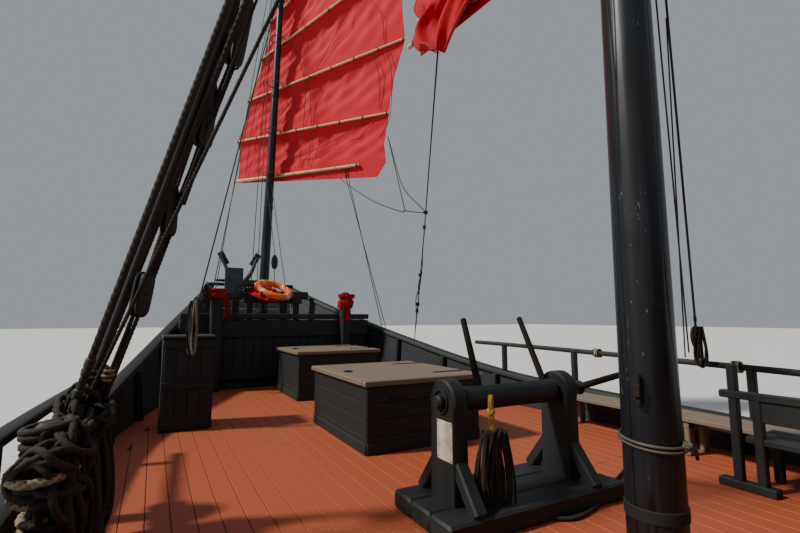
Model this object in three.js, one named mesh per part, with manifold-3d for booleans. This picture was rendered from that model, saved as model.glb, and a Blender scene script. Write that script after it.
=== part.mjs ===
// A three-masted wooden chinese junk, afloat, with its battened lug sails set.
// Millimetres. +X is starboard, +Y is the bow, +Z is up.
// The origin is on the waterline, on the centreline, amidships.

import * as THREE from 'three';
import { mergeVertices } from 'three/addons/utils/BufferGeometryUtils.js';
import Module from 'manifold-3d';

const wasm = await Module();
wasm.setup();

// Driving dimensions
const GAP = 0.3;
const DECK = 1000;
const DECK_THICK = 60;
const PLANK = 60;
const FOREDECK = 2100;
const POOP = 2950;
const BREAK_Y = 6900;
const CABIN_Y = -4200;
const CAP_THICK = 70;
const CAP_WIDE = 150;
const WALE = 95;
const SHAFT_Z = -950;

// Hull form, from the stern to the bow. Each row is one raked slice through the hull:
// its y on the waterline, its rake (y gained for each unit of height), the height of its bottom,
// its half-breadths at the bottom, the waterline, the deck and the 3 m level,
// and the heights of the bulwark's top and of the quarter's top.
const HULL_COLUMNS = ['y', 'rake', 'keel', 'bottom', 'water', 'deck', 'high', 'bulwark', 'quarter'];
const HULL_ROWS = [
  [-8600, -0.38, -250, 900, 1500, 2050, 2350, 1430, 3820],
  [-6500, -0.20, -1000, 1100, 2150, 2400, 2600, 1400, 3560],
  [-3000, 0.00, -1350, 1300, 2550, 2720, 2850, 1290, 3400],
  [0, 0.00, -1400, 1350, 2650, 2800, 2900, 1250, 3400],
  [3000, 0.00, -1300, 1200, 2500, 2660, 2750, 1340, 3400],
  [6000, 0.10, -1000, 850, 1750, 1980, 2200, 1890, 3400],
  [7800, 0.40, -450, 600, 1050, 1220, 1400, 2600, 3400],
  [8300, 0.60, -200, 450, 700, 850, 1000, 3000, 3400],
];
const STERN = HULL_ROWS[0][0];
const BOW = HULL_ROWS[HULL_ROWS.length - 1][0];
const HULL_SLICES = 27;
const BILGE_STEPS = 5;

// Masts: foot, tilt to starboard in degrees, length and radii at foot and top.
const MAIN_MAST = { x: 0, y: -300, z: DECK, lean: 0, length: 13500, foot: 135, top: 70 };
const FORE_MAST = { x: -95, y: 8330, z: FOREDECK, lean: 1.4, length: 9300, foot: 108, top: 60 };
const MIZZEN_MAST = { x: -1450, y: -8700, z: POOP, lean: 0, length: 6700, foot: 85, top: 45 };

// Sails: the angle of the chord, aft end to starboard, the cloth's distance to starboard of the
// mast's axis, and rows from the foot to the head. Each row is one batten's line: its forward end
// and its after end, along the chord from the mast and up the mast from the level that base names,
// in the order luff, luffUp, leech, leechUp. The boom and the yard taper from thick to thin.
const MAIN_SAIL = {
  mast: MAIN_MAST, base: DECK, chord: 13, clear: 250, batten: 32, belly: 150,
  rows: [
    [-1830, 3590, 5200, 4590],
    [-1850, 3690, 5200, 4690],
    [-1770, 3900, 5300, 4960],
    [-1750, 5050, 5450, 6500],
    [-1600, 6250, 5400, 8100],
    [-1400, 7450, 5000, 9750],
    [-1150, 8600, 4200, 11300],
    [-950, 9700, 2900, 12700],
  ],
  boomRow: 1,
  boom: { fore: 22, aft: 48, over: -300 },
  yard: { fore: 60, aft: 48, over: 80 },
};
const FORE_SAIL = {
  mast: FORE_MAST, base: DECK, chord: 38.6, clear: 200, batten: 27, belly: 120,
  rows: [
    [-1090, 4440, 2620, 4190],
    [-1100, 4466, 2760, 4476],
    [-1200, 5470, 2800, 5532],
    [-960, 6450, 3130, 7118],
    [-610, 7450, 3080, 9115],
    [-420, 8350, 2500, 10600],
    [-280, 9100, 1500, 11350],
  ],
  boomRow: 1,
  boom: { fore: 38, aft: 30, over: -590 },
  yard: { fore: 42, aft: 34, over: 80 },
};
const MIZZEN_SAIL = {
  mast: MIZZEN_MAST, base: POOP, chord: 13, clear: 160, batten: 22, belly: 70,
  rows: [
    [-700, 1500, 2550, 1700],
    [-720, 2250, 2700, 2700],
    [-650, 2950, 2650, 3750],
    [-520, 3600, 2350, 4800],
    [-400, 4200, 1500, 5700],
  ],
  boomRow: 0,
  boom: { fore: 32, aft: 26, over: -300 },
  yard: { fore: 34, aft: 27, over: 80 },
};
const CLOTH = 14;
const CHORD_STEPS = 8;
const PANEL_STEPS = 3;

// Colours and finishes
const BLACK_PAINT = paint(0x14181d, 0.55);
const TOPSIDE_PAINT = paint(0x1b2026, 0.6);
const DECK_WOOD = paint(0x9a4426, 0.6);
const WORN_WOOD = paint(0x6f6250, 0.75);
const BATTEN_WOOD = paint(0xcfa878, 0.6);
const SAIL_RED = paint(0xb5121f, 0.85);
const ROPE_DARK = paint(0x25221d, 0.9);
const RING_ORANGE = paint(0xe0701d, 0.5);
const BRONZE = paint(0x9c7440, 0.35, 0.9);
const IRON = paint(0x2a2c2e, 0.5, 0.8);

const junk = new THREE.Group();

function paint(color, roughness, metalness = 0) {
  return new THREE.MeshStandardMaterial({ color, roughness, metalness });
}

function piece(name, geometry, material) {
  const mesh = new THREE.Mesh(geometry, material);
  mesh.name = name;
  junk.add(mesh);
  return mesh;
}

// Solids from three.js geometries, and back

function solid(geometry) {
  let bare = geometry.clone();
  bare.deleteAttribute('normal');
  bare.deleteAttribute('uv');
  bare = mergeVertices(bare, 1e-3);
  return new wasm.Manifold(new wasm.Mesh({
    numProp: 3,
    vertProperties: Float32Array.from(bare.attributes.position.array),
    triVerts: Uint32Array.from(bare.index.array),
  }));
}

function surface(body) {
  const mesh = body.getMesh();
  const geometry = new THREE.BufferGeometry();
  geometry.setAttribute('position', new THREE.BufferAttribute(mesh.vertProperties, 3));
  geometry.setIndex(new THREE.BufferAttribute(mesh.triVerts, 1));
  return geometry;
}

function joined(geometries) {
  return surface(geometries.map(solid).reduce((sum, next) => sum.add(next)));
}

function without(geometry, cuts) {
  return surface(cuts.map(solid).reduce((sum, next) => sum.subtract(next), solid(geometry)));
}

// Simple forms

function block(x0, x1, y0, y1, z0, z1) {
  const geometry = new THREE.BoxGeometry(x1 - x0, y1 - y0, z1 - z0);
  return geometry.translate((x0 + x1) / 2, (y0 + y1) / 2, (z0 + z1) / 2);
}

function spar(from, to, radiusFrom, radiusTo, sides = 10) {
  const start = new THREE.Vector3(...from);
  const end = new THREE.Vector3(...to);
  const along = end.clone().sub(start);
  const geometry = new THREE.CylinderGeometry(radiusTo, radiusFrom, along.length(), sides);
  const turn = new THREE.Quaternion();
  turn.setFromUnitVectors(new THREE.Vector3(0, 1, 0), along.clone().normalize());
  geometry.applyQuaternion(turn);
  return geometry.translate(...start.add(end).multiplyScalar(0.5).toArray());
}

// A closed body through rings of equally many points, with its ends filled from their middles.
function loft(rings) {
  const count = rings[0].length;
  const points = rings.flat();
  const faces = [];
  for (let i = 0; i + 1 < rings.length; i += 1) {
    for (let k = 0; k < count; k += 1) {
      const a = i * count + k;
      const b = i * count + (k + 1) % count;
      faces.push(a, b, b + count, a, b + count, a + count);
    }
  }
  const ends = [
    { ring: rings[0], first: 0, flip: true },
    { ring: rings.at(-1), first: (rings.length - 1) * count, flip: false },
  ];
  for (const { ring, first, flip } of ends) {
    const middle = points.length;
    points.push([0, 1, 2].map((axis) => ring.reduce((sum, p) => sum + p[axis], 0) / count));
    for (let k = 0; k < count; k += 1) {
      const a = first + k;
      const b = first + (k + 1) % count;
      faces.push(...(flip ? [middle, b, a] : [middle, a, b]));
    }
  }
  return outward(points, faces);
}

// A geometry from points and faces, turned so that its faces point outwards.
function outward(points, faces) {
  let volume = 0;
  for (let i = 0; i < faces.length; i += 3) {
    const [a, b, c] = [0, 1, 2].map((k) => new THREE.Vector3(...points[faces[i + k]]));
    volume += a.dot(b.cross(c));
  }
  if (volume < 0) {
    faces.reverse();
  }
  const geometry = new THREE.BufferGeometry();
  geometry.setAttribute('position', new THREE.Float32BufferAttribute(points.flat(), 3));
  geometry.setIndex(faces);
  return geometry;
}

// A plate of even thickness on a surface given by two parameters from 0 to 1.
function plate(place, normal, stepsU, stepsV, thickness) {
  const points = [];
  const faces = [];
  const width = stepsV + 1;
  const layer = (stepsU + 1) * width;
  for (const side of [0.5, -0.5]) {
    for (let i = 0; i <= stepsU; i += 1) {
      for (let j = 0; j <= stepsV; j += 1) {
        points.push(place(i / stepsU, j / stepsV).addScaledVector(normal, side * thickness).toArray());
      }
    }
  }
  for (let i = 0; i < stepsU; i += 1) {
    for (let j = 0; j < stepsV; j += 1) {
      const a = i * width + j;
      const c = a + width;
      faces.push(a, c, c + 1, a, c + 1, a + 1);
      faces.push(layer + a, layer + c + 1, layer + c, layer + a, layer + a + 1, layer + c + 1);
    }
  }
  const rim = [];
  for (let i = 0; i < stepsU; i += 1) {
    rim.push(i * width);
  }
  for (let j = 0; j < stepsV; j += 1) {
    rim.push(stepsU * width + j);
  }
  for (let i = stepsU; i > 0; i -= 1) {
    rim.push(i * width + stepsV);
  }
  for (let j = stepsV; j > 0; j -= 1) {
    rim.push(j);
  }
  rim.forEach((a, k) => {
    const b = rim[(k + 1) % rim.length];
    faces.push(b, a, a + layer, b, a + layer, b + layer);
  });
  return outward(points, faces);
}

// Hull form

// A column of the hull table at a slice, on a curve that never overshoots its rows.
function column(name, y) {
  const places = HULL_ROWS.map((row) => row[0]);
  const values = HULL_ROWS.map((row) => row[HULL_COLUMNS.indexOf(name)]);
  const slopes = values.slice(1).map((value, i) => (value - values[i]) / (places[i + 1] - places[i]));
  const tangents = values.map((_, i) => {
    const before = slopes[Math.max(0, i - 1)];
    const after = slopes[Math.min(slopes.length - 1, i)];
    return before * after <= 0 ? 0 : (2 * before * after) / (before + after);
  });
  let i = 0;
  while (i < places.length - 2 && y > places[i + 1]) {
    i += 1;
  }
  const span = places[i + 1] - places[i];
  const t = (y - places[i]) / span;
  const low = values[i] * (1 + 2 * t) * (1 - t) ** 2 + tangents[i] * span * t * (1 - t) ** 2;
  const high = values[i + 1] * t * t * (3 - 2 * t) + tangents[i + 1] * span * t * t * (t - 1);
  return low + high;
}

function halfBreadth(slice, z) {
  const water = column('water', slice);
  const deck = column('deck', slice);
  const high = column('high', slice);
  if (z < DECK) {
    return water + ((deck - water) * z) / DECK;
  }
  return deck + ((high - deck) * (z - DECK)) / (3000 - DECK);
}

function skin(slice, z, inset = 0) {
  return [halfBreadth(slice, z) - inset, slice + column('rake', slice) * z, z];
}

// The slices between two places, so that neighbouring pieces are faceted alike.
function slices(from = STERN, to = BOW) {
  const step = (BOW - STERN) / (HULL_SLICES - 1);
  const all = Array.from({ length: HULL_SLICES }, (_, i) => STERN + step * i);
  return all.filter((y) => y > from - 1 && y < to + 1);
}

function hullRing(slice, grow = 0) {
  const keel = column('keel', slice);
  const bottom = column('bottom', slice);
  const water = column('water', slice);
  const half = [];
  for (let i = 0; i <= BILGE_STEPS; i += 1) {
    const angle = (i / BILGE_STEPS) * (Math.PI / 2);
    const z = keel * Math.cos(angle);
    half.push([bottom + grow + (water - bottom) * Math.sin(angle), slice + column('rake', slice) * z, z]);
  }
  half.push(skin(slice, DECK - DECK_THICK, -grow));
  return [...half, ...half.toReversed().map(([x, y, z]) => [-x, y, z])];
}

// A band across the ship between two heights, its edges a set distance inside the skin.
function crossBand(list, z0, z1, inset) {
  return loft(list.map((slice) => {
    const low = skin(slice, z0, inset);
    const high = skin(slice, z1, inset);
    return [low, high, [-high[0], high[1], high[2]], [-low[0], low[1], low[2]]];
  }));
}

// A strip of the ship's side, of ring corners given as [height, distance inside the skin].
function sideStrip(side, list, corners) {
  return loft(list.map((slice) => corners(slice).map(([z, inset]) => {
    const [x, y, height] = skin(slice, z, inset);
    return [side * x, y, height];
  })));
}

const FAR = 20000;
const SIDES = [['port', -1], ['starboard', 1]];

// The breast beam closes the forecastle's after edge and stands above the foredeck.
const BREAST = { aft: 45, fore: 60, foot: 1900, head: 2330, half: 1760 };

function addHull() {
  const bore = spar([0, -8400, SHAFT_Z], [0, -6000, SHAFT_Z], 46, 46, 16);
  piece('hull', without(loft(slices().map((slice) => hullRing(slice))), [bore]), TOPSIDE_PAINT);
  const raised = crossBand(slices(5500), DECK - DECK_THICK + GAP, FOREDECK - DECK_THICK, 0);
  const front = without(raised, [block(-FAR, FAR, 0, BREAK_Y, 0, FAR)]);
  const { aft, fore, foot, head, half } = BREAST;
  const beam = block(-half, half, BREAK_Y - aft, BREAK_Y + fore, foot, head);
  piece('forecastle', joined([front, beam]), TOPSIDE_PAINT);
}

function addDecks() {
  const inset = PLANK + 8;
  const main = crossBand(slices(), DECK - DECK_THICK + GAP, DECK, inset);
  const ends = [
    block(-FAR, FAR, BREAK_Y - GAP, FAR, 0, FAR),
    crossBand([STERN - 400, STERN], 0, 4000, -2000).translate(0, PLANK + GAP, 0),
  ];
  piece('main_deck', without(main, ends), DECK_WOOD);
  const fore = crossBand(slices(5500), FOREDECK - DECK_THICK + GAP, FOREDECK, (PLANK + CAP_WIDE) / 2 + 8);
  piece('foredeck', without(fore, [block(-FAR, FAR, 0, BREAK_Y + BREAST.fore + GAP, 0, FAR)]), DECK_WOOD);
  const poop = crossBand(slices(STERN, -2400), POOP - DECK_THICK, POOP, inset);
  piece('poop_deck', without(poop, [block(-FAR, FAR, CABIN_Y + 120, 0, 0, FAR), ends[1]]), DECK_WOOD);
}

function addSides() {
  for (const [name, side] of SIDES) {
    const list = slices(-5000);
    const wall = sideStrip(side, list, (s) => [
      [DECK - DECK_THICK + GAP, 0], [DECK, 0], [column('bulwark', s), 0],
      [column('bulwark', s), PLANK], [DECK, PLANK], [DECK - DECK_THICK + GAP, PLANK],
    ]);
    const aft = block(-FAR, FAR, -FAR, CABIN_Y + GAP, 0, FAR);
    const step = block(-FAR, FAR, BREAK_Y - GAP, FAR, 0, FOREDECK - DECK_THICK + GAP);
    piece(`bulwark_${name}`, without(wall, [aft, step]), TOPSIDE_PAINT);
    const cap = sideStrip(side, list, (s) => {
      const foot = column('bulwark', s) + GAP;
      const out = (PLANK - CAP_WIDE) / 2;
      const top = foot + CAP_THICK;
      return [[foot, out], [top, out], [top, out + CAP_WIDE], [foot, out + CAP_WIDE]];
    });
    piece(`cap_rail_${name}`, without(cap, [aft]), BLACK_PAINT);
    const wale = sideStrip(side, slices(), () => [[620, 80], [620, -WALE], [800, -WALE], [800, 80]]);
    const inner = loft(slices(STERN, BOW).map((slice) => hullRing(slice, 5)));
    piece(`wale_${name}`, without(wale, [inner]), BLACK_PAINT);
    piece(`quarter_${name}`, quarter(side), TOPSIDE_PAINT);
  }
}

// The cabin's side: one wall from the main deck's level to above the poop, with a rail on top.
const CABIN_WINDOWS = [-7400, -6300, -5200];
const WINDOW = { long: 620, foot: 1950, head: 2420 };

function quarter(side) {
  const wall = sideStrip(side, slices(STERN, -3000), (s) => {
    const top = column('quarter', s);
    const out = (PLANK - CAP_WIDE) / 2;
    return [
      [DECK - DECK_THICK + GAP, 0], [DECK, 0], [top, 0], [top, out], [top + CAP_THICK, out],
      [top + CAP_THICK, out + CAP_WIDE], [top, out + CAP_WIDE], [top, PLANK],
      [DECK, PLANK], [DECK - DECK_THICK + GAP, PLANK],
    ];
  });
  const [x0, x1] = side > 0 ? [1000, 4000] : [-4000, -1000];
  const half = WINDOW.long / 2;
  const windows = CABIN_WINDOWS.map((y) => block(x0, x1, y - half, y + half, WINDOW.foot, WINDOW.head));
  return without(wall, [block(-FAR, FAR, CABIN_Y, 0, 0, FAR), ...windows]);
}

// The stern wall stands between the quarters, in the plane of the sternmost slice.
function addTransom() {
  const corner = (z, inside) => {
    const [x, y] = skin(STERN, z, PLANK + CAP_WIDE / 2 - PLANK / 2 + GAP);
    return [x, y + inside, z];
  };
  const foot = DECK - DECK_THICK + GAP;
  const head = column('quarter', STERN) + CAP_THICK;
  const ring = (z) => {
    const out = corner(z, 0);
    const inner = corner(z, PLANK);
    return [out, inner, [-inner[0], inner[1], z], [-out[0], out[1], z]];
  };
  const windows = [-750, 750].map((x) => block(x - 300, x + 300, -FAR, 0, WINDOW.foot, WINDOW.head));
  piece('transom', without(loft([ring(foot), ring(head)]), windows), TOPSIDE_PAINT);
}

// The cabin's front, with its doorway and two windows, and two doors that close it.
const DOORWAY = { half: 480, head: 2760 };
const FRONT_WINDOW = { middle: 1450, half: 420, foot: 1900, head: 2450 };
const DOOR = { thick: 40, gap: 6, frame: 110, foot: 8, lightFoot: 1900, lightHead: 2550 };
const CABIN_HEAD = POOP - DECK_THICK - GAP;

function addCabinFront() {
  const half = halfBreadth(CABIN_Y, DECK) - PLANK - 12;
  const cuts = [block(-DOORWAY.half, DOORWAY.half, -FAR, FAR, 0, DOORWAY.head)];
  for (const side of [-1, 1]) {
    const middle = side * FRONT_WINDOW.middle;
    const [x0, x1] = [middle - FRONT_WINDOW.half, middle + FRONT_WINDOW.half];
    cuts.push(block(x0, x1, -FAR, FAR, FRONT_WINDOW.foot, FRONT_WINDOW.head));
  }
  const wall = block(-half, half, CABIN_Y - PLANK, CABIN_Y, DECK + GAP, CABIN_HEAD);
  piece('cabin_front', without(wall, cuts), BLACK_PAINT);
  const back = CABIN_Y - PLANK + DOOR.gap;
  for (const [name, side] of SIDES) {
    const [x0, x1] = side > 0 ? [DOOR.gap, DOORWAY.half - DOOR.gap] : [DOOR.gap - DOORWAY.half, -DOOR.gap];
    const leaf = block(x0, x1, back, back + DOOR.thick, DECK + DOOR.foot, DOORWAY.head - DOOR.foot);
    const light = block(x0 + DOOR.frame, x1 - DOOR.frame, -FAR, FAR, DOOR.lightFoot, DOOR.lightHead);
    piece(`cabin_door_${name}`, without(leaf, [light]), WORN_WOOD);
  }
}

// Posts with a rail on them, along the ship's side amidships: half the rail's width and its thickness,
// half a post's width, the rail's distance in from the skin, its height, its rise forward, its forward end
const RAILS = {
  port: {
    half: 45, tall: 55, post: 40, inset: 60, height: 720, sheer: 0, front: 3300,
    posts: [-3900, -2400, -950, 950, 3000],
  },
  starboard: {
    half: 32, tall: 60, post: 35, inset: 30, height: 800, sheer: 0.022, front: 4200,
    posts: [-3900, -2400, -950, 500, 2450, 3650],
  },
};
const RAIL_BACK = -4100;

function railTop({ height, sheer }, y) {
  return DECK + height + sheer * Math.max(0, y);
}

function addSideRails() {
  for (const [name, side] of SIDES) {
    const rail = RAILS[name];
    const { half, tall, post, inset } = rail;
    const run = sideStrip(side, slices(RAIL_BACK, rail.front), (s) => {
      const top = railTop(rail, s);
      const foot = top - tall;
      return [[foot, inset - half], [top, inset - half], [top, inset + half], [foot, inset + half]];
    });
    const posts = rail.posts.map((y) => {
      const x = side * (halfBreadth(y, 1500) - inset);
      const foot = column('bulwark', y) + CAP_THICK + 14;
      return block(x - post, x + post, y - post, y + post, foot, railTop(rail, y) - tall / 2);
    });
    piece(`side_rail_${name}`, joined([run, ...posts]), BLACK_PAINT);
  }
}

const BITT = { x: 1200, half: 90, aft: 250, fore: 50, head: 2760 };
const ANCHOR_BEAM = { y: 9050, foot: 2700, head: 2880, half: 1130, leg: 540 };
const PIN_RAIL = { posts: [-550, 350], y: 7260, foot: 2535, head: 2635 };

function addBow() {
  const ring = (z) => {
    const [x, y] = skin(BOW, z, PLANK + 50);
    return [[x, y, z], [x, y - 90, z], [-x, y - 90, z], [-x, y, z]];
  };
  piece('bow_board', loft([ring(FOREDECK + GAP), ring(3010)]), TOPSIDE_PAINT);
  for (const [name, side] of SIDES) {
    const [x0, x1] = [side * BITT.x - BITT.half, side * BITT.x + BITT.half];
    const post = block(x0, x1, BREAK_Y - BITT.aft, BREAK_Y - BITT.fore, DECK + GAP, BITT.head);
    piece(`bow_bitt_${name}`, post, BLACK_PAINT);
  }
  const { y, foot, head, half, leg } = ANCHOR_BEAM;
  piece('anchor_beam', joined([
    block(-half, half, y - 90, y + 90, foot, head),
    block(-leg - 80, 80 - leg, y - 70, y + 70, FOREDECK + GAP, foot + 20),
    block(leg - 80, leg + 80, y - 70, y + 70, FOREDECK + GAP, foot + 20),
  ]), BLACK_PAINT);
  const [port, starboard] = PIN_RAIL.posts;
  piece('fore_pin_rail', joined([
    block(port - 110, starboard + 110, PIN_RAIL.y - 50, PIN_RAIL.y + 50, PIN_RAIL.foot, PIN_RAIL.head),
    ...PIN_RAIL.posts.map((x) => block(
      x - 55, x + 55, PIN_RAIL.y - 45, PIN_RAIL.y + 45, FOREDECK + GAP, PIN_RAIL.foot + 20,
    )),
  ]), BLACK_PAINT);
}

// A two-armed wooden anchor lying on its beam with its arms raised inboard.
const ANCHOR = { crown: [-460, 9000, 2965], end: [-360, 9900, 3230], reach: 430, rise: 780 };

function addAnchor() {
  const [x, y, z] = ANCHOR.crown;
  const parts = [spar(ANCHOR.crown, ANCHOR.end, 75, 55, 8)];
  for (const side of [-1, 1]) {
    const tip = [x + side * ANCHOR.reach, y + 250, z + ANCHOR.rise];
    parts.push(spar(ANCHOR.crown, tip, 70, 26, 8));
    const palm = new THREE.BoxGeometry(150, 30, 330);
    palm.rotateY(side * 0.5).translate(tip[0] - side * 75, tip[1] - 20, tip[2] - 130);
    parts.push(palm);
  }
  parts.push(spar([x - 470, y + 560, z + 165], [x + 580, y + 560, z + 165], 42, 42, 8));
  piece('anchor', joined(parts), BLACK_PAINT);
}

function addLifeRing() {
  const ring = new THREE.TorusGeometry(310, 62, 10, 28);
  ring.rotateX(0.47).rotateY(0.2).translate(-100, 7260, 2800);
  piece('life_ring', ring, RING_ORANGE);
}

// Deck boxes with a hinged lid: port and starboard edges, after and forward edges, and height
const HATCHES = {
  near_hatch: { x0: -420, x1: 950, y0: 2150, y1: 3750, top: 1670 },
  far_hatch: { x0: -210, x1: 1200, y0: 5120, y1: 6500, top: 1740 },
};
const LID = { thick: 55, over: 40 };
const HATCH_WALL = 45;

function addHatches() {
  for (const [name, { x0, x1, y0, y1, top }] of Object.entries(HATCHES)) {
    const out = LID.over;
    const inner = LID.over + HATCH_WALL;
    const box = block(x0 + out, x1 - out, y0 + out, y1 - out, DECK + GAP, top - LID.thick - GAP);
    const inside = block(x0 + inner, x1 - inner, y0 + inner, y1 - inner, DECK + 60, top + 100);
    piece(`${name}_box`, without(box, [inside]), BLACK_PAINT);
    piece(`${name}_lid`, block(x0, x1, y0, y1, top - LID.thick, top), WORN_WOOD);
  }
}

// The halyard windlass forward of the mainmast: two posts on a sill, and a barrel with handspikes
const WINDLASS = { port: -455, starboard: 535, y: 760, axis: 1720, barrel: 85, axle: 45 };
const WINDLASS_POST = { halfWide: 55, halfLong: 130, head: 140 };
const WINDLASS_SILL = { port: -680, starboard: 800, aft: 330, fore: 330, tall: 120 };
const HANDSPIKES = [
  { x: -190, angle: 70, reach: 560 },
  { x: 420, angle: 63, reach: 600 },
  { x: 740, angle: 160, reach: 420 },
];

function addWindlass() {
  const { port, starboard, y, axis, barrel, axle } = WINDLASS;
  const { halfWide, halfLong, head } = WINDLASS_POST;
  const sill = WINDLASS_SILL;
  const parts = [block(sill.port, sill.starboard, y - sill.aft, y + sill.fore, DECK + GAP, DECK + sill.tall)];
  for (const x of [port, starboard]) {
    parts.push(block(x - halfWide, x + halfWide, y - halfLong, y + halfLong, DECK + 60, axis));
    const cheek = new THREE.CylinderGeometry(head, head, 2 * halfWide, 16);
    parts.push(cheek.rotateZ(Math.PI / 2).translate(x, y, axis));
  }
  const bore = spar([port - 300, y, axis], [starboard + 300, y, axis], axle + 6, axle + 6, 20);
  piece('windlass_frame', without(joined(parts), [bore]), BLACK_PAINT);
  const turning = [
    spar([port + halfWide + 10, y, axis], [starboard - halfWide - 10, y, axis], barrel, barrel, 12),
    spar([port - 100, y, axis], [starboard + 255, y, axis], axle, axle, 20),
  ];
  for (const { x, angle, reach } of HANDSPIKES) {
    const turn = THREE.MathUtils.degToRad(angle);
    const tip = [x, y + reach * Math.cos(turn), axis + reach * Math.sin(turn)];
    turning.push(spar([x, y, axis], tip, 26, 22, 8));
  }
  piece('windlass_barrel', joined(turning), BLACK_PAINT);
}

// Benches, bitts and the rack beside the starboard rail: each block's edges in x, y and z
const RACK_BLOCKS = [
  [1700, 1770, -1950, 250, 1650, 1705],
  [1705, 1765, 130, 190, DECK + GAP, 1900],
  [1705, 1765, -20, 40, DECK + GAP, 1700],
  [1690, 1780, -80, 290, DECK + GAP, 1060],
  [1715, 1755, -600, 20, 1500, 1660],
  [1710, 2150, -1900, 100, 1340, 1385],
  [1705, 1765, -1900, -1840, DECK + GAP, 1700],
  [2090, 2150, -1900, -1840, DECK + GAP, 1345],
  [2090, 2150, 40, 100, DECK + GAP, 1345],
];
const BITT_BLOCKS = [
  [-2610, -2490, 980, 1100, DECK + GAP, 1760],
  [-2610, -2490, 1760, 1880, DECK + GAP, 1760],
  [-2640, -2460, 830, 2030, 1480, 1590],
];

function addDeckFittings() {
  piece('starboard_rack', joined(RACK_BLOCKS.map((edges) => block(...edges))), BLACK_PAINT);
  const legs = [-2200, -700, 800, 2200].map((y) => block(2200, 2540, y - 25, y + 25, DECK + GAP, 1310));
  piece('starboard_bench', joined([block(2180, 2560, -2300, 2300, 1300, 1345), ...legs]), WORN_WOOD);
  piece('shroud_bitts', joined(BITT_BLOCKS.map((edges) => block(...edges))), BLACK_PAINT);
  piece('port_locker', block(-2040, -1500, 4000, 4500, DECK + GAP, 2050), BLACK_PAINT);
}

const POOP_RAIL = { posts: 7, low: 3380, high: 3780 };
const LADDER = { x: 1540, wide: 600, steps: 7, foot: 1230, rise: 250, back: 160, run: 75, tread: 170 };

function addPoopFittings() {
  const y = CABIN_Y + 30;
  const half = halfBreadth(CABIN_Y, POOP) - PLANK - 60;
  const rail = [
    block(-half, half, y - 35, y + 35, POOP_RAIL.high, POOP_RAIL.high + 70),
    block(-half, half, y - 25, y + 25, POOP_RAIL.low, POOP_RAIL.low + 50),
  ];
  for (let i = 0; i < POOP_RAIL.posts; i += 1) {
    const x = (half - 40) * ((2 * i) / (POOP_RAIL.posts - 1) - 1);
    rail.push(block(x - 35, x + 35, y - 30, y + 30, POOP + GAP, POOP_RAIL.high + 20));
  }
  piece('poop_front_rail', joined(rail), BLACK_PAINT);
  piece('poop_ladder', ladder(LADDER), WORN_WOOD);
}

// Treads between two sloping cheeks that lean against the poop's edge
function ladder({ x, wide, steps, foot, rise, back, run, tread }) {
  const parts = [];
  for (let i = 0; i < steps; i += 1) {
    const z = foot + i * rise;
    const from = CABIN_Y + back + (steps - 1 - i) * run;
    parts.push(block(x + 20, x + wide, from, from + tread, z, z + 35));
  }
  const corners = [[790, DECK + 0.5], [960, DECK + 0.5], [300, POOP + 10], [130, POOP + 10]];
  for (const edge of [x, x + wide - 20]) {
    const cheek = new THREE.Shape(corners.map(([a, b]) => new THREE.Vector2(a, b)));
    const board = new THREE.ExtrudeGeometry(cheek, { depth: 40, bevelEnabled: false });
    board.rotateX(Math.PI / 2).rotateZ(Math.PI / 2);
    parts.push(board.translate(edge, CABIN_Y, 0));
  }
  return joined(parts);
}

// Masts and sails

function up(mast) {
  const lean = THREE.MathUtils.degToRad(mast.lean);
  return new THREE.Vector3(Math.sin(lean), 0, Math.cos(lean));
}

function addMast(name, mast) {
  const foot = new THREE.Vector3(mast.x, mast.y, mast.z + (mast.lean ? 8 : GAP));
  const head = foot.clone().addScaledVector(up(mast), mast.length);
  piece(name, spar(foot.toArray(), head.toArray(), mast.foot, mast.top, 20), BLACK_PAINT);
}

// The sail's own directions: along the chord to the leech, up the mast, and to starboard of it.
function sailAxes(sail) {
  const angle = THREE.MathUtils.degToRad(sail.chord);
  const rise = up(sail.mast);
  const along = new THREE.Vector3(Math.sin(angle), -Math.cos(angle), 0);
  along.addScaledVector(rise, -along.dot(rise)).normalize();
  const away = new THREE.Vector3().crossVectors(along, rise).normalize();
  if (away.x < 0) away.negate();
  const foot = new THREE.Vector3(sail.mast.x, sail.mast.y, sail.mast.z);
  foot.addScaledVector(rise, (sail.base - sail.mast.z) / rise.z);
  return { along, rise, away, foot };
}

function sailPoint(sail, u, v, out) {
  const { along, rise, away, foot } = sailAxes(sail);
  return foot.clone().addScaledVector(along, u).addScaledVector(rise, v).addScaledVector(away, out);
}

// A cloth panel bellies away between its battens and luff and leech, and its leech is hollowed.
function clothPoint(sail, chordwise, panelwise) {
  const panels = sail.rows.length - 1;
  const panel = Math.min(panels - 1, Math.floor(panelwise * panels));
  const part = panelwise * panels - panel;
  const [low, high] = [sail.rows[panel], sail.rows[panel + 1]];
  const [luff, luffUp, leech, leechUp] = low.map((value, i) => value + (high[i] - value) * part);
  const hollow = Math.sin(Math.PI * part) * Math.min(1, (high[1] - low[1]) / 900);
  const forward = luff + 40 * hollow;
  const after = leech - 70 * hollow;
  const u = forward + (after - forward) * chordwise;
  const v = luffUp + (leechUp - luffUp) * chordwise;
  const belly = sail.belly * hollow * Math.sin(Math.PI * chordwise);
  return sailPoint(sail, u, v, sail.clear + belly);
}

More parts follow.
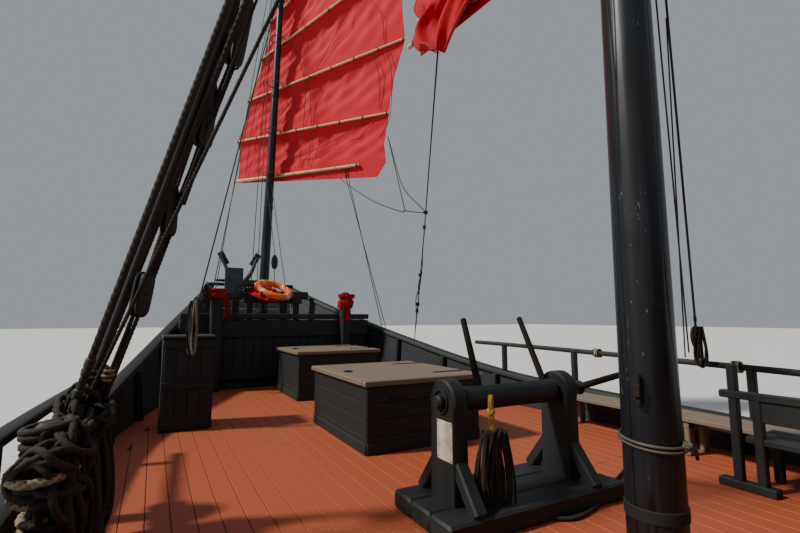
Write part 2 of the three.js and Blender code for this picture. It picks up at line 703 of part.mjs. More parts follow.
function addSail(name, sail) {
  const { away } = sailAxes(sail);
  const panels = sail.rows.length - 1;
  const cloth = plate((u, v) => clothPoint(sail, u, v), away, CHORD_STEPS, panels * PANEL_STEPS, CLOTH);
  const battens = sail.rows.filter((_, i) => i > 0 && i < panels && i !== sail.boomRow);
  const poles = battens.map(([luff, luffUp, leech, leechUp]) => {
    const from = sailPoint(sail, luff - 60, luffUp, sail.clear - sail.batten);
    const to = sailPoint(sail, leech + 40, leechUp, sail.clear - sail.batten);
    return spar(from.toArray(), to.toArray(), sail.batten, sail.batten, 8);
  });
  piece(`${name}_cloth`, joined([cloth, ...poles]), SAIL_RED);
  for (const [kind, row] of [['boom', sail.rows[sail.boomRow]], ['yard', sail.rows[panels]]]) {
    const { fore, aft, over } = sail[kind];
    const out = sail.clear - CLOTH / 2 - Math.max(fore, aft) - GAP;
    const from = sailPoint(sail, row[0] - 90, row[1], out);
    const to = sailPoint(sail, row[2] + over, row[3], out);
    piece(`${name}_${kind}`, spar(from.toArray(), to.toArray(), fore, aft, 12), BATTEN_WOOD);
  }
}

// Standing rigging: from a foot on the ship to a height up the mast from the main deck's level
const STAY_COLUMNS = ['name', 'mast', 'foot', 'height', 'radius'];
const STAYS = [
  ['main_shroud_port_fore', MAIN_MAST, [-2520, 1600, 1612], 8700, 21],
  ['main_shroud_port_aft', MAIN_MAST, [-2545, 1300, 1612], 9400, 21],
  ['main_shroud_starboard', MAIN_MAST, [2640, 880, 1830], 13350, 12],
  ['fore_shroud_port', FORE_MAST, [-1600, 6560, 2000], 8700, 14],
];

function addStays() {
  for (const row of STAYS) {
    const stay = Object.fromEntries(STAY_COLUMNS.map((title, i) => [title, row[i]]));
    const { name, mast, foot, height, radius } = stay;
    const side = Math.sign(foot[0]);
    const above = height - mast.z + DECK;
    const taper = mast.foot + ((mast.top - mast.foot) * above) / mast.length;
    const head = new THREE.Vector3(mast.x, mast.y, mast.z).addScaledVector(up(mast), above);
    head.x += side * (taper + radius + 2);
    piece(name, spar(foot, head.toArray(), radius, radius, 8), ROPE_DARK);
  }
}

// Steering gear and propeller
const RUDDER = { y: -8830, rake: -0.38, foot: -1350, head: 4270, stock: 85 };
const BLADE = [[40, -1330], [1150, -1250], [1330, -600], [1330, 350], [900, 900], [40, 1100]];
const BLADE_THICK = 90;
const STRAPS = [['upper', 2700], ['lower', 420]];
const TILLER = { aft: -200, fore: 2000, z: 4140, drop: 60, thick: 55, thin: 36 };

function rudderPoint(aft, z) {
  return [0, RUDDER.y + RUDDER.rake * z - aft, z];
}

function addRudder() {
  const shape = new THREE.Shape(BLADE.map(([aft, z]) => {
    const [, y, height] = rudderPoint(aft, z);
    return new THREE.Vector2(y, height);
  }));
  const blade = new THREE.ExtrudeGeometry(shape, { depth: BLADE_THICK, bevelEnabled: false });
  blade.rotateX(Math.PI / 2).rotateZ(Math.PI / 2).translate(-BLADE_THICK / 2, 0, 0);
  const notch = strap(STRAPS[1][1], 110, 200, 200);
  const [foot, head] = [rudderPoint(0, RUDDER.foot), rudderPoint(0, RUDDER.head)];
  const stock = spar(foot, head, RUDDER.stock, RUDDER.stock, 16);
  const [, grip] = rudderPoint(0, TILLER.z);
  const bar = (extra) => spar(
    [0, grip + TILLER.aft, TILLER.z],
    [0, grip + TILLER.fore, TILLER.z - TILLER.drop],
    TILLER.thick + extra,
    TILLER.thin + extra,
    12,
  );
  piece('rudder', without(joined([without(blade, [notch]), stock]), [bar(0.5)]), BLACK_PAINT);
  piece('tiller', bar(0), WORN_WOOD);
  for (const [name, z] of STRAPS) {
    const wide = RUDDER.stock + 6;
    const bore = spar(rudderPoint(0, z - 400), rudderPoint(0, z + 400), wide, wide, 20);
    piece(`rudder_strap_${name}`, without(strap(z, 60, 120, 115), [bore]), IRON);
  }
}

// A block across the rudder's stock, from the stern wall to a distance aft of the stock's axis.
function strap(z, halfTall, halfWide, aft) {
  const ring = (height) => {
    const [, y] = rudderPoint(0, height);
    const front = y + STERN - RUDDER.y - 3;
    const back = y - aft;
    const corners = [[halfWide, front], [halfWide, back], [-halfWide, back], [-halfWide, front]];
    return corners.map(([x, along]) => [x, along, height]);
  };
  return loft([ring(z - halfTall), ring(z + halfTall)]);
}

function addPropeller() {
  const hub = new THREE.CylinderGeometry(70, 55, 190, 12).translate(0, -8050, 0);
  const shaft = spar([0, -8000, 0], [0, -6700, 0], 30, 30, 12);
  const blades = [];
  for (let i = 0; i < 3; i += 1) {
    const outline = new THREE.Shape();
    outline.moveTo(-40, 30);
    outline.quadraticCurveTo(-150, 200, -60, 300);
    outline.quadraticCurveTo(20, 320, 80, 270);
    outline.quadraticCurveTo(120, 150, 40, 30);
    const blade = new THREE.ExtrudeGeometry(outline, { depth: 18, bevelEnabled: false, curveSegments: 5 });
    blade.translate(0, 0, -9).rotateY(0.6).rotateX(Math.PI / 2);
    blade.rotateY((i * 2 * Math.PI) / 3).translate(0, -8050, 0);
    blades.push(blade);
  }
  piece('propeller', joined([hub, shaft, ...blades]).translate(0, 0, SHAFT_Z), BRONZE);
  const strut = [
    spar([0, -7820, SHAFT_Z], [0, -7640, SHAFT_Z], 62, 62, 16),
    block(-22, 22, -7800, -7660, SHAFT_Z + 30, -560),
  ];
  const bore = spar([0, -8000, SHAFT_Z], [0, -7400, SHAFT_Z], 36, 36, 20);
  piece('shaft_strut', without(joined(strut), [bore]), IRON);
}

addHull();
addDecks();
addSides();
addTransom();
addCabinFront();
addSideRails();
addBow();
addAnchor();
addLifeRing();
addHatches();
addWindlass();
addDeckFittings();
addPoopFittings();
addMast('mainmast', MAIN_MAST);
addMast('foremast', FORE_MAST);
addMast('mizzenmast', MIZZEN_MAST);
addSail('mainsail', MAIN_SAIL);
addSail('foresail', FORE_SAIL);
addSail('mizzensail', MIZZEN_SAIL);
addStays();
addRudder();
addPropeller();

export default junk;
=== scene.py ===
"""A three-masted wooden junk under sail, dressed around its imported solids.

Metres. +X is starboard, +Y is the bow, +Z is up, and the waterline is at z = 0.
Run as a script, it makes every piece with its finish, a plain stage and the camera.
"""

import math

import bpy
import numpy as np
from mathutils import Matrix, Vector


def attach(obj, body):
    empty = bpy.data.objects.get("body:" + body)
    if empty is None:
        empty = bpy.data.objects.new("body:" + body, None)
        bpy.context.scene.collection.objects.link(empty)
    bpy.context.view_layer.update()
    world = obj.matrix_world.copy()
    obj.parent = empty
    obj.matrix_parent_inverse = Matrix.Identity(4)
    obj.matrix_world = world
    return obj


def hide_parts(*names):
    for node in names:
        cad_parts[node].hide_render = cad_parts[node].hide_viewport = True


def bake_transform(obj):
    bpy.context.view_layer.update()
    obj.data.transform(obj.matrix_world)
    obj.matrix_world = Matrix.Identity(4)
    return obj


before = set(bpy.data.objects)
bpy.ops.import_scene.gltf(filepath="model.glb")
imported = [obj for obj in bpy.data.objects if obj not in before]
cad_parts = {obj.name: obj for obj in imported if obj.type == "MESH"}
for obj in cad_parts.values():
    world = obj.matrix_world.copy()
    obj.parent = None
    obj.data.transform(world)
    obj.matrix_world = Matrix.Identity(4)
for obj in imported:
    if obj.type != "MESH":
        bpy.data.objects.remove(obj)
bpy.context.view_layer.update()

bl_info = {
    "name": "Battened junk",
    "version": (1, 0, 0),
    "blender": (4, 5, 0),
    "location": "View3D > Sidebar > Junk",
    "description": "Builds the planked hull, decks, rig and gear of a three-masted wooden junk",
    "category": "Add Mesh",
}

# Driving dimensions, as the solids have them
DECK = 1.0
FOREDECK = 2.1
POOP = 2.95
BREAK_Y = 6.9
CABIN_Y = -4.2
PLANK = 0.06
CAP_THICK = 0.07
CAP_WIDE = 0.15
SEAM = 0.004
SIDES = (("port", -1), ("starboard", 1))
WAY_X, WAY_Y, WAY_Z = (1, 0, 0), (0, 1, 0), (0, 0, 1)
# Each flat side's first corner, in a chamfered section and in a plank's
CHAMFERED_FLATS = (1, 3, 5, 7)
PLANK_FLATS = (0, 2, 4, 6)
# The beam across the forecastle's break
BREAST = {"aft": 0.045, "fore": 0.06, "foot": 1.9, "head": 2.33, "half": 1.76}

# Hull form: slices from the stern to the bow. Each has its y on the waterline, its rake,
# the height of its bottom, its half-breadths at the bottom, the waterline, the deck and the 3 m
# level, and the heights of the bulwark's top and of the quarter's top.
HULL_COLUMNS = ["y", "rake", "keel", "bottom", "water", "deck", "high", "bulwark", "quarter"]
HULL_ROWS = np.array([
    [-8.6, -0.38, -0.25, 0.90, 1.50, 2.05, 2.35, 1.43, 3.82],
    [-6.5, -0.20, -1.00, 1.10, 2.15, 2.40, 2.60, 1.40, 3.56],
    [-3.0, 0.00, -1.35, 1.30, 2.55, 2.72, 2.85, 1.29, 3.40],
    [0.0, 0.00, -1.40, 1.35, 2.65, 2.80, 2.90, 1.25, 3.40],
    [3.0, 0.00, -1.30, 1.20, 2.50, 2.66, 2.75, 1.34, 3.40],
    [6.0, 0.10, -1.00, 0.85, 1.75, 1.98, 2.20, 1.89, 3.40],
    [7.8, 0.40, -0.45, 0.60, 1.05, 1.22, 1.40, 2.60, 3.40],
    [8.3, 0.60, -0.20, 0.45, 0.70, 0.85, 1.00, 3.00, 3.40],
])
STERN = HULL_ROWS[0][0]
BOW = HULL_ROWS[-1][0]
HIGH = 3.0


def column(name, place):
    """A column of the hull table at slices, on a cubic curve through its rows.

    The slope at a row is the harmonic mean of the slopes beside it, or nought where they differ
    in sign, so the curve never overshoots.
    """
    places = HULL_ROWS[:, 0]
    values = HULL_ROWS[:, HULL_COLUMNS.index(name)]
    slopes = np.diff(values) / np.diff(places)
    before = np.concatenate([slopes[:1], slopes])
    after = np.concatenate([slopes, slopes[-1:]])
    product = before * after
    total = np.where(product > 0, before + after, 1.0)
    tangents = np.where(product > 0, 2 * product / total, 0.0)
    place = np.asarray(place, float)
    i = np.clip(np.searchsorted(places, place) - 1, 0, len(places) - 2)
    span = places[i + 1] - places[i]
    t = (place - places[i]) / span
    low = values[i] * (1 + 2 * t) * (1 - t) ** 2 + tangents[i] * span * t * (1 - t) ** 2
    high = values[i + 1] * t * t * (3 - 2 * t) + tangents[i + 1] * span * t * t * (t - 1)
    return low + high


def half_breadth(place, z):
    """Half the hull's breadth at a slice and a height, straight between its levels."""
    water = column("water", place)
    deck = column("deck", place)
    high = column("high", place)
    low_part = water + (deck - water) * z / DECK
    high_part = deck + (high - deck) * (z - DECK) / (HIGH - DECK)
    return np.where(np.asarray(z) < DECK, low_part, high_part)


def skin(place, z, inset=0.0):
    """Points on the starboard side of the hull, a distance inside it."""
    x = half_breadth(place, z) - inset
    y = place + column("rake", place) * z
    return np.stack(np.broadcast_arrays(x, y, np.asarray(z, float)), -1)


def slice_at(y, z):
    """The slice that passes through a place at a height, found by repeated correction."""
    place = np.asarray(y, float)
    for _ in range(30):
        place = 0.5 * place + 0.5 * (y - column("rake", place) * z)
    return np.clip(place, STERN, BOW)


def mirrored(points):
    """Points on the port side for points on the starboard side."""
    return points * np.array([-1.0, 1.0, 1.0])


# Mesh helpers

def circle_angles(count):
    """Angles once round a circle, in even steps."""
    return np.arange(count) / count * 2 * math.pi


def unit(vectors):
    """Vectors brought to length one."""
    return vectors / np.maximum(np.linalg.norm(vectors, axis=-1, keepdims=True), 1e-12)


class Form:
    """Gathers bodies as arrays of points and faces, and makes one mesh object of them.

    Each face corner carries two pairs of metres: grain is the way around and along the body,
    and edge is the distance from the middle of its face and half that face's width.
    Each point carries a tint, which is one value for a plank, pole or plain rope, and on a laid rope rises
    from the grooves to the crowns, for painted shade and painted highlight.
    """

    def __init__(self):
        self.points = []
        self.faces = []
        self.grain = []
        self.edge = []
        self.tint = []
        self.slots = []
        self.count = 0

    def add(self, points, groups, tint=0.5, material=0):
        """Adds points and groups of faces, each group being indices, grain and edge arrays.

        Faces that enclose a negative volume look inward, and are turned over.
        """
        points = np.asarray(points, float).reshape(-1, 3)
        volume = 0.0
        for faces, _, _ in groups:
            fan = points[faces]
            cross = np.cross(fan[:, 1:-1] - fan[:, :1], fan[:, 2:] - fan[:, :1])
            volume += np.sum(fan[:, :1] * cross)
        if volume < 0:
            groups = [[part[:, ::-1] for part in group] for group in groups]
        for faces, grain, edge in groups:
            self.faces.append(faces + self.count)
            self.grain.append(grain)
            self.edge.append(edge)
            self.slots.append(np.full(len(faces), material))
        self.points.append(points)
        self.tint.append(np.broadcast_to(np.asarray(tint, float), (len(points),)))
        self.count += len(points)

    def build(self, name, finishes, body="ship", replaced=(), slot=None, angle=32.0):
        """Makes the mesh object, gives it its finishes and lets it ride on its body.

        finishes names them in the order of the materials' numbers. slot is not used.
        """
        finishes = finishes.split()
        mesh = bpy.data.meshes.new(name)
        points = np.concatenate(self.points)
        sizes = np.concatenate([np.full(len(f), f.shape[1]) for f in self.faces])
        loops = np.concatenate([f.ravel() for f in self.faces])
        mesh.vertices.add(len(points))
        mesh.vertices.foreach_set("co", points.astype(np.float32).ravel())
        mesh.loops.add(len(loops))
        mesh.loops.foreach_set("vertex_index", loops.astype(np.int32))
        mesh.polygons.add(len(sizes))
        starts = np.concatenate([[0], np.cumsum(sizes)[:-1]])
        mesh.polygons.foreach_set("loop_start", starts.astype(np.int32))
        mesh.polygons.foreach_set("material_index", np.concatenate(self.slots).astype(np.int32))
        for layer, parts in (("grain", self.grain), ("edge", self.edge)):
            values = np.concatenate([p.reshape(-1, 2) for p in parts])
            mesh.uv_layers.new(name=layer).data.foreach_set("uv", values.astype(np.float32).ravel())
        tint = mesh.attributes.new("tint", "FLOAT", "POINT")
        tint.data.foreach_set("value", np.concatenate(self.tint).astype(np.float32))
        mesh.update(calc_edges=True)
        mesh.polygons.foreach_set("use_smooth", np.ones(len(sizes), bool))
        mesh.set_sharp_from_angle(angle=math.radians(angle))
        obj = bpy.data.objects.new(name, mesh)
        bpy.context.scene.collection.objects.link(obj)
        for made in finishes:
            mesh.materials.append(finish(made))
        if body:
            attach(obj, body)
        if replaced:
            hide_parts(*replaced)
        return obj


def lofts(form, rings, flats=(), tint=0.5, material=0, ends=True, plain_ends=False):
    """Adds closed bodies through rings of points, shaped (bodies, stations, corners, 3).

    flats lists the corners that start a flat side, whose edges can show wear. ends closes the
    first and last rings, and without it the last ring joins the first. tint is one value, one for
    each body or one for each point.
    """
    rings = np.asarray(rings, float)
    if rings.ndim == 3:
        rings = rings[None]
    bodies, stations, corners = rings.shape[:3]
    spans = stations - 1 if ends else stations
    step = np.linalg.norm(np.roll(rings, -1, 1) - rings, axis=-1).mean(2)
    along = np.concatenate([np.zeros((bodies, 1)), np.cumsum(step, 1)], 1)
    gap = np.linalg.norm(np.roll(rings, -1, 2) - rings, axis=-1).mean(1)
    around = np.concatenate([np.zeros((bodies, 1)), np.cumsum(gap, 1)], 1)
    i, j = [a.ravel() for a in np.meshgrid(np.arange(spans), np.arange(corners), indexing="ij")]
    low = (i % stations) * corners
    high = ((i + 1) % stations) * corners
    quad = np.stack([low + j, low + (j + 1) % corners, high + (j + 1) % corners, high + j], -1)
    offset = (np.arange(bodies) * stations * corners)[:, None, None]
    faces = (quad[None] + offset).reshape(-1, 4)
    across = np.stack([around[:, j], around[:, j + 1], around[:, j + 1], around[:, j]], -1)
    down = np.stack([along[:, i], along[:, i], along[:, i + 1], along[:, i + 1]], -1)
    grain = np.stack([across, down], -1).reshape(-1, 4, 2)
    if len(flats):
        half = np.where(np.isin(np.arange(corners), flats), gap / 2, 0.0)[:, j]
        if plain_ends:
            half = half * ((i > 0) & (i < spans - 1))
        reach = half
    else:
        half = np.ones((bodies, len(j)))
        reach = 0 * half
    place = np.stack([-reach, reach, reach, -reach], -1)
    edge = np.stack([place, np.repeat(half[..., None], 4, -1)], -1).reshape(-1, 4, 2)
    groups = [[faces, grain, edge]]
    if ends:
        turn = np.arange(corners)
        cap_low = (turn[::-1][None] + offset[:, 0]).reshape(bodies, corners)
        cap_high = (turn[None] + (stations - 1) * corners + offset[:, 0]).reshape(bodies, corners)
        for cap, order in ((cap_low, turn[::-1]), (cap_high, turn)):
            cap_grain = np.stack([around[:, order], np.zeros((bodies, corners))], -1)
            groups.append([cap, cap_grain, np.tile([0.0, 1.0], (bodies, corners, 1))])
    tint = np.asarray(tint, float)
    tints = tint.reshape(bodies, -1) if tint.size > bodies else tint.reshape(-1, 1)
    tints = np.broadcast_to(tints, (bodies, stations * corners))
    form.add(rings.reshape(-1, 3), groups, tints.ravel(), material)


def chamfered(wide, tall, cut):
    """Corners of a rectangle with cut corners, as (..., 8, 2), going round from its lower right."""
    w = np.asarray(wide, float)[..., None] / 2
    t = np.asarray(tall, float)[..., None] / 2
    x = np.concatenate([w - cut, w, w, w - cut, cut - w, -w, -w, cut - w], -1)
    y = np.concatenate([-t, cut - t, t - cut, t, t, t - cut, cut - t, -t], -1)
    return np.stack([x, y], -1)


def timbers(form, rows, cut=0.006, upward=(0, 0, 1), tint=None, material=0, seed=1):
    """Adds straight timbers with chamfered edges. A row is a start, an end, a width and a height.

    The section is a rectangle with cut corners, carried from start to end, and drawn in by the
    cut at both ends. Its height lies as near the upward direction as it can.
    """
    rows = np.array([[*start, *end, wide, tall] for start, end, wide, tall in rows], float)
    start, end, wide, tall = rows[:, 0:3], rows[:, 3:6], rows[:, 6], rows[:, 7]
    length = np.linalg.norm(end - start, axis=1)
    ahead = unit(end - start)
    side = unit(np.cross(ahead, np.broadcast_to(np.asarray(upward, float), ahead.shape)))
    above = np.cross(side, ahead)
    places = np.stack([0 * length, 0 * length + cut, length - cut, length], 1)
    shrink = np.array([1.0, 0.0, 0.0, 1.0]) * cut * 2
    section = chamfered(wide[:, None] - shrink, tall[:, None] - shrink, cut)
    rings = (start[:, None, None] + ahead[:, None, None] * places[:, :, None, None]
             + side[:, None, None] * section[..., :1] + above[:, None, None] * section[..., 1:])
    if tint is None:
        tint = np.random.default_rng(seed).random(len(rows))
    lofts(form, rings, CHAMFERED_FLATS, tint, material, plain_ends=True)


def post(x, y, foot, head, wide, deep):
    """A row for timbers that stands upright."""
    return (x, y, foot), (x, y, head), wide, deep


def bar(x0, x1, y, z, deep, tall):
    """A row for timbers that lies athwart."""
    return (x0, y, z), (x1, y, z), deep, tall


def run(x, y0, y1, z, wide, tall):
    """A row for timbers that lies fore and aft."""
    return (x, y0, z), (x, y1, z), wide, tall


def pairs(marks, gap=0.0):
    """The stretches between neighbouring marks, shorter by the gap at both ends."""
    return [(a + gap, b - gap) for a, b in zip(marks[:-1], marks[1:])]


def between(start, end, share):
    """The points at shares of the way from a start to an end."""
    return np.asarray(start) * (1 - share) + np.asarray(end) * share


def blocks(form, rows, cut=0.006, material=0, seed=1):
    """Adds upright boxes with chamfered edges. A row is the edges in x, in y and in z.

    Each is a timber along its longest side.
    """
    beams = []
    for x0, x1, y0, y1, z0, z1 in rows:
        low = np.array([x0, y0, z0])
        high = np.array([x1, y1, z1])
        size = high - low
        axis = int(np.argmax(size))
        middle = (low + high) / 2
        start, end = middle.copy(), middle.copy()
        start[axis], end[axis] = low[axis], high[axis]
        flat = {0: (size[1], size[2]), 1: (size[0], size[2]), 2: (size[0], size[1])}[axis]
        beams.append((axis, (start, end, *flat)))
    generator = np.random.default_rng(seed)
    for group in (0, 1, 2):
        rows_here = [beam for axis, beam in beams if axis == group]
        if rows_here:
            upward = (0, 1, 0) if group == 2 else (0, 0, 1)
            timbers(form, rows_here, cut, upward, generator.random(len(rows_here)), material)


def frames(path):
    """Two directions square to a path at each point, kept from turning by a fixed axis.

    The axis is the one of x, y and z that the path follows least.
    """
    path = np.asarray(path, float)
    ahead = unit(np.gradient(path, axis=0))
    axis = np.eye(3)[np.argmin(np.abs(ahead).max(0))]
    side = unit(np.cross(ahead, axis))
    return side, np.cross(side, ahead)


# A tube's rounded end: its last ring's share of the radius, and how many radii before that ring the
# full radius starts
END_REACH = 0.72
END_STEP = 0.35


def tube(form, path, radius, sides=10, tint=0.5, material=0, section=None, closed=False,
         round_ends=True, lay_shade_and_highlight=0.0):
    """Adds a tube: a round section carried along a path, its radius given once or for each point.

    section replaces the circle by a factor for each angle and point of the path. lay_shade_and_highlight is
    how much the tint grows from that factor's least to its greatest, which a laid rope's finish shows as
    painted shade in the grooves and a painted highlight on the crowns.
    """
    path = np.asarray(path, float)
    radius = np.broadcast_to(np.asarray(radius, float), (len(path),)).copy()
    if round_ends and not closed:
        first = path[0] + unit(path[1] - path[0]) * radius[0] * END_STEP
        last = path[-1] + unit(path[-2] - path[-1]) * radius[-1] * END_STEP
        path = np.concatenate([path[:1], [first], path[1:-1], [last], path[-1:]])
        radius = np.concatenate([radius[:1] * END_REACH, radius, radius[-1:] * END_REACH])
    side, above = frames(path)
    angle = circle_angles(sides)
    reach = radius[:, None] * np.ones(sides)
    if section is not None:
        factor = section(angle[None], np.arange(len(path))[:, None])
        reach = radius[:, None] * factor
        # The tint follows the section: low in the grooves and high on the crowns, for painted shade and
        # painted highlight on a laid rope
        if lay_shade_and_highlight:
            share = (factor - factor.min()) / max(1e-6, float(np.ptp(factor)))
            tint = np.clip(share, 0, 1) * lay_shade_and_highlight + tint
    rings = (path[:, None] + side[:, None] * (np.cos(angle) * reach)[..., None]
             + above[:, None] * (np.sin(angle) * reach)[..., None])
    lofts(form, rings, (), tint, material, ends=not closed)


def band(form, middle, ahead, radius, profile, sides=40, tint=0.5, material=1):
    """Adds a band round a pole: its profile is places along the pole and heights above its surface."""
    along, rise = np.array(profile, float).T
    tube(form, middle + ahead * along[:, None], radius + rise, sides, tint, material, round_ends=False)


def hoop(form, middle, reach, first, second, thick, count=24):
    """Adds a ring of round iron: a circle in the plane of two directions."""
    angle = circle_angles(count)[:, None]
    loop = np.asarray(middle) + reach * (np.cos(angle) * first + np.sin(angle) * second)
    tube(form, loop, thick, 8, material=1, closed=True)


def resampled(path, step):
    """A path of points a step apart, on straight lines through the given points."""
    path = np.asarray(path, float)
    along = np.concatenate([[0], np.cumsum(np.linalg.norm(np.diff(path, axis=0), axis=1))])
    count = max(3, int(round(along[-1] / step)) + 1)
    places = np.linspace(0, along[-1], count)
    return np.stack([np.interp(places, along, path[:, k]) for k in range(3)], -1)


def curved(points, count):
    """A smooth path through points: a Catmull-Rom curve, evenly stepped in its parameter."""
    points = np.asarray(points, float)
    padded = np.concatenate([[2 * points[0] - points[1]], points, [2 * points[-1] - points[-2]]])
    place = np.linspace(0, len(points) - 1 - 1e-9, count)
    i = place.astype(int)
    t = (place - i)[:, None]
    a, b, c, d = padded[i], padded[i + 1], padded[i + 2], padded[i + 3]
    return 0.5 * (2 * b + (c - a) * t + (2 * a - 5 * b + 4 * c - d) * t ** 2
                  + (3 * b - a - 3 * c + d) * t ** 3)


STRANDS = 3
LAY = 3.4
# How much a laid rope's tint rises from its grooves to its crowns: painted shade in the grooves, and a paler
# crown that is partly wear and partly painted highlight
CROWN_WEAR_AND_HIGHLIGHT_TINT = 0.75


def rope(form, path, radius, sides=12, rings_each=3):
    """Adds a laid rope: a section of three lobes that turns once in a lay of 3.4 diameters.

    The radius is 0.68 + 0.34 |cos(1.5 (angle - turn))| ^ 0.6 of the rope's own, and the tint rises with it
    from the grooves to the strands' crowns, which the finish shows as painted shade in the grooves and a
    paler crown that is partly wear and partly painted highlight.
    """
    length = np.linalg.norm(np.diff(np.asarray(path, float), axis=0), axis=1).sum()
    pitch = LAY * 2 * radius
    path = resampled(path, pitch / STRANDS / rings_each)
    step = length / (len(path) - 1)

    def lobes(angle, index):
        phase = STRANDS * (angle - 2 * math.pi * index * step / pitch)
        return 0.68 + 0.34 * np.abs(np.cos(phase / 2)) ** 0.6

    tube(form, path, radius, sides, 0.0, 0, lobes, round_ends=False, lay_shade_and_highlight=CROWN_WEAR_AND_HIGHLIGHT_TINT)


def plate(form, grid, thickness):
    """Adds a sheet of even thickness on a grid of points: two layers along its normals, and a rim."""
    grid = np.asarray(grid, float)
    rows, columns = grid.shape[:2]
    normal = unit(np.cross(np.gradient(grid, axis=0), np.gradient(grid, axis=1)))
    layers = np.concatenate([grid + normal * thickness / 2, grid - normal * thickness / 2])
    u = np.concatenate([[0], np.cumsum(np.linalg.norm(np.diff(grid, axis=0), axis=-1).mean(1))])
    v = np.concatenate([[0], np.cumsum(np.linalg.norm(np.diff(grid, axis=1), axis=-1).mean(0))])
    i, j = [a.ravel() for a in np.meshgrid(np.arange(rows - 1), np.arange(columns - 1), indexing="ij")]
    a = i * columns + j
    top = np.stack([a, a + columns, a + columns + 1, a + 1], -1)
    grain = np.stack([np.stack([u[i], u[i + 1], u[i + 1], u[i]], -1),
                      np.stack([v[j], v[j], v[j + 1], v[j + 1]], -1)], -1)
    layer = rows * columns
    rim = np.concatenate([
        np.arange(rows - 1) * columns, (rows - 1) * columns + np.arange(columns - 1),
        np.arange(rows - 1, 0, -1) * columns + columns - 1, np.arange(columns - 1, 0, -1),
    ])
    after = np.roll(rim, -1)
    wall = np.stack([after, rim, rim + layer, after + layer], -1)
    wall_grain = np.zeros((len(rim), 4, 2))
    faces = np.concatenate([top, top[:, ::-1] + layer, wall])
    grains = np.concatenate([grain, grain[:, ::-1], wall_grain])
    edges = np.tile([0.0, 1.0], (len(faces), 4, 1))
    form.add(layers.reshape(-1, 3), [[faces, grains, edges]])


def declare_sheet(cloth, grid, held):
    """Works out a cloth's flat size and area from what its own surface measures, and then does nothing with
    them. cloth is not used.
    """
    tall = np.linalg.norm(np.diff(grid, axis=0), axis=-1).sum(0)
    wide = np.linalg.norm(np.diff(grid, axis=1), axis=-1).sum(1)
    patches = np.cross(np.diff(grid, axis=0)[:, :-1], np.diff(grid, axis=1)[:-1])
    area = float(np.linalg.norm(patches, axis=-1).sum())
    slack, places = (0.02, 2) if held == "stretched" else (0.01, 3)
    flat = (round(float(wide.max()) + slack, 2), round(float(tall.max()) + slack, 2))
    area = min(max(area, 0.3 * flat[0] * flat[1]), flat[0] * flat[1])


# Materials

class Wire:
    """A socket in an expression: arithmetic on it adds Math nodes to its material."""

    def __init__(self, finish, socket):
        self.finish = finish
        self.socket = socket

    def math(self, operation, first, second=0.0, clamp=False):
        settings = {"operation": operation, "use_clamp": clamp}
        return self.finish.node("ShaderNodeMath", settings, {0: first, 1: second})

    def __add__(self, other):
        return self.math("ADD", self, other)

    def __sub__(self, other):
        return self.math("SUBTRACT", self, other)

    def __rsub__(self, other):
        return self.math("SUBTRACT", other, self)

    def __mul__(self, other):
        return self.math("MULTIPLY", self, other)

    def __truediv__(self, other):
        return self.math("DIVIDE", self, other)

    __radd__ = __add__
    __rmul__ = __mul__

    def clamped(self):
        return self.math("ADD", self, 0.0, clamp=True)

    def size(self):
        return self.math("ABSOLUTE", self)

    def fraction(self):
        return self.math("FRACT", self)


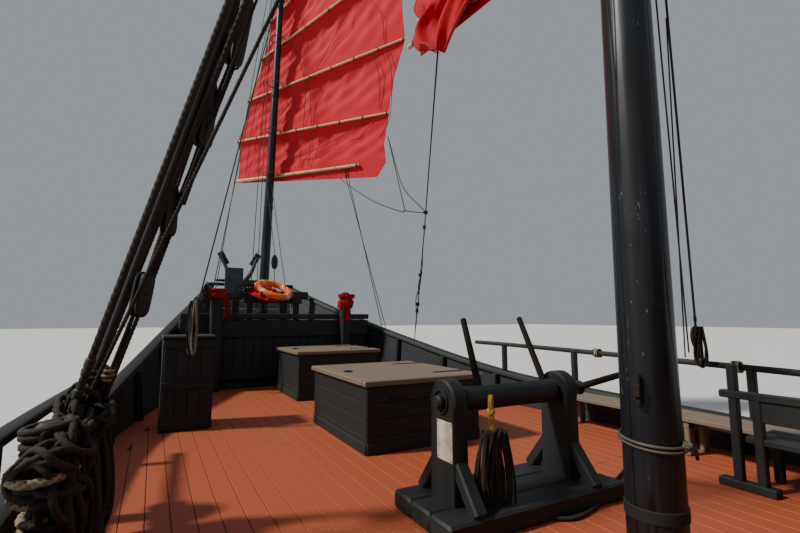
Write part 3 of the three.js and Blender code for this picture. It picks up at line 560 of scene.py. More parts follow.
class Finish:
    """One material: a Principled shader, and the nodes that feed it."""

    def __init__(self, name, constants=None):
        self.material = bpy.data.materials.new(name)
        self.material.use_nodes = True
        self.nodes = self.material.node_tree.nodes
        self.links = self.material.node_tree.links
        self.shader = next(node for node in self.nodes if node.type == "BSDF_PRINCIPLED")
        for socket, value in (constants or {}).items():
            self.shader.inputs[socket].default_value = value

    def node(self, kind, settings=None, values=None, output=0):
        """Adds a node of any type, applies its settings, then gives its sockets values or links."""
        node = self.nodes.new(kind)
        for key, value in (settings or {}).items():
            if key == "stops":
                while len(node.color_ramp.elements) < len(value):
                    node.color_ramp.elements.new(0.5)
                for element, (place, colour) in zip(node.color_ramp.elements, value):
                    element.position = place
                    element.color = (*colour, 1.0)
            else:
                setattr(node, key, value)
        for key, value in (values or {}).items():
            if isinstance(value, Wire):
                self.links.new(value.socket, node.inputs[key])
            else:
                node.inputs[key].default_value = value
        return Wire(self, node.outputs[output])

    def place(self):
        return self.node("ShaderNodeTexCoord", output="Object")

    def height(self):
        return self.node("ShaderNodeSeparateXYZ", None, {0: self.place()}, "Z")

    def tint(self):
        return self.node("ShaderNodeAttribute", {"attribute_name": "tint"}, output="Fac")

    def uv(self, name):
        """The two parts of a pair of metres that the mesh carries."""
        pair = self.node("ShaderNodeUVMap", {"uv_map": name})
        return [self.node("ShaderNodeSeparateXYZ", None, {0: pair}, part) for part in ("X", "Y")]

    def noise(self, scale, detail=3.0, stretch=(1.0, 1.0, 1.0)):
        """Noise over the object's own coordinates, from 0 to 1."""
        where = self.node("ShaderNodeVectorMath", {"operation": "MULTIPLY"}, {0: self.place(), 1: stretch})
        return self.texture(where, scale, detail)

    def texture(self, where, scale, detail):
        values = {"Vector": where, "Scale": scale, "Detail": detail}
        return self.node("ShaderNodeTexNoise", None, values, "Fac")

    def grain(self, across, along, detail=4.0):
        """Noise that runs along a piece, with so many waves in a metre, shifted by its tint."""
        around, down = self.uv("grain")
        tint = self.tint()
        where = {0: around * across + tint * 31.0, 1: down * along + tint * 17.0, 2: tint * 53.0}
        return self.texture(self.node("ShaderNodeCombineXYZ", None, where), 1.0, detail)

    def edge_depth(self):
        """How far a point lies from the nearest edge of its face, in metres."""
        offset, half = self.uv("edge")
        return half - offset.size()

    def ramp(self, value, *stops):
        return self.node("ShaderNodeValToRGB", {"stops": stops}, {"Fac": value})

    def mix(self, share, first, second):
        values = {0: share, 6: opaque(first), 7: opaque(second)}
        return self.node("ShaderNodeMix", {"data_type": "RGBA"}, values, 2)

    def finish(self, colour, roughness, height=None, depth=0.002, strength=0.6):
        """Feeds the colour and the roughness, and raises the surface by a height map."""
        self.feed("Base Color", opaque(colour))
        self.feed("Roughness", roughness)
        if height is not None:
            values = {"Height": height, "Distance": depth, "Strength": strength}
            self.feed("Normal", self.node("ShaderNodeBump", None, values, "Normal"))
        return self.material

    def feed(self, socket, value):
        if isinstance(value, Wire):
            self.links.new(value.socket, self.shader.inputs[socket])
        else:
            self.shader.inputs[socket].default_value = value


def opaque(colour):
    """A colour with its fourth part, or a wire as it is."""
    return colour if isinstance(colour, Wire) else (*colour[:3], 1.0)


def shaded(colour, factor):
    """A colour made darker or lighter by a factor."""
    return tuple(min(1.0, part * factor) for part in colour[:3])


def painted(name, colour, bare, rub, gloss):
    """Old paint on timber: bare wood along rubbed edges and in scratches, dust and brush marks."""
    made = Finish(name, {"Specular IOR Level": 0.28})
    patches = made.noise(1.6, 5.0)
    fine = made.grain(85.0, 5.0)
    scratch = made.grain(240.0, 2.2, 2.0)
    rubbed = (((patches + fine) * 1.3 - 0.95) * rub - made.edge_depth()) * (2.0 / rub)
    scored = ((scratch - 0.69) * 14.0).clamped() * ((patches - 0.5) * 9.0).clamped()
    worn = (rubbed.clamped() + scored).clamped() * 0.85
    shade = made.ramp(
        patches * 0.75 + made.tint() * 0.25,
        (0.3, shaded(colour, 0.6)), (0.52, colour), (0.75, shaded(colour, 1.9)),
    )
    wood = made.ramp(fine, (0.3, shaded(bare, 0.5)), (0.7, bare))
    rough = patches * 0.3 + worn * 0.25 + (gloss - 0.12)
    return made.finish(made.mix(worn, shade, wood), rough, fine * 0.7 - worn * 0.8 + scratch * 0.3, 0.0016)


def mast_paint(name, colour):
    """Glossy black paint on a pole: long cracks, faint brush lines and small pale chips."""
    made = Finish(name, {"Specular IOR Level": 0.4})
    patches = made.noise(2.4, 5.0)
    lines = made.grain(60.0, 1.2, 4.0)
    crack = (1.0 - (made.grain(5.5, 0.22, 2.0) - 0.5).size() * 70.0).clamped()
    chips = ((made.noise(52.0, 3.0, (1.0, 1.0, 0.4)) + patches * 0.25 - 0.83) * 22.0).clamped()
    shade = made.ramp(
        patches * 0.45 + lines * 0.55,
        (0.3, shaded(colour, 0.6)), (0.52, colour), (0.74, shaded(colour, 2.6)),
    )
    shade = made.mix(crack, shade, (0.001, 0.001, 0.001))
    shade = made.mix(chips * 0.7, shade, (0.10, 0.11, 0.105))
    rough = patches * 0.25 + lines * 0.12 + chips * 0.3 + 0.17
    return made.finish(shade, rough, lines * 0.7 - crack * 1.5 - chips * 0.8, 0.002)


def served_rope(name, dark, pale):
    """A tarred stay wound closely with thin cord, which leaves fine ridges round it."""
    made = Finish(name)
    _, down = made.uv("grain")
    ridge = ((down * 130.0).fraction() - 0.5).size()
    dirt = made.noise(9.0, 5.0)
    tone = made.ramp(dirt * 0.7 + ridge * 0.5, (0.3, dark), (0.8, pale))
    return made.finish(tone, dirt * 0.3 + 0.38, ridge * 1.4 + dirt * 0.4, 0.002)


def topside_paint(name, colour):
    """The side's paint above the water, salt and weed along the waterline, and red bottom paint."""
    made = Finish(name)
    patches = made.noise(1.1, 5.0)
    fine = made.grain(80.0, 4.0)
    streaks = made.noise(6.0, 4.0, (1.0, 1.0, 0.12))
    rub = 0.012
    rubbed = ((patches + fine - 0.85) * rub - made.edge_depth()) * (1.5 / rub)
    worn = rubbed.clamped() * 0.7
    shade = made.ramp(
        patches * 0.7 + made.tint() * 0.3,
        (0.3, shaded(colour, 0.65)), (0.5, colour), (0.75, shaded(colour, 1.8)),
    )
    shade = made.mix(worn, shade, (0.09, 0.07, 0.055))
    salt = ((streaks - 0.52) * 5.0).clamped() * 0.22
    shade = made.mix(salt, shade, (0.16, 0.17, 0.17))
    height = made.height()
    weed = (1.0 - (height - 0.02) * (1.0 / 0.22)).clamped() * (streaks * 1.2).clamped()
    shade = made.mix(weed * 0.7, shade, (0.035, 0.04, 0.022))
    below = ((patches * 0.02 - height) * 300.0 + 1.0).clamped()
    bottom = made.ramp(patches, (0.3, (0.10, 0.018, 0.012)), (0.7, (0.19, 0.035, 0.022)))
    rough = patches * 0.3 + 0.36 + below * 0.25
    return made.finish(made.mix(below, shade, bottom), rough, fine * 0.8 + patches * 0.4 - worn, 0.002)


def oiled_planks(name, colour, gloss):
    """Planks that differ in tone, with grain stripes, dark seams and a walked-on dullness."""
    made = Finish(name, {"Coat Roughness": 0.25, "Specular IOR Level": 0.14})
    stripes = made.grain(55.0, 1.6, 6.0)
    fine = made.grain(300.0, 7.0, 3.0)
    walked = made.noise(0.9, 5.0)
    tone = made.tint() * 0.52 + stripes * 0.48 + fine * 0.2
    wood = made.ramp(
        tone, (0.25, shaded(colour, 0.30)), (0.48, shaded(colour, 0.72)),
        (0.68, shaded(colour, 1.15)), (0.92, shaded(colour, 1.9)),
    )
    wood = made.mix(((walked - 0.55) * 4.0).clamped() * 0.35, wood, shaded(colour, 0.42))
    seam = (1.0 - made.edge_depth() * 160.0).clamped() * 0.75
    wood = made.mix(seam, wood, (0.02, 0.012, 0.008))
    rough = walked * 0.35 + (gloss - 0.15) + stripes * 0.1
    made.feed("Coat Weight", (0.62 - walked).clamped() * 0.22)
    return made.finish(wood, rough, fine * 0.5 + stripes * 0.6 - seam * 0.7, 0.0012, 0.5)


def weathered_planks(name, colour):
    """Bare wood gone grey in the sun: open grain, stains and paler rubbed edges."""
    made = Finish(name, {"Specular IOR Level": 0.12})
    stripes = made.grain(60.0, 1.8, 6.0)
    fine = made.grain(330.0, 8.0, 3.0)
    stains = made.noise(2.2, 5.0)
    tone = made.tint() * 0.3 + stripes * 0.45 + fine * 0.3
    wood = made.ramp(tone, (0.25, shaded(colour, 0.35)), (0.5, colour), (0.78, shaded(colour, 1.7)))
    wood = made.mix(((stains - 0.5) * 5.0).clamped() * 0.5, wood, shaded(colour, 0.3))
    rim = (1.0 - made.edge_depth() * 70.0).clamped() * (stains * 1.3 - 0.3).clamped() * 0.5
    wood = made.mix(rim, wood, shaded(colour, 2.0))
    return made.finish(wood, stains * 0.2 + 0.62, stripes * 0.8 + fine * 0.6, 0.0016)


def pole_wood(name, colour):
    """Pale poles with grain along them and weather stains."""
    made = Finish(name)
    stripes = made.grain(90.0, 1.4, 5.0)
    stains = made.noise(5.0, 5.0)
    tone = stripes * 0.6 + stains * 0.3 + made.tint() * 0.2
    wood = made.ramp(
        tone, (0.25, shaded(colour, 0.35)), (0.5, shaded(colour, 0.85)), (0.8, shaded(colour, 1.3)),
    )
    return made.finish(wood, stains * 0.25 + 0.4, stripes, 0.001)


def sailcloth(name, colour, seam_every, shade=1.0):
    """Matt woven cloth: sewn seams up the sail, faded patches and a weave."""
    colour = shaded(colour, shade)
    made = Finish(name, {"Sheen Weight": 0.06, "Specular IOR Level": 0.2})
    _, along = made.uv("grain")
    faded = made.noise(0.7, 5.0)
    fine = made.noise(90.0, 2.0)
    weave = made.texture(made.place(), 700.0, 1.0)
    side = ((along * (1.0 / seam_every)).fraction() - 0.5).size()
    seam = ((side - (0.5 - 0.018 / seam_every)) * (seam_every / 0.004)).clamped()
    tone = faded * 0.7 + fine * 0.3
    cloth = made.ramp(tone, (0.3, shaded(colour, 0.72)), (0.5, colour), (0.75, shaded(colour, 1.25)))
    cloth = made.mix(seam * 0.35, cloth, shaded(colour, 0.45))
    return made.finish(cloth, fine * 0.15 + 0.7, weave * 0.4 + seam * 1.2 + fine * 0.5, 0.0012, 0.5)


def laid_rope(name, colour, crown_wear_and_highlight):
    """Rope yarns: fibres along the strands, with painted shade in the lay's grooves and a paler crown that is
    partly wear and partly painted highlight.
    """
    made = Finish(name, {"Specular IOR Level": 0.14})
    fibres = made.grain(420.0, 130.0, 3.0)
    patches = made.noise(7.0, 4.0)
    tone = fibres * 0.35 + patches * 0.3 + made.tint() * 0.5
    # Painted shade: the grooves, at low tint, fall to a tenth of the colour; the crowns rise to the colour
    # times the last factor, partly wear and partly painted highlight
    fibre = made.ramp(
        tone, (0.42, shaded(colour, 0.10)), (0.58, shaded(colour, 0.8)), (0.74, shaded(colour, crown_wear_and_highlight)),
    )
    return made.finish(fibre, patches * 0.2 + 0.65, fibres, 0.0012, 0.8)


def metal(name, colour, metallic, rust):
    """Cast or forged metal: dull patches, pits and, where it is iron, rust."""
    made = Finish(name)
    patches = made.noise(14.0, 5.0)
    pits = made.noise(120.0, 3.0)
    spots = ((patches + pits * 0.4 - (1.0 - rust)) * 6.0).clamped()
    base = made.ramp(patches, (0.3, shaded(colour, 0.6)), (0.7, shaded(colour, 1.5)))
    made.feed("Metallic", metallic - spots * (0.8 * metallic))
    rough = patches * 0.3 + 0.3 + spots * 0.3
    return made.finish(made.mix(spots, base, (0.11, 0.035, 0.012)), rough, pits * 0.6 + spots * 0.5, 0.001)


def ring_skin(name, colour):
    """A life ring's faded skin: orange, with paler sun-bleached stretches and scuffs."""
    made = Finish(name)
    bands = made.noise(3.2, 3.0)
    scuffs = made.noise(40.0, 4.0)
    skin_colour = made.ramp(bands, (0.35, shaded(colour, 0.8)), (0.5, colour), (0.62, (0.78, 0.34, 0.06)))
    skin_colour = made.mix(((scuffs - 0.6) * 6.0).clamped() * 0.5, skin_colour, (0.25, 0.12, 0.07))
    return made.finish(skin_colour, scuffs * 0.3 + 0.38, scuffs, 0.0015)


def plain_stain(name, colour, roughness, scale):
    """Small fittings: one colour, broken by dirt and a fine roughness."""
    made = Finish(name)
    dirt = made.noise(scale, 5.0)
    fine = made.noise(scale * 12.0, 2.0)
    tone = made.ramp(dirt, (0.3, shaded(colour, 0.55)), (0.6, colour), (0.8, shaded(colour, 1.2)))
    return made.finish(tone, fine * 0.15 + (roughness - 0.07), fine + dirt * 0.5, 0.001)


def window_glass(name, clear, salted):
    """Salted window glass: clear where it is wiped, dull with spray elsewhere."""
    made = Finish(name, {"Transmission Weight": 0.9, "IOR": 1.45})
    spray = made.noise(9.0, 5.0)
    return made.finish(made.ramp(spray, (0.4, clear), (0.7, salted)), spray * 0.25 + 0.03)


def studio_floor():
    """A pale matt floor with a faint cloudiness."""
    made = Finish("studio_floor")
    cloud = made.noise(0.25, 3.0)
    return made.finish(made.ramp(cloud, (0.3, (0.60, 0.61, 0.61)), (0.7, (0.66, 0.66, 0.65))), 0.8)


# Each finish: its maker, a colour or the name of one of the add-on's colours, and what else it needs
FINISHES = {
    "topside_paint": (topside_paint, "topsides"),
    "black_paint": (painted, "timbers", (0.14, 0.11, 0.085), 0.010, 0.46),
    "mast_paint": (mast_paint, "timbers"),
    "served_rope": (served_rope, (0.003, 0.004, 0.005), (0.022, 0.024, 0.026)),
    "deck_wood": (oiled_planks, "deck", 0.46),
    "worn_wood": (weathered_planks, (0.045, 0.040, 0.029)),
    "spike_wood": (weathered_planks, (0.018, 0.014, 0.012)),
    "seam_pitch": (plain_stain, (0.006, 0.006, 0.006), 0.7, 6.0),
    "batten_wood": (pole_wood, "poles"),
    "sail_red": (sailcloth, "sails", 0.62),
    # The sails' cloth at 0.55 of its colour: painted shade on the bunched flap at the mainsail's luff, and a
    # darker red for the cloths at the bow
    "bundle_red": (sailcloth, "sails", 5.0, 0.55),
    # Each rope's last number is how much paler its strands' crowns are painted, partly wear and partly
    # painted highlight
    "rope_dark": (laid_rope, (0.017, 0.0165, 0.015), 9.0),
    "rope_pale": (laid_rope, (0.26, 0.21, 0.14), 1.9),
    "rope_grey": (laid_rope, (0.075, 0.070, 0.060), 2.6),
    "rope_yellow": (laid_rope, (0.62, 0.36, 0.05), 1.4),
    "ring_orange": (ring_skin, "ring"),
    "iron": (metal, (0.035, 0.035, 0.037), 0.75, 0.33),
    "bronze": (metal, (0.40, 0.22, 0.08), 0.95, 0.05),
    "pale_board": (plain_stain, (0.62, 0.58, 0.47), 0.6, 14.0),
    "blue_board": (plain_stain, (0.035, 0.065, 0.085), 0.6, 5.0),
    "glass": (window_glass, (0.5, 0.6, 0.6), (0.75, 0.8, 0.8)),
}


def finish(name):
    """A material by its name, made when it is first asked for."""
    made = bpy.data.materials.get(name)
    if made is None:
        maker, colour, *rest = FINISHES[name]
        if isinstance(colour, str):
            colour = tuple(getattr(bpy.context.scene.junk_colours, colour))
        made = maker(name, colour, *rest)
    return made


# Hull

STRAKE = 0.19
STRAKES = 18
STRAKE_FOOT = -0.12
PLANK_CUT = 0.006
WALE_HEIGHTS = (0.62, 0.80)
WALE_PROUD = 0.095


def underwater(place, z):
    """Half the breadth below the waterline, on a quarter ellipse from the keel's edge up."""
    keel = column("keel", place)
    bottom = column("bottom", place)
    rise = np.sqrt(np.clip(1 - (z / keel) ** 2, 0, 1))
    return bottom + (column("water", place) - bottom) * rise


def shell(place, z, inset=0.0):
    """Points on the starboard side, above and below the waterline."""
    z = np.asarray(z, float)
    points = skin(place, z, inset)
    below = np.broadcast_to(z < 0, points.shape[:-1])
    points[..., 0] = np.where(below, underwater(place, z) - inset, points[..., 0])
    return points


def lengths(start, end, long, generator, gap=0.003):
    """Splits a stretch into pieces of about a length, with gaps between them."""
    count = max(1, int(round((end - start) / long)))
    shares = (np.arange(1, count) + generator.uniform(-0.3, 0.3, count - 1)) / count
    cuts = start + (end - start) * shares
    edges = np.concatenate([[start], cuts, [end]])
    return pairs(edges, gap / 2)


def side_run(form, side, runs, section, flats, tint, stations=14):
    """Adds timbers that follow the ship's side between slices.

    section gives, for an array of slices, the heights and insets of the corners.
    """
    runs = np.asarray(runs, float)
    s = runs[:, :1] + (runs[:, 1:2] - runs[:, :1]) * np.linspace(0, 1, stations)
    z, inset = section(s)
    points = shell(s[..., None], z, inset)
    points[..., 0] *= side
    lofts(form, points, flats, tint)


def plank_corners(low, high, thick, out=0.0, cut=PLANK_CUT):
    """Heights and insets of a plank's eight corners, its seam edges chamfered."""
    z = np.stack([low, low, low + cut, high - cut, high, high, high - cut, low + cut], -1)
    inset = np.array([thick - cut, cut, 0, 0, cut, thick - cut, thick, thick]) + out
    return z, np.broadcast_to(inset, z.shape)


def side_planks(form, side, rows, line, thick, seed, bottom=-np.inf):
    """Adds planks between height lines. A row is a start, an end, and its lower and upper lines."""
    rows = np.asarray(rows, float)
    tint = np.random.default_rng(seed).random(len(rows))

    def section(s):
        low = np.maximum(line(s, rows[:, 2:3]), bottom) + SEAM / 2
        high = np.maximum(line(s, rows[:, 3:4]) - SEAM / 2, low + 0.03)
        return plank_corners(low, high, thick)

    side_run(form, side, rows[:, :2], section, PLANK_FLATS, tint)


def sheer_line(s, k):
    """The height of the k-th strake's upper edge, counted down from the bulwark's top."""
    return column("bulwark", s) - k * STRAKE


def topside_rows(generator):
    """The strakes' planks: each strake where it lies above the planking's foot, cut into lengths."""
    slices = np.linspace(STERN, BOW, 600)
    rows = []
    for k in range(STRAKES):
        above = sheer_line(slices, k) > STRAKE_FOOT + 0.06
        edges = np.flatnonzero(np.diff(np.concatenate([[0], above.astype(int), [0]])))
        for first, last in edges.reshape(-1, 2):
            if last - first > 12:
                ends = lengths(slices[first], slices[last - 1], 4.2, generator)
                rows += [(a, b, k + 1, k) for a, b in ends]
    return rows


def hull_rings(slices, inset):
    """Rings round the hull below the deck; above its bilge they lie inside the planks."""
    angles = np.linspace(0, 1, 12)
    keel = column("keel", slices)[:, None]
    stop = np.arccos(np.clip(STRAKE_FOOT / keel, -1, 1))
    z = keel * np.cos(angles * stop)
    low = shell(slices[:, None], z)
    heights = np.array([STRAKE_FOOT, 0.0, 0.3, 0.62, DECK - PLANK])
    high = shell(slices[:, None], heights[None], inset)
    half = np.concatenate([low, high], 1)
    return np.concatenate([half, mirrored(half[:, ::-1])], 1)


def make_hull():
    """The hull's body, and on each side its planks, wale, cap rail and stanchions."""
    generator = np.random.default_rng(11)
    form = Form()
    lofts(form, hull_rings(np.linspace(STERN, BOW, 48), PLANK - 0.004), (), 0.5)
    form.build("hull_body", "topside_paint", replaced=("hull",), angle=38)
    for name, side in SIDES:
        form = Form()
        side_planks(form, side, topside_rows(generator), sheer_line, PLANK, 21, STRAKE_FOOT)
        form.build(f"topside_planks_{name}", "topside_paint", replaced=(f"bulwark_{name}",))
        make_wale(name, side, generator)
        make_cap(name, side, generator)
        make_stanchions(name, side)
    make_bow_face()
    make_forecastle()
    make_transom()


def make_wale(name, side, generator):
    """A thick rubbing timber along the side, in butted lengths, with a row of bolts' heads."""
    form = Form()
    foot, head = WALE_HEIGHTS
    runs = lengths(STERN, BOW, 4.0, generator)

    def section(s):
        low = np.full(s.shape, foot)
        return plank_corners(low, low + head - foot, WALE_PROUD, -WALE_PROUD, 0.022)

    side_run(form, side, runs, section, PLANK_FLATS, generator.random(len(runs)), 20)
    middle = (foot + head) / 2
    s = np.arange(STERN + 0.3, BOW - 0.2, 0.45)
    seat = shell(s, np.full(len(s), middle), -WALE_PROUD) * np.array([side, 1, 1])
    studs(form, seat, (side, 0, 0), 0.022, 0.014)
    form.build(f"wale_timber_{name}", "black_paint iron", replaced=(f"wale_{name}",))


def studs(form, seats, outward, radius, height):
    """Adds domed bolt heads: rings whose radius falls as a quarter circle along the outward way."""
    seats = np.asarray(seats, float)
    outward = unit(np.asarray(outward, float))
    outward = np.broadcast_to(outward, seats.shape)
    axis = np.eye(3)[np.argmin(np.abs(outward).max(0))]
    side = unit(np.cross(outward, axis))
    above = np.cross(side, outward)
    angle = circle_angles(10)
    rise = np.array([-0.2, 0.0, 0.45, 0.8, 1.0])
    reach = np.array([1.0, 1.0, 0.9, 0.6, 0.15])
    circle = np.cos(angle)[:, None] * side[:, None] + np.sin(angle)[:, None] * above[:, None]
    rings = (seats[:, None, None] + outward[:, None, None] * (rise * height)[None, :, None, None]
             + circle[:, None] * (reach * radius)[None, :, None, None])
    lofts(form, rings, (), 0.5, 1)


CAP_FLATS = (0, 3, 6)


def cap_section(line):
    """The section of a cap rail that lies on one of the hull's lines, its upper edges rounded."""
    out = (PLANK - CAP_WIDE) / 2

    def section(s):
        foot = column(line, s)[..., None] + 0.001
        z = foot + np.array([0, 0.04, 0.062, CAP_THICK, CAP_THICK, 0.062, 0.04, 0])
        inset = out + np.array([0, 0, 0.009, 0.03, CAP_WIDE - 0.03, CAP_WIDE - 0.009, CAP_WIDE, CAP_WIDE])
        return z, np.broadcast_to(inset, z.shape)

    return section


def make_cap(name, side, generator):
    """The bulwark's cap rail in lengths, its upper edges rounded."""
    form = Form()
    runs = lengths(slice_at(CABIN_Y, 1.4), BOW, 3.6, generator)
    side_run(form, side, runs, cap_section("bulwark"), CAP_FLATS, generator.random(len(runs)), 16)
    form.build(f"cap_timber_{name}", "black_paint", replaced=(f"cap_rail_{name}",))


STANCHION_STEP = 1.05


def make_stanchions(name, side):
    """Upright timbers inside the bulwark, from the deck to the cap rail."""
    form = Form()
    s = np.arange(CABIN_Y + 0.6, BREAK_Y - 0.4, STANCHION_STEP)
    foot = skin(s, np.full(len(s), DECK + 0.002), PLANK + 0.041) * np.array([side, 1, 1])
    top = column("bulwark", s) - 0.001
    head = skin(s, top, PLANK + 0.041) * np.array([side, 1, 1])
    timbers(form, [(a, b, 0.075, 0.08) for a, b in zip(foot, head)], 0.01, (side, 0, 0), seed=31)
    form.build(f"stanchions_{name}", "topside_paint")


def cross_rows(form, slice_y, levels, inset, thick, face, holes, seed):
    """Adds boards across the ship in a raked plane, one for each pair of levels, leaving out holes.

    A board's section is a chamfered rectangle whose top and bottom follow the rake, carried from
    port to starboard. face is the distance of its after side from the slice's plane.
    """
    generator = np.random.default_rng(seed)
    rake = float(column("rake", slice_y))
    rings = []
    for low, high in pairs(levels, SEAM / 2):
        reach_low = float(half_breadth(slice_y, low)) - inset
        reach_high = float(half_breadth(slice_y, high)) - inset
        cuts = [(-np.inf, np.inf)]
        for x0, x1, z0, z1 in holes:
            if low < z1 - 0.01 and high > z0 + 0.01:
                cuts = [part for a, b in cuts for part in ((a, min(b, x0)), (max(a, x1), b))]
        cuts = [(a, b) for a, b in cuts if b - a > 0.02]
        corners = chamfered(np.array(thick), np.array(high - low), PLANK_CUT)
        z = corners[:, 1] + (low + high) / 2
        y = slice_y + rake * z + face + thick / 2 + corners[:, 0]
        reach = reach_low + (reach_high - reach_low) * (z - low) / (high - low)
        for a, b in cuts:
            ends = [np.clip(np.full(8, edge), -reach, reach) for edge in (a, b)]
            if (ends[1] - ends[0]).min() > 0.02:
                rings.append(np.stack([np.stack([x, y, z], -1) for x in ends]))
    lofts(form, np.array(rings), CHAMFERED_FLATS, generator.random(len(rings)))


def make_bow_face():
    """Boards across the blunt bow, from below the waterline to the rail, and a cap on top."""
    form = Form()
    levels = np.arange(STRAKE_FOOT, 3.08, 0.2)
    cross_rows(form, BOW, levels, 0.002, 0.05, 0.002, (), 41)
    top = skin(BOW, 3.035)
    timbers(form, [bar(-top[0] - 0.03, top[0] + 0.03, top[1] - 0.02, 3.075, 0.17, 0.07)], 0.012, seed=42)
    form.build("bow_planks", "topside_paint", replaced=("bow_board",))


def make_forecastle():
    """The forecastle's after wall of upright boards, its core, and the breast beam across it."""
    form = Form()
    s = np.linspace(slice_at(BREAK_Y + 0.06, 1.5), BOW, 10)
    heights = np.array([DECK - 0.058, FOREDECK - 0.062])
    half = shell(s[:, None], heights[None], PLANK - 0.003)
    lofts(form, np.concatenate([half, mirrored(half[:, ::-1])], 1), (), 0.5, 1)
    half_wide = float(half_breadth(slice_at(BREAK_Y, 1.5), 1.3)) - PLANK - 0.01
    edges = np.linspace(-half_wide, half_wide, 21)
    head = BREAST["foot"] + 0.02
    boards = [(a, b, BREAK_Y, BREAK_Y + 0.05, DECK - 0.05, head) for a, b in pairs(edges, 0.002)]
    blocks(form, boards, 0.005, seed=43)
    y = BREAK_Y + (BREAST["fore"] - BREAST["aft"]) / 2
    z = (BREAST["foot"] + BREAST["head"]) / 2
    wide = BREAST["fore"] + BREAST["aft"]
    half = BREAST["half"]
    beams = [
        bar(-half, half, y, z - 0.06, wide, 0.31),
        bar(-half, half, y, BREAST["head"] - 0.05, wide + 0.05, 0.1),
        bar(-half_wide, half_wide, BREAK_Y - 0.03, 1.22, 0.06, 0.12),
    ]
    timbers(form, beams, 0.012, seed=44)
    form.build("forecastle_wall", "black_paint seam_pitch", slot="topside_paint", replaced=("forecastle",))


STERN_WINDOWS = (-0.75, 0.75)
WINDOW = {"long": 0.62, "foot": 1.95, "head": 2.42}
WINDOW_MIDDLE = (WINDOW["foot"] + WINDOW["head"]) / 2
WINDOW_TALL = WINDOW["head"] - WINDOW["foot"]


def make_transom():
    """The raked stern wall of boards with two windows in it, and mouldings above and below them."""
    form = Form()
    rake = float(column("rake", STERN))
    top = float(column("quarter", STERN)) + CAP_THICK
    levels = np.concatenate([
        np.linspace(DECK - 0.06, WINDOW["foot"], 6), np.linspace(WINDOW["foot"], WINDOW["head"], 4)[1:],
        np.linspace(WINDOW["head"], top, 8)[1:],
    ])
    holes = [(x - 0.3, x + 0.3, WINDOW["foot"], WINDOW["head"]) for x in STERN_WINDOWS]
    cross_rows(form, STERN, levels, PLANK + 0.046, 0.06, 0.0, holes, 51)
    low = np.arange(STRAKE_FOOT, DECK - 0.06, 0.21)
    cross_rows(form, STERN, low, 0.002, 0.03, -0.031, (), 52)
    for z in (1.80, 2.62):
        reach = float(half_breadth(STERN, z)) - 0.11
        y = STERN + rake * z - 0.015
        timbers(form, [bar(-reach, reach, y, z, 0.03, 0.09)], 0.008, seed=53)
    form.build("transom_planks", "topside_paint", replaced=("transom",))
    windows = Form()
    for x in STERN_WINDOWS:
        middle = (x, STERN + rake * WINDOW_MIDDLE + 0.02, WINDOW_MIDDLE)
        window_frame(windows, middle, WAY_X, (0, rake, 1), 0.6, WINDOW_TALL)
    windows.build("stern_windows", "worn_wood glass")


def window_frame(form, middle, along, upward, wide, tall):
    """A casing round a window, a cross of glazing bars and a pane, in the plane of two directions."""
    along = unit(np.asarray(along, float))
    upward = unit(np.asarray(upward, float))
    across = np.cross(along, upward)
    middle = np.asarray(middle, float)
    board, overlap = 0.07, 0.012
    sides = ((along, upward, wide / 2, tall / 2), (upward, along, tall / 2, wide / 2))
    rows = []
    for way, other, reach, rise in sides:
        end = way * (reach + board - overlap)
        for sign in (-1, 1):
            at = middle + other * sign * (rise + board / 2 - overlap)
            rows.append((at - end, at + end, board, 0.1))
    bars = [(middle - along * wide / 2, middle + along * wide / 2, 0.022, 0.03),
            (middle - upward * tall / 2, middle + upward * tall / 2, 0.022, 0.03)]
    timbers(form, rows[:2], 0.006, across, seed=3)
    timbers(form, rows[2:], 0.006, across, seed=4)
    timbers(form, bars, 0.004, across, seed=5)
    pane = (middle - along * (wide / 2 - 0.002), middle + along * (wide / 2 - 0.002), tall - 0.004, 0.005)
    timbers(form, [pane], 0.001, across, material=1, seed=6)


# Decks

DECK_EDGE = 0.068
WATERWAY = 0.13


def deck_planks(form, z, y0, y1, edge, width, generator):
    """Lays planks fore and aft between two places, clipped to the margin, in butted lengths."""
    y = np.linspace(y0, y1, 500)
    reach = half_breadth(slice_at(y, z), z) - edge - WATERWAY
    widest = reach.max()
    count = int(2 * widest / width)
    middles = (np.arange(count) - (count - 1) / 2) * width
    rows = []
    for x in middles:
        inside = np.flatnonzero(reach > abs(x) + width / 2)
        if len(inside) > 30:
            for a, b in lengths(y[inside[0]], y[inside[-1]], 3.1, generator):
                rows.append(run(x, a, b, z - 0.021, width - SEAM, 0.042))
    timbers(form, rows, 0.003, tint=generator.random(len(rows)))


def deck_margin(form, z, s0, s1, edge, generator):
    """A margin plank that follows the side, and the dark bed under the planks."""
    for side in (-1, 1):
        runs = lengths(s0, s1, 3.4, generator)

        def section(s):
            corners = chamfered(np.array(WATERWAY + 0.1), np.array(0.044), 0.004)
            height = z - 0.023 + corners[:, 1]
            inset = edge + (WATERWAY + 0.1) / 2 - corners[:, 0]
            shape = (*s.shape, 8)
            return np.broadcast_to(height, shape), np.broadcast_to(inset, shape)

        side_run(form, side, runs, section, CHAMFERED_FLATS, generator.random(len(runs)), 12)
    s = np.linspace(s0, s1, 24)
    half = skin(s[:, None], np.array([z - 0.059, z - 0.014])[None], edge + 0.004)
    lofts(form, np.concatenate([half, mirrored(half[:, ::-1])], 1), (), 0.5, 1)


# Decks: the piece, the planks' top, the after and fore ends, and the margin's distance inside the side
DECK_ROWS = [
    ("main_deck", DECK, -9.0, BREAK_Y - 0.01, DECK_EDGE),
    ("foredeck", FOREDECK, BREAK_Y + 0.065, 9.2, DECK_EDGE + 0.045),
    ("poop_deck", POOP, -9.6, CABIN_Y + 0.11, DECK_EDGE),
]


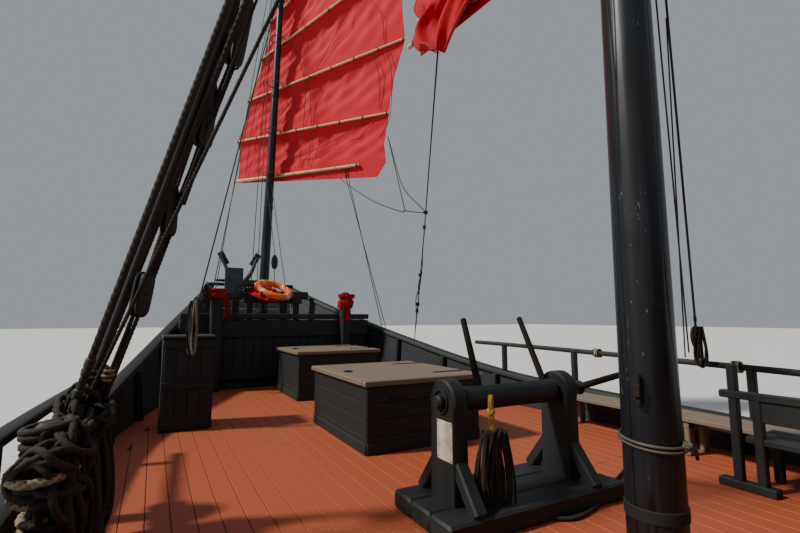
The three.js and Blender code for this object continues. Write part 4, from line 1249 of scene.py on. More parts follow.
def make_decks():
    """The planks and the margin of each deck, and the nosing at the poop deck's fore edge."""
    generator = np.random.default_rng(61)
    plank_width = bpy.context.scene.junk_sizes.deck_plank
    for name, z, y0, y1, edge in DECK_ROWS:
        form = Form()
        s0 = max(float(slice_at(y0, z)), STERN + 0.07)
        s1 = min(float(slice_at(y1, z)), BOW - 0.02)
        first = s0 + float(column("rake", s0)) * z
        last = s1 + float(column("rake", s1)) * z
        deck_planks(form, z, max(y0, first), min(y1, last), edge, plank_width, generator)
        deck_margin(form, z, s0, s1, edge, generator)
        form.build(f"{name}_planks", "deck_wood seam_pitch", replaced=(name,))
    form = Form()
    half = float(half_breadth(CABIN_Y, POOP)) - 0.08
    timbers(form, [bar(-half, half, CABIN_Y + 0.115, POOP - 0.045, 0.05, 0.13)], 0.012, seed=62)
    form.build("poop_nosing", "black_paint")


# Cabin

CABIN_WINDOWS = (-7.4, -6.3, -5.2)
DOORWAY = {"half": 0.48, "head": 2.76}
FRONT_WINDOW = {"middle": 1.45, "half": 0.42, "foot": 1.90, "head": 2.45}
DOOR = {"thick": 0.04, "gap": 0.006, "frame": 0.095, "foot": 0.008, "light_foot": 1.9, "light_head": 2.55}


def make_quarters():
    """The cabin's sides: strakes between level lines with three windows in each, and a top rail."""
    generator = np.random.default_rng(71)
    end = float(slice_at(CABIN_Y, 1.8))
    bands = [
        ("bulwark", WINDOW["foot"], 3), (WINDOW["foot"], WINDOW["head"], 3), (WINDOW["head"], "quarter", 6),
    ]
    pierced = range(bands[0][2], bands[0][2] + bands[1][2])

    def line(s, k):
        """Heights of the seams, even between the levels that bound each band."""
        height = np.zeros(np.broadcast(s, k).shape)
        first = 0
        for low, high, count in bands:
            foot = column(low, s) if isinstance(low, str) else low
            head = column(high, s) if isinstance(high, str) else high
            share = (k - first) / count
            inside = (share >= 0) & (share <= 1)
            height = np.where(inside, foot + (head - foot) * share, height)
            first += count
        return height

    for name, side in SIDES:
        rows = []
        for k in range(sum(count for _, _, count in bands)):
            stretches = [(STERN, end)]
            if k in pierced:
                edges = [STERN]
                for y in CABIN_WINDOWS:
                    ends = (y - WINDOW["long"] / 2, y + WINDOW["long"] / 2)
                    edges += [float(slice_at(end_y, WINDOW_MIDDLE)) for end_y in ends]
                edges.append(end)
                stretches = list(zip(edges[0::2], edges[1::2]))
            for a, b in stretches:
                rows += [(c, d, k, k + 1) for c, d in lengths(a, b, 2.6, generator)]
        form = Form()
        side_planks(form, side, rows, line, PLANK, 72)
        form.build(f"quarter_planks_{name}", "topside_paint", replaced=(f"quarter_{name}",))
        make_quarter_trim(name, side, end, generator)


def make_quarter_trim(name, side, end, generator):
    """The quarter's top rail, a moulding at the poop deck's level, the window casings and posts."""
    form = Form()
    runs = lengths(STERN, end, 2.8, generator)

    def moulding(s):
        low = np.full(s.shape, POOP - 0.11)
        return plank_corners(low, low + 0.1, 0.03, -0.03)

    side_run(form, side, runs, cap_section("quarter"), CAP_FLATS, generator.random(len(runs)), 12)
    side_run(form, side, runs, moulding, PLANK_FLATS, generator.random(len(runs)), 12)
    posts = []
    for y in (CABIN_Y - 0.06, -6.85, -8.3):
        s = float(slice_at(y, 3.2))
        foot = skin(s, POOP + 0.003, PLANK + 0.04)
        head = skin(s, float(column("quarter", s)), PLANK + 0.04)
        posts.append((foot * [side, 1, 1], head * [side, 1, 1], 0.08, 0.08))
    timbers(form, posts, 0.01, (side, 0, 0), seed=73)
    form.build(f"quarter_trim_{name}", "black_paint")
    windows = Form()
    for y in CABIN_WINDOWS:
        z = WINDOW_MIDDLE
        s = slice_at(y, z)
        ahead = skin(slice_at(y + 0.3, z), z) - skin(slice_at(y - 0.3, z), z)
        rise = np.array([(half_breadth(s, z + 0.2) - half_breadth(s, z - 0.2)) / 0.4, 0.0, 1.0])
        middle = skin(s, z, PLANK / 2) * [side, 1, 1]
        window_frame(windows, middle, ahead * [side, 1, 1], rise * [side, 1, 1], WINDOW["long"], WINDOW_TALL)
    windows.build(f"quarter_windows_{name}", "worn_wood glass")


def board_wall(form, edges, y0, y1, z0, z1, holes, width, seed):
    """Upright boards across the ship between two heights, cut where holes are."""
    marks = sorted({*edges, *[x for hole in holes for x in hole[:2]]})
    rows = []
    for a, b in pairs(marks):
        count = max(1, int(round((b - a) / width)))
        for c, d in pairs(np.linspace(a, b, count + 1)):
            spans = [(z0, z1)]
            for x0, x1, low, high in holes:
                if c < x1 - 0.01 and d > x0 + 0.01:
                    spans = [part for e, f in spans for part in ((e, min(f, low)), (max(e, high), f))]
            rows += [(c + 0.0015, d - 0.0015, y0, y1, e, f) for e, f in spans if f - e > 0.03]
    blocks(form, rows, 0.005, seed=seed)


def make_cabin_front():
    """The cabin's front of upright boards round a doorway and two windows, with its posts and sill."""
    half = float(half_breadth(CABIN_Y, DECK)) - PLANK - 0.012
    head = POOP - 0.0605
    holes = [(-DOORWAY["half"], DOORWAY["half"], 0.0, DOORWAY["head"])]
    holes += [(m - FRONT_WINDOW["half"], m + FRONT_WINDOW["half"], FRONT_WINDOW["foot"], FRONT_WINDOW["head"])
              for m in (-FRONT_WINDOW["middle"], FRONT_WINDOW["middle"])]
    form = Form()
    board_wall(form, (-half, half), CABIN_Y - 0.05, CABIN_Y - 0.01, DECK + 0.001, head, holes, 0.15, 81)
    y = CABIN_Y - 0.03
    posts = [post(x, y, DECK + 0.001, head, 0.09, 0.08)
             for x in (-half + 0.05, -DOORWAY["half"] - 0.05, DOORWAY["half"] + 0.05, half - 0.05)]
    timbers(form, posts, 0.01, WAY_Y, seed=82)
    rails = [bar(-half, half, CABIN_Y, head - 0.065, 0.04, 0.11)]
    rails += [bar(side * half, side * (DOORWAY["half"] + 0.1), CABIN_Y, 1.10, 0.03, 0.16)
              for side in (-1, 1)]
    timbers(form, rails, 0.008, seed=83)
    form.build("cabin_front_boards", "black_paint", replaced=("cabin_front",))
    windows = Form()
    for m in (-FRONT_WINDOW["middle"], FRONT_WINDOW["middle"]):
        middle = (m, CABIN_Y - 0.03, (FRONT_WINDOW["foot"] + FRONT_WINDOW["head"]) / 2)
        window_frame(windows, middle, WAY_X, WAY_Z, 2 * FRONT_WINDOW["half"],
                     FRONT_WINDOW["head"] - FRONT_WINDOW["foot"])
    windows.build("front_windows", "worn_wood glass")


def make_doors():
    """Framed doors: stiles and rails, boards below, bars before a pane above, a pull and straps."""
    y = CABIN_Y - PLANK + DOOR["gap"] + DOOR["thick"] / 2
    foot, head = DECK + DOOR["foot"], DOORWAY["head"] - DOOR["foot"]
    thick = DOOR["thick"]
    f = DOOR["frame"]
    for name, side in SIDES:
        x0, x1 = sorted((side * DOOR["gap"], side * (DOORWAY["half"] - DOOR["gap"])))
        form = Form()
        stiles = [post(x, y, foot, head, f, thick) for x in (x0 + f / 2, x1 - f / 2)]
        timbers(form, stiles, 0.006, WAY_Y, seed=91)
        rails = [bar(x0 + f, x1 - f, y, z, thick - 0.004, tall)
                 for z, tall in ((foot + 0.09, 0.18), (DOOR["light_foot"] - 0.06, 0.12),
                                 (DOOR["light_head"] + 0.09, 0.18))]
        timbers(form, rails, 0.006, seed=92)
        low, high = foot + 0.17, DOOR["light_foot"] - 0.11
        edges = np.linspace(x0 + f - 0.01, x1 - f + 0.01, 4)
        panels = [(a, b, y - 0.01, y + 0.01, low, high) for a, b in pairs(edges, 0.001)]
        blocks(form, panels, 0.004, seed=93)
        middle = (x0 + x1) / 2
        bars = [bar(x0 + f, x1 - f, y, z, 0.02, 0.022) for z in (2.06, 2.22, 2.39)]
        timbers(form, bars, 0.003, seed=94)
        upright = [post(middle, y, DOOR["light_foot"], DOOR["light_head"], 0.022, 0.018)]
        timbers(form, upright, 0.003, WAY_Y, seed=95)
        light = (DOOR["light_foot"] + DOOR["light_head"]) / 2
        timbers(form, [bar(x0 + f, x1 - f, y, light, 0.004, 0.64)], 0.001, material=2, seed=96)
        pull = x0 + f / 2 if side > 0 else x1 - f / 2
        loop = curved([(pull, y + 0.018, 1.78), (pull, y + 0.06, 1.80), (pull, y + 0.065, 1.87),
                       (pull, y + 0.06, 1.94), (pull, y + 0.018, 1.96)], 20)
        tube(form, loop, 0.008, 8, material=1)
        edge = x1 if side > 0 else x0
        strap = (*sorted((edge, edge - side * 0.2)), y + 0.018, y + 0.022)
        for z in (1.25, 1.86, 2.5):
            blocks(form, [(*strap, z - 0.025, z + 0.025)], 0.001, material=1)
            heads = [(edge - side * inward, y + 0.022, z) for inward in (0.04, 0.11, 0.17)]
            studs(form, heads, WAY_Y, 0.008, 0.002)
        form.build(f"door_{name}", "worn_wood iron glass", f"door_{name}", (f"cabin_door_{name}",))


POOP_RAIL = {"posts": 7, "low": 3.38, "high": 3.78}
LADDER = {
    "x": 1.54, "wide": 0.6, "steps": 7, "foot": 1.23, "rise": 0.25, "back": 0.16, "run": 0.075, "tread": 0.17,
}


def make_poop_rail():
    """Posts, a mid rail and a top rail along the poop's front."""
    y = CABIN_Y + 0.03
    half = float(half_breadth(CABIN_Y, POOP)) - PLANK - 0.06
    top = POOP_RAIL["high"] + 0.07
    form = Form()
    rails = [bar(-half, half, y, top - 0.035, 0.085, 0.07),
             bar(-half, half, y, POOP_RAIL["low"] + 0.025, 0.05, 0.05)]
    timbers(form, rails, 0.014, seed=101)
    x = (half - 0.04) * np.linspace(-1, 1, POOP_RAIL["posts"])
    posts = [post(a, y, POOP + 0.001, POOP_RAIL["high"] + 0.01, 0.07, 0.06) for a in x]
    timbers(form, posts, 0.01, WAY_Y, seed=102)
    form.build("poop_rail_timber", "black_paint", replaced=("poop_front_rail",))


def make_ladder():
    """Treads between two sloping cheeks."""
    form = Form()
    x0, x1 = LADDER["x"], LADDER["x"] + LADDER["wide"]
    rows = []
    for i in range(LADDER["steps"]):
        z = LADDER["foot"] + i * LADDER["rise"] + 0.0175
        y = CABIN_Y + LADDER["back"] + (LADDER["steps"] - 1 - i) * LADDER["run"] + LADDER["tread"] / 2
        rows.append(bar(x0 + 0.01, x1 - 0.01, y, z, LADDER["tread"], 0.035))
    timbers(form, rows, 0.008, seed=111)
    foot = np.array([CABIN_Y + 0.875, DECK + 0.06])
    head = np.array([CABIN_Y + 0.215, POOP + 0.008])
    cheeks = [((x, foot[0] + 0.02, foot[1] - 0.04), (x, head[0], head[1]), 0.04, 0.165) for x in (x0, x1)]
    timbers(form, cheeks, 0.008, (0, 1, 0.4), seed=112)
    form.build("ladder_timber", "worn_wood", replaced=("poop_ladder",))


# Rails and deck gear

RAILS = {
    "port": {
        "half": 0.045, "tall": 0.055, "post": 0.04, "inset": 0.06, "height": 0.72, "sheer": 0.0,
        "front": 3.3, "posts": (-3.9, -2.4, -0.95, 0.95, 3.0),
    },
    "starboard": {
        "half": 0.032, "tall": 0.06, "post": 0.035, "inset": 0.03, "height": 0.8, "sheer": 0.022,
        "front": 4.2, "posts": (-3.9, -2.4, -0.95, 0.5, 2.45, 3.65),
    },
}
RAIL_BACK = -4.1


def rail_top(name, y):
    """The height of a side rail's top, level aft of amidships and rising forward."""
    rail = RAILS[name]
    return DECK + rail["height"] + rail["sheer"] * np.maximum(0, y)


def make_side_rails():
    """A flat rail to port and a slim one to starboard, on posts, in butted lengths."""
    generator = np.random.default_rng(121)
    for name, side in SIDES:
        size = RAILS[name]
        inset = size["inset"]
        form = Form()
        angle = circle_angles(16)
        runs = lengths(RAIL_BACK + 0.005, size["front"] - 0.005, 2.9, generator, 0.002)

        def section(s):
            top = rail_top(name, s)[..., None] - size["tall"] / 2
            z = top + np.sign(np.sin(angle)) * np.abs(np.sin(angle)) ** 0.5 * size["tall"] / 2
            across = np.sign(np.cos(angle)) * np.abs(np.cos(angle)) ** 0.5 * size["half"]
            return z, np.broadcast_to(inset + across, z.shape)

        side_run(form, side, runs, section, (), generator.random(len(runs)), 18)
        posts = []
        for y in size["posts"]:
            x = side * (float(half_breadth(y, 1.5)) - inset)
            foot = float(column("bulwark", y)) + CAP_THICK + 0.002
            head = float(rail_top(name, y)) - size["tall"] * 0.4
            posts.append(post(x, y, foot, head, 2 * size["post"], 2 * size["post"]))
        timbers(form, posts, 0.012, (side, 0, 0), seed=122)
        form.build(f"rail_timber_{name}", "black_paint", replaced=(f"side_rail_{name}",))


HATCHES = {
    "near": {"x0": -0.42, "x1": 0.95, "y0": 2.15, "y1": 3.75, "top": 1.67},
    "far": {"x0": -0.21, "x1": 1.20, "y0": 5.12, "y1": 6.50, "top": 1.74},
}
LID_THICK = 0.055
LID_OVER = 0.04


def make_hatches():
    """Deck boxes of boards between corner posts, with a kicking board and a small blank plate."""
    for name, box in HATCHES.items():
        x0, x1 = box["x0"] + LID_OVER, box["x1"] - LID_OVER
        y0, y1 = box["y0"] + LID_OVER, box["y1"] - LID_OVER
        foot, head = DECK + 0.001, box["top"] - LID_THICK - 0.001
        form = Form()
        levels = np.linspace(foot, head, 5)
        for low, high in pairs(levels):
            z = (low + high) / 2
            tall = high - low - 0.003
            rows = [bar(x0 + 0.02, x1 - 0.02, y, z, 0.04, tall) for y in (y0 + 0.022, y1 - 0.022)]
            rows += [run(x, y0 + 0.02, y1 - 0.02, z, 0.04, tall) for x in (x0 + 0.022, x1 - 0.022)]
            timbers(form, rows, 0.005, seed=int(z * 100))
        corners = [post(x, y, foot, head, 0.07, 0.07)
                   for x in (x0 + 0.03, x1 - 0.03) for y in (y0 + 0.03, y1 - 0.03)]
        timbers(form, corners, 0.01, WAY_Y, seed=131)
        kick = [bar(x0, x1, y, foot + 0.05, 0.02, 0.1) for y in (y0 - 0.004, y1 + 0.004)]
        kick += [run(x, y0, y1, foot + 0.05, 0.02, 0.1) for x in (x0 - 0.004, x1 + 0.004)]
        timbers(form, kick, 0.006, seed=132)
        small_plate = (x0 + 0.25, x0 + 0.42, y0 - 0.012, y0 - 0.003, head - 0.16, head - 0.11)
        blocks(form, [small_plate], 0.002, material=1)
        form.build(f"{name}_hatch_boards", "black_paint iron", replaced=(f"{name}_hatch_box",))
        make_lid(name, box)


def make_lid(name, box):
    """A lid: planks athwart inside a rim, two hinge straps to starboard and a lifting ring."""
    form = Form()
    x0, x1, y0, y1, top = (box[key] for key in ("x0", "x1", "y0", "y1", "top"))
    foot = top - LID_THICK + 0.001
    edges = np.linspace(y0 + 0.07, y1 - 0.07, 8)
    planks = [(x0 + 0.07, x1 - 0.07, a, b, foot + 0.007, top - 0.001) for a, b in pairs(edges, 0.0015)]
    blocks(form, planks, 0.004, seed=141)
    rim = [(x0, x1, a, b, foot, top) for a, b in ((y0, y0 + 0.069), (y1 - 0.069, y1))]
    rim += [(a, b, y0 + 0.07, y1 - 0.07, foot, top) for a, b in ((x0, x0 + 0.069), (x1 - 0.069, x1))]
    blocks(form, rim, 0.009, seed=142)
    for y in (y0 + 0.32, y1 - 0.32):
        strap = (x1 - 0.42, x1 + 0.004, y - 0.025, y + 0.025, top - 0.002, top + 0.005)
        blocks(form, [strap], 0.002, material=1)
        studs(form, [(x1 - d, y, top + 0.005) for d in (0.08, 0.2, 0.32)], (0, 0, 1), 0.01, 0.006)
    hoop(form, (x0 + 0.16, (y0 + y1) / 2, top + 0.006), 0.045, WAY_X, WAY_Y, 0.006)
    form.build(f"{name}_lid_planks", "worn_wood iron", f"{name}_lid", (f"{name}_hatch_lid",))


WINDLASS = {"port": -0.455, "starboard": 0.535, "y": 0.76, "axis": 1.72, "barrel": 0.085, "axle": 0.045}
WINDLASS_POST = {"half_wide": 0.055, "half_long": 0.13, "head": 0.14}
WINDLASS_SILL = {"port": -0.68, "starboard": 0.80, "reach": 0.33, "tall": 0.12}
# Handspikes: the place along the barrel, the angle from straight ahead and the reach
HANDSPIKES = [(-0.19, 70, 0.56), (0.42, 63, 0.60), (0.74, 160, 0.42)]


def make_windlass():
    """Two posts with rounded heads on a sill, braced fore and aft, with iron rings at the axle."""
    y, axis = WINDLASS["y"], WINDLASS["axis"]
    wide, long, head = (WINDLASS_POST[key] for key in ("half_wide", "half_long", "head"))
    form = Form()
    port, starboard, tall = (WINDLASS_SILL[key] for key in ("port", "starboard", "tall"))
    beams = [bar(port, starboard, y + shift, DECK + tall / 2, 0.215, tall - 0.004)
             for shift in (-0.22, 0.0, 0.22)]
    timbers(form, beams, 0.014, seed=151)
    posts = (WINDLASS["port"], WINDLASS["starboard"])
    angle = np.linspace(0, math.pi, 15)
    top = np.stack([head * np.cos(angle), head * np.sin(angle)], -1)
    foot = DECK + 0.1 - axis
    outline = np.concatenate([[[long, foot], [long, -0.05]], top, [[-long, -0.05], [-long, foot]]])
    inward = unit(outline - outline.mean(0))
    for x in posts:
        rings = []
        for place, shrink in ((-wide, 0.012), (0.012 - wide, 0), (wide - 0.012, 0), (wide, 0.012)):
            edge = outline - inward * shrink
            rings.append([(x + place, y + a, axis + b) for a, b in edge])
        lofts(form, rings, range(len(outline)), 0.4)
        for side in (1, -1):
            hoop(form, (x + side * (wide + 0.006), y, axis), 0.072, WAY_Y, WAY_Z, 0.007)
        studs(form, [(x, y - long - 0.001, z) for z in (1.22, 1.30)], (0, -1, 0), 0.016, 0.01)
    knees = [((x, y + way * 0.30, DECK + 0.11), (x, y + way * 0.10, DECK + 0.36), 0.09, 0.08)
             for x in posts for way in (-1, 1)]
    timbers(form, knees, 0.012, seed=152)
    form.build("windlass_timber", "black_paint iron", replaced=("windlass_frame",))
    make_barrel()
    make_windlass_gear()


def make_barrel():
    """The barrel: a log hewn to eight flats, with iron hoops, an axle and the handspikes."""
    y, axis = WINDLASS["y"], WINDLASS["axis"]
    form = Form()
    x0 = WINDLASS["port"] + WINDLASS_POST["half_wide"] + 0.012
    x1 = WINDLASS["starboard"] - WINDLASS_POST["half_wide"] - 0.012
    share = np.linspace(0, 1, 24)
    radius = WINDLASS["barrel"] * (0.93 + 0.07 * (2 * share - 1) ** 2)

    def flats(angle, index):
        return 0.95 + 0.05 * np.cos(4 * angle) ** 2 + 0 * index

    tube(form, between((x0, y, axis), (x1, y, axis), share[:, None]), radius, 32, 0.5, 0, flats)
    ends = (WINDLASS["port"] - 0.1, y, axis), (WINDLASS["starboard"] + 0.255, y, axis)
    tube(form, between(*ends, np.linspace(0, 1, 12)[:, None]), WINDLASS["axle"] - 0.001, 20, 0.3)
    for place, reach in ((x0 + 0.03, 0.078), (x1 - 0.03, 0.078), (ends[1][0] - 0.03, WINDLASS["axle"])):
        hoop(form, (place, y, axis), reach, WAY_Y, WAY_Z, 0.009, 32)
    for x, angle, reach in HANDSPIKES:
        turn = math.radians(angle)
        steps = np.linspace(0.02, reach, 14)
        path = np.array([x, y, axis]) + steps[:, None] * [0, math.cos(turn), math.sin(turn)]
        tube(form, path, 0.026 - 0.005 * steps / reach, 12, 0.4, 2)
    form.build("windlass_log", "black_paint iron spike_wood", "windlass", ("windlass_barrel",))


NOTICE = {"y": 0.7225, "long": 0.165, "foot": 1.37, "head": 1.61, "thick": 0.006}
CORD = {"x": -0.245, "y": 0.60, "radius": 0.008}


def make_windlass_gear():
    """A blank pale board on the port post's outer face, and a yellow cord knotted round the barrel."""
    form = Form()
    x = WINDLASS["port"] - WINDLASS_POST["half_wide"] - NOTICE["thick"] / 2 - 0.001
    ends = [(x, NOTICE["y"], NOTICE[end]) for end in ("foot", "head")]
    timbers(form, [(*ends, NOTICE["long"], NOTICE["thick"])], 0.002, (1, 0, 0), seed=161)
    corners = [(x - 0.003, NOTICE["y"] + a, z) for a in (-0.072, 0.072) for z in (1.382, 1.598)]
    studs(form, corners, (-1, 0, 0), 0.005, 0.003)
    form.build("blank_notice", "pale_board iron")
    form = Form()
    x, y, radius = CORD["x"], CORD["y"], CORD["radius"]
    coil(form, (x, y, 1.715), (0.8, 0.6, 0), (0, 0, 1), 0.017, 0.045, 2, 0.014, radius, 162)
    for z, reach in ((1.66, 0.020), (1.555, 0.016)):
        coil(form, (x, y, z), (1, 0, 0), (0, 0.6, 0.8), reach, reach, 3, 0.013, radius, 163)
        coil(form, (x, y, z), (0, 1, 0.3), (0.5, 0, 1), reach, reach, 2, 0.014, radius, 164)
    for shift in (-0.012, 0.012):
        strand = [(x + shift, y, 1.66), (x + 1.5 * shift, y - 0.004, 1.61), (x + 0.5 * shift, y, 1.555)]
        rope(form, curved(strand, 20), radius * 0.75, rings_each=4)
        tail = [(x + shift, y, 1.555), (x + 2 * shift, y - 0.012, 1.53), (x + 2.4 * shift, y, 1.51)]
        rope(form, curved(tail, 10), radius * 0.7, rings_each=4)
    form.build("yellow_cord", "rope_yellow")


def coil(form, middle, across, upward, reach, tall, count, spread, radius, seed):
    """Adds turns of laid rope side by side: ellipses in the plane of two directions, each a little off.

    A turn's half-axes are reach and tall, and the turns lie spread apart along the plane's normal.
    """
    generator = np.random.default_rng(seed)
    across = unit(np.asarray(across, float))
    normal = unit(np.cross(across, np.asarray(upward, float)))
    upward = np.cross(normal, across)
    steps = np.linspace(0, 2 * math.pi, 49)[:, None]
    for turn in range(count):
        jitter = generator.uniform(-1, 1, 4)
        wide = reach * (1 + 0.05 * jitter[0])
        high = tall * (1 + 0.05 * jitter[1])
        shift = (turn - (count - 1) / 2) * spread + 0.3 * radius * np.sin(steps + 3 * jitter[2])
        start = steps + math.pi * jitter[3]
        path = np.asarray(middle, float) + across * np.cos(start) * wide + upward * np.sin(start) * high
        rope(form, path + normal * shift, radius)


def make_rack():
    """The rack by the starboard rail: uprights, a top rail, lower bearers and a shelf of slats."""
    form = Form()
    foot = DECK + 0.001
    upright = [post(1.735, y, foot, top, 0.06, 0.06) for y, top in ((0.16, 1.9), (0.01, 1.7), (-1.87, 1.7))]
    upright += [post(2.12, y, foot, 1.345, 0.06, 0.06) for y in (-1.87, 0.07)]
    timbers(form, upright, 0.008, WAY_Y, seed=171)
    level = [run(1.735, -1.95, 0.25, 1.6775, 0.07, 0.055),
             run(1.735, -0.08, 0.29, 1.03, 0.09, 0.06),
             run(1.735, -0.6, 0.02, 1.58, 0.04, 0.16)]
    level += [run(x, -1.9, 0.1, 1.3625, 0.104, 0.045) for x in (1.765, 1.875, 1.985, 2.095)]
    timbers(form, level, 0.006, seed=172)
    form.build("rack_timber", "black_paint", replaced=("starboard_rack",))


BENCH_LEGS = (-2.2, -0.7, 0.8, 2.2)


def make_bench():
    """A plank bench along the starboard bulwark, on pairs of legs with a bearer over each pair."""
    form = Form()
    seats = [run(x, -2.3, 2.3, 1.3225, 0.122, 0.044) for x in (2.243, 2.37, 2.497)]
    timbers(form, seats, 0.007, seed=181)
    legs = [post(x, y, DECK + 0.001, 1.30, 0.09, 0.05) for y in BENCH_LEGS for x in (2.25, 2.49)]
    timbers(form, legs, 0.008, WAY_Y, seed=182)
    bearers = [bar(2.2, 2.54, y, 1.27, 0.05, 0.06) for y in BENCH_LEGS]
    timbers(form, bearers, 0.008, seed=183)
    form.build("bench_planks", "worn_wood", replaced=("starboard_bench",))


SHROUD_PINS = (0.92, 1.17, 1.30, 1.43, 1.56, 1.69, 1.94)


def make_shroud_bitts():
    """Two posts, a cross rail and its pins inside the port bulwark, where the shrouds are made fast."""
    form = Form()
    posts = [post(-2.55, y, DECK + 0.001, 1.76, 0.12, 0.12) for y in (1.04, 1.82)]
    timbers(form, posts, 0.02, WAY_Y, seed=191)
    timbers(form, [run(-2.55, 0.83, 2.03, 1.535, 0.18, 0.11)], 0.02, seed=192)
    z = np.linspace(1.40, 1.74, 14)
    radius = 0.013 + 0.010 * (z > 1.60) * (1 - ((z - 1.68) / 0.08) ** 2).clip(0, 1)
    for y in SHROUD_PINS:
        tube(form, [(-2.55, y, height) for height in z], radius, 10, 0.5, 1)
    form.build("bitt_timber", "black_paint spike_wood", replaced=("shroud_bitts",))


LOCKER = {"x0": -2.04, "x1": -1.50, "y0": 4.0, "y1": 4.5, "top": 2.05}


def make_locker():
    """A tall narrow box of upright boards by the port bulwark, with a flat lid and three trims."""
    form = Form()
    x0, x1, y0, y1, top = LOCKER.values()
    foot = DECK + 0.001
    for y in (y0 + 0.015, y1 - 0.015):
        boards = pairs(np.linspace(x0 + 0.02, x1 - 0.02, 5), 0.001)
        blocks(form, [(a, b, y - 0.013, y + 0.013, foot, top - 0.04) for a, b in boards], 0.004, seed=201)
    for x in (x0 + 0.015, x1 - 0.015):
        boards = pairs(np.linspace(y0 + 0.03, y1 - 0.03, 5), 0.001)
        blocks(form, [(x - 0.013, x + 0.013, a, b, foot, top - 0.04) for a, b in boards], 0.004, seed=202)
    blocks(form, [(x0 - 0.01, x1 + 0.01, y0 - 0.01, y1 + 0.01, top - 0.04, top)], 0.01, seed=203)
    trims = [bar(x0, x1, y0 - 0.002, z, 0.02, 0.08) for z in (1.06, 1.5, 1.95)]
    timbers(form, trims, 0.005, seed=204)
    form.build("locker_boards", "black_paint", replaced=("port_locker",))


# Bow gear

BITT = {"x": 1.2, "half": 0.09, "aft": 0.25, "fore": 0.05, "head": 2.76}
ANCHOR_BEAM = {"y": 9.05, "foot": 2.7, "head": 2.88, "half": 1.13, "leg": 0.54}
PIN_RAIL = {"posts": (-0.55, 0.35), "y": 7.26, "foot": 2.535, "head": 2.635}
ANCHOR = {"crown": (-0.46, 9.0, 2.965), "end": (-0.36, 9.9, 3.23), "reach": 0.43, "rise": 0.78}


def make_bow_gear():
    """Bitts with bevelled heads, the anchor's beam on its legs, and the pin rail."""
    wide = 2 * BITT["half"]
    deep = BITT["aft"] - BITT["fore"]
    y = BREAK_Y - (BITT["aft"] + BITT["fore"]) / 2
    for name, side in SIDES:
        form = Form()
        x = side * BITT["x"]
        timbers(form, [post(x, y, DECK + 0.001, BITT["head"] - 0.05, wide, deep)], 0.018, WAY_Y, seed=211)
        timbers(form, [post(x, y, BITT["head"] - 0.062, BITT["head"], wide - 0.03, deep - 0.03)], 0.03,
                WAY_Y, seed=212)
        form.build(f"bitt_{name}", "black_paint", replaced=(f"bow_bitt_{name}",))
    beam = ANCHOR_BEAM
    z = (beam["foot"] + beam["head"]) / 2
    tall = beam["head"] - beam["foot"]
    form = Form()
    timbers(form, [bar(-beam["half"], beam["half"], beam["y"], z, 0.178, tall)], 0.022, seed=221)
    legs = [post(x, beam["y"], FOREDECK + 0.001, beam["foot"] + 0.01, 0.155, 0.135)
            for x in (-beam["leg"], beam["leg"])]
    timbers(form, legs, 0.015, WAY_Y, seed=222)
    form.build("anchor_beam_timber", "black_paint", replaced=("anchor_beam",))
    rail = PIN_RAIL
    form = Form()
    port, starboard = rail["posts"]
    z = (rail["foot"] + rail["head"]) / 2
    timbers(form, [bar(port - 0.11, starboard + 0.11, rail["y"], z, 0.098, 0.1)], 0.012, seed=223)
    legs = [post(x, rail["y"], FOREDECK + 0.001, rail["foot"] + 0.01, 0.105, 0.085) for x in rail["posts"]]
    timbers(form, legs, 0.01, WAY_Y, seed=224)
    z = np.linspace(2.44, 2.74, 12)
    for x in (-0.44, -0.31, 0.14, 0.25):
        pin = [(x, rail["y"] - 0.065, height) for height in z]
        tube(form, pin, 0.011 + 0.009 * (z > 2.63), 10, 0.4, 1)
    form.build("pin_rail_timber", "black_paint spike_wood", replaced=("fore_pin_rail",))


def make_anchor():
    """A wooden anchor: a shank, two arms swept up to broad palms, a long stock and iron bands."""
    form = Form()
    crown = np.array(ANCHOR["crown"])
    end = np.array(ANCHOR["end"])
    steps = np.linspace(0, 1, 16)
    tube(form, between(crown, end, steps[:, None]), 0.074 - 0.02 * steps, 16, 0.4)
    for side in (-1, 1):
        tip = crown + [side * ANCHOR["reach"], 0.25, ANCHOR["rise"]]
        bend = crown + (tip - crown) * 0.45 + [side * 0.05, 0, -0.03]
        path = curved([crown, bend, tip], 20)
        tube(form, path, 0.068 - 0.044 * np.linspace(0, 1, 20), 14, 0.5)
        middle = tip + [-side * 0.075, -0.02, -0.13]
        upward = np.array([math.sin(side * 0.5), 0, math.cos(side * 0.5)])
        palm = (middle - upward * 0.16, middle + upward * 0.16, 0.145, 0.028)
        timbers(form, [palm], 0.01, (0, -1, 0), seed=231)
    stock = crown + [0.055, 0.56, 0.165]
    reach = np.linspace(-0.52, 0.52, 20)
    tube(form, stock + reach[:, None] * WAY_X, 0.041 - 0.012 * np.abs(reach) / 0.52, 14, 0.6)
    ahead = unit(end - crown)
    side = unit(np.cross(ahead, WAY_Z))
    for place in (0.12, 0.55):
        hoop(form, between(crown, end, place), 0.072, side, np.cross(side, ahead), 0.01, 28)
    form.build("anchor_timber", "black_paint iron", replaced=("anchor",))


RING = {"middle": (-0.1, 7.26, 2.8), "radius": 0.31, "thick": 0.062, "tip": 0.47, "turn": 0.2}


def ring_axes():
    """The life ring's own directions: across it, up it and out of its plane, after its two turns."""
    tip, turn = RING["tip"], RING["turn"]
    spin = np.array([[math.cos(turn), 0, math.sin(turn)], WAY_Y, [-math.sin(turn), 0, math.cos(turn)]])
    lean = np.array([WAY_X, [0, math.cos(tip), -math.sin(tip)], [0, math.sin(tip), math.cos(tip)]])
    return (spin @ lean).T


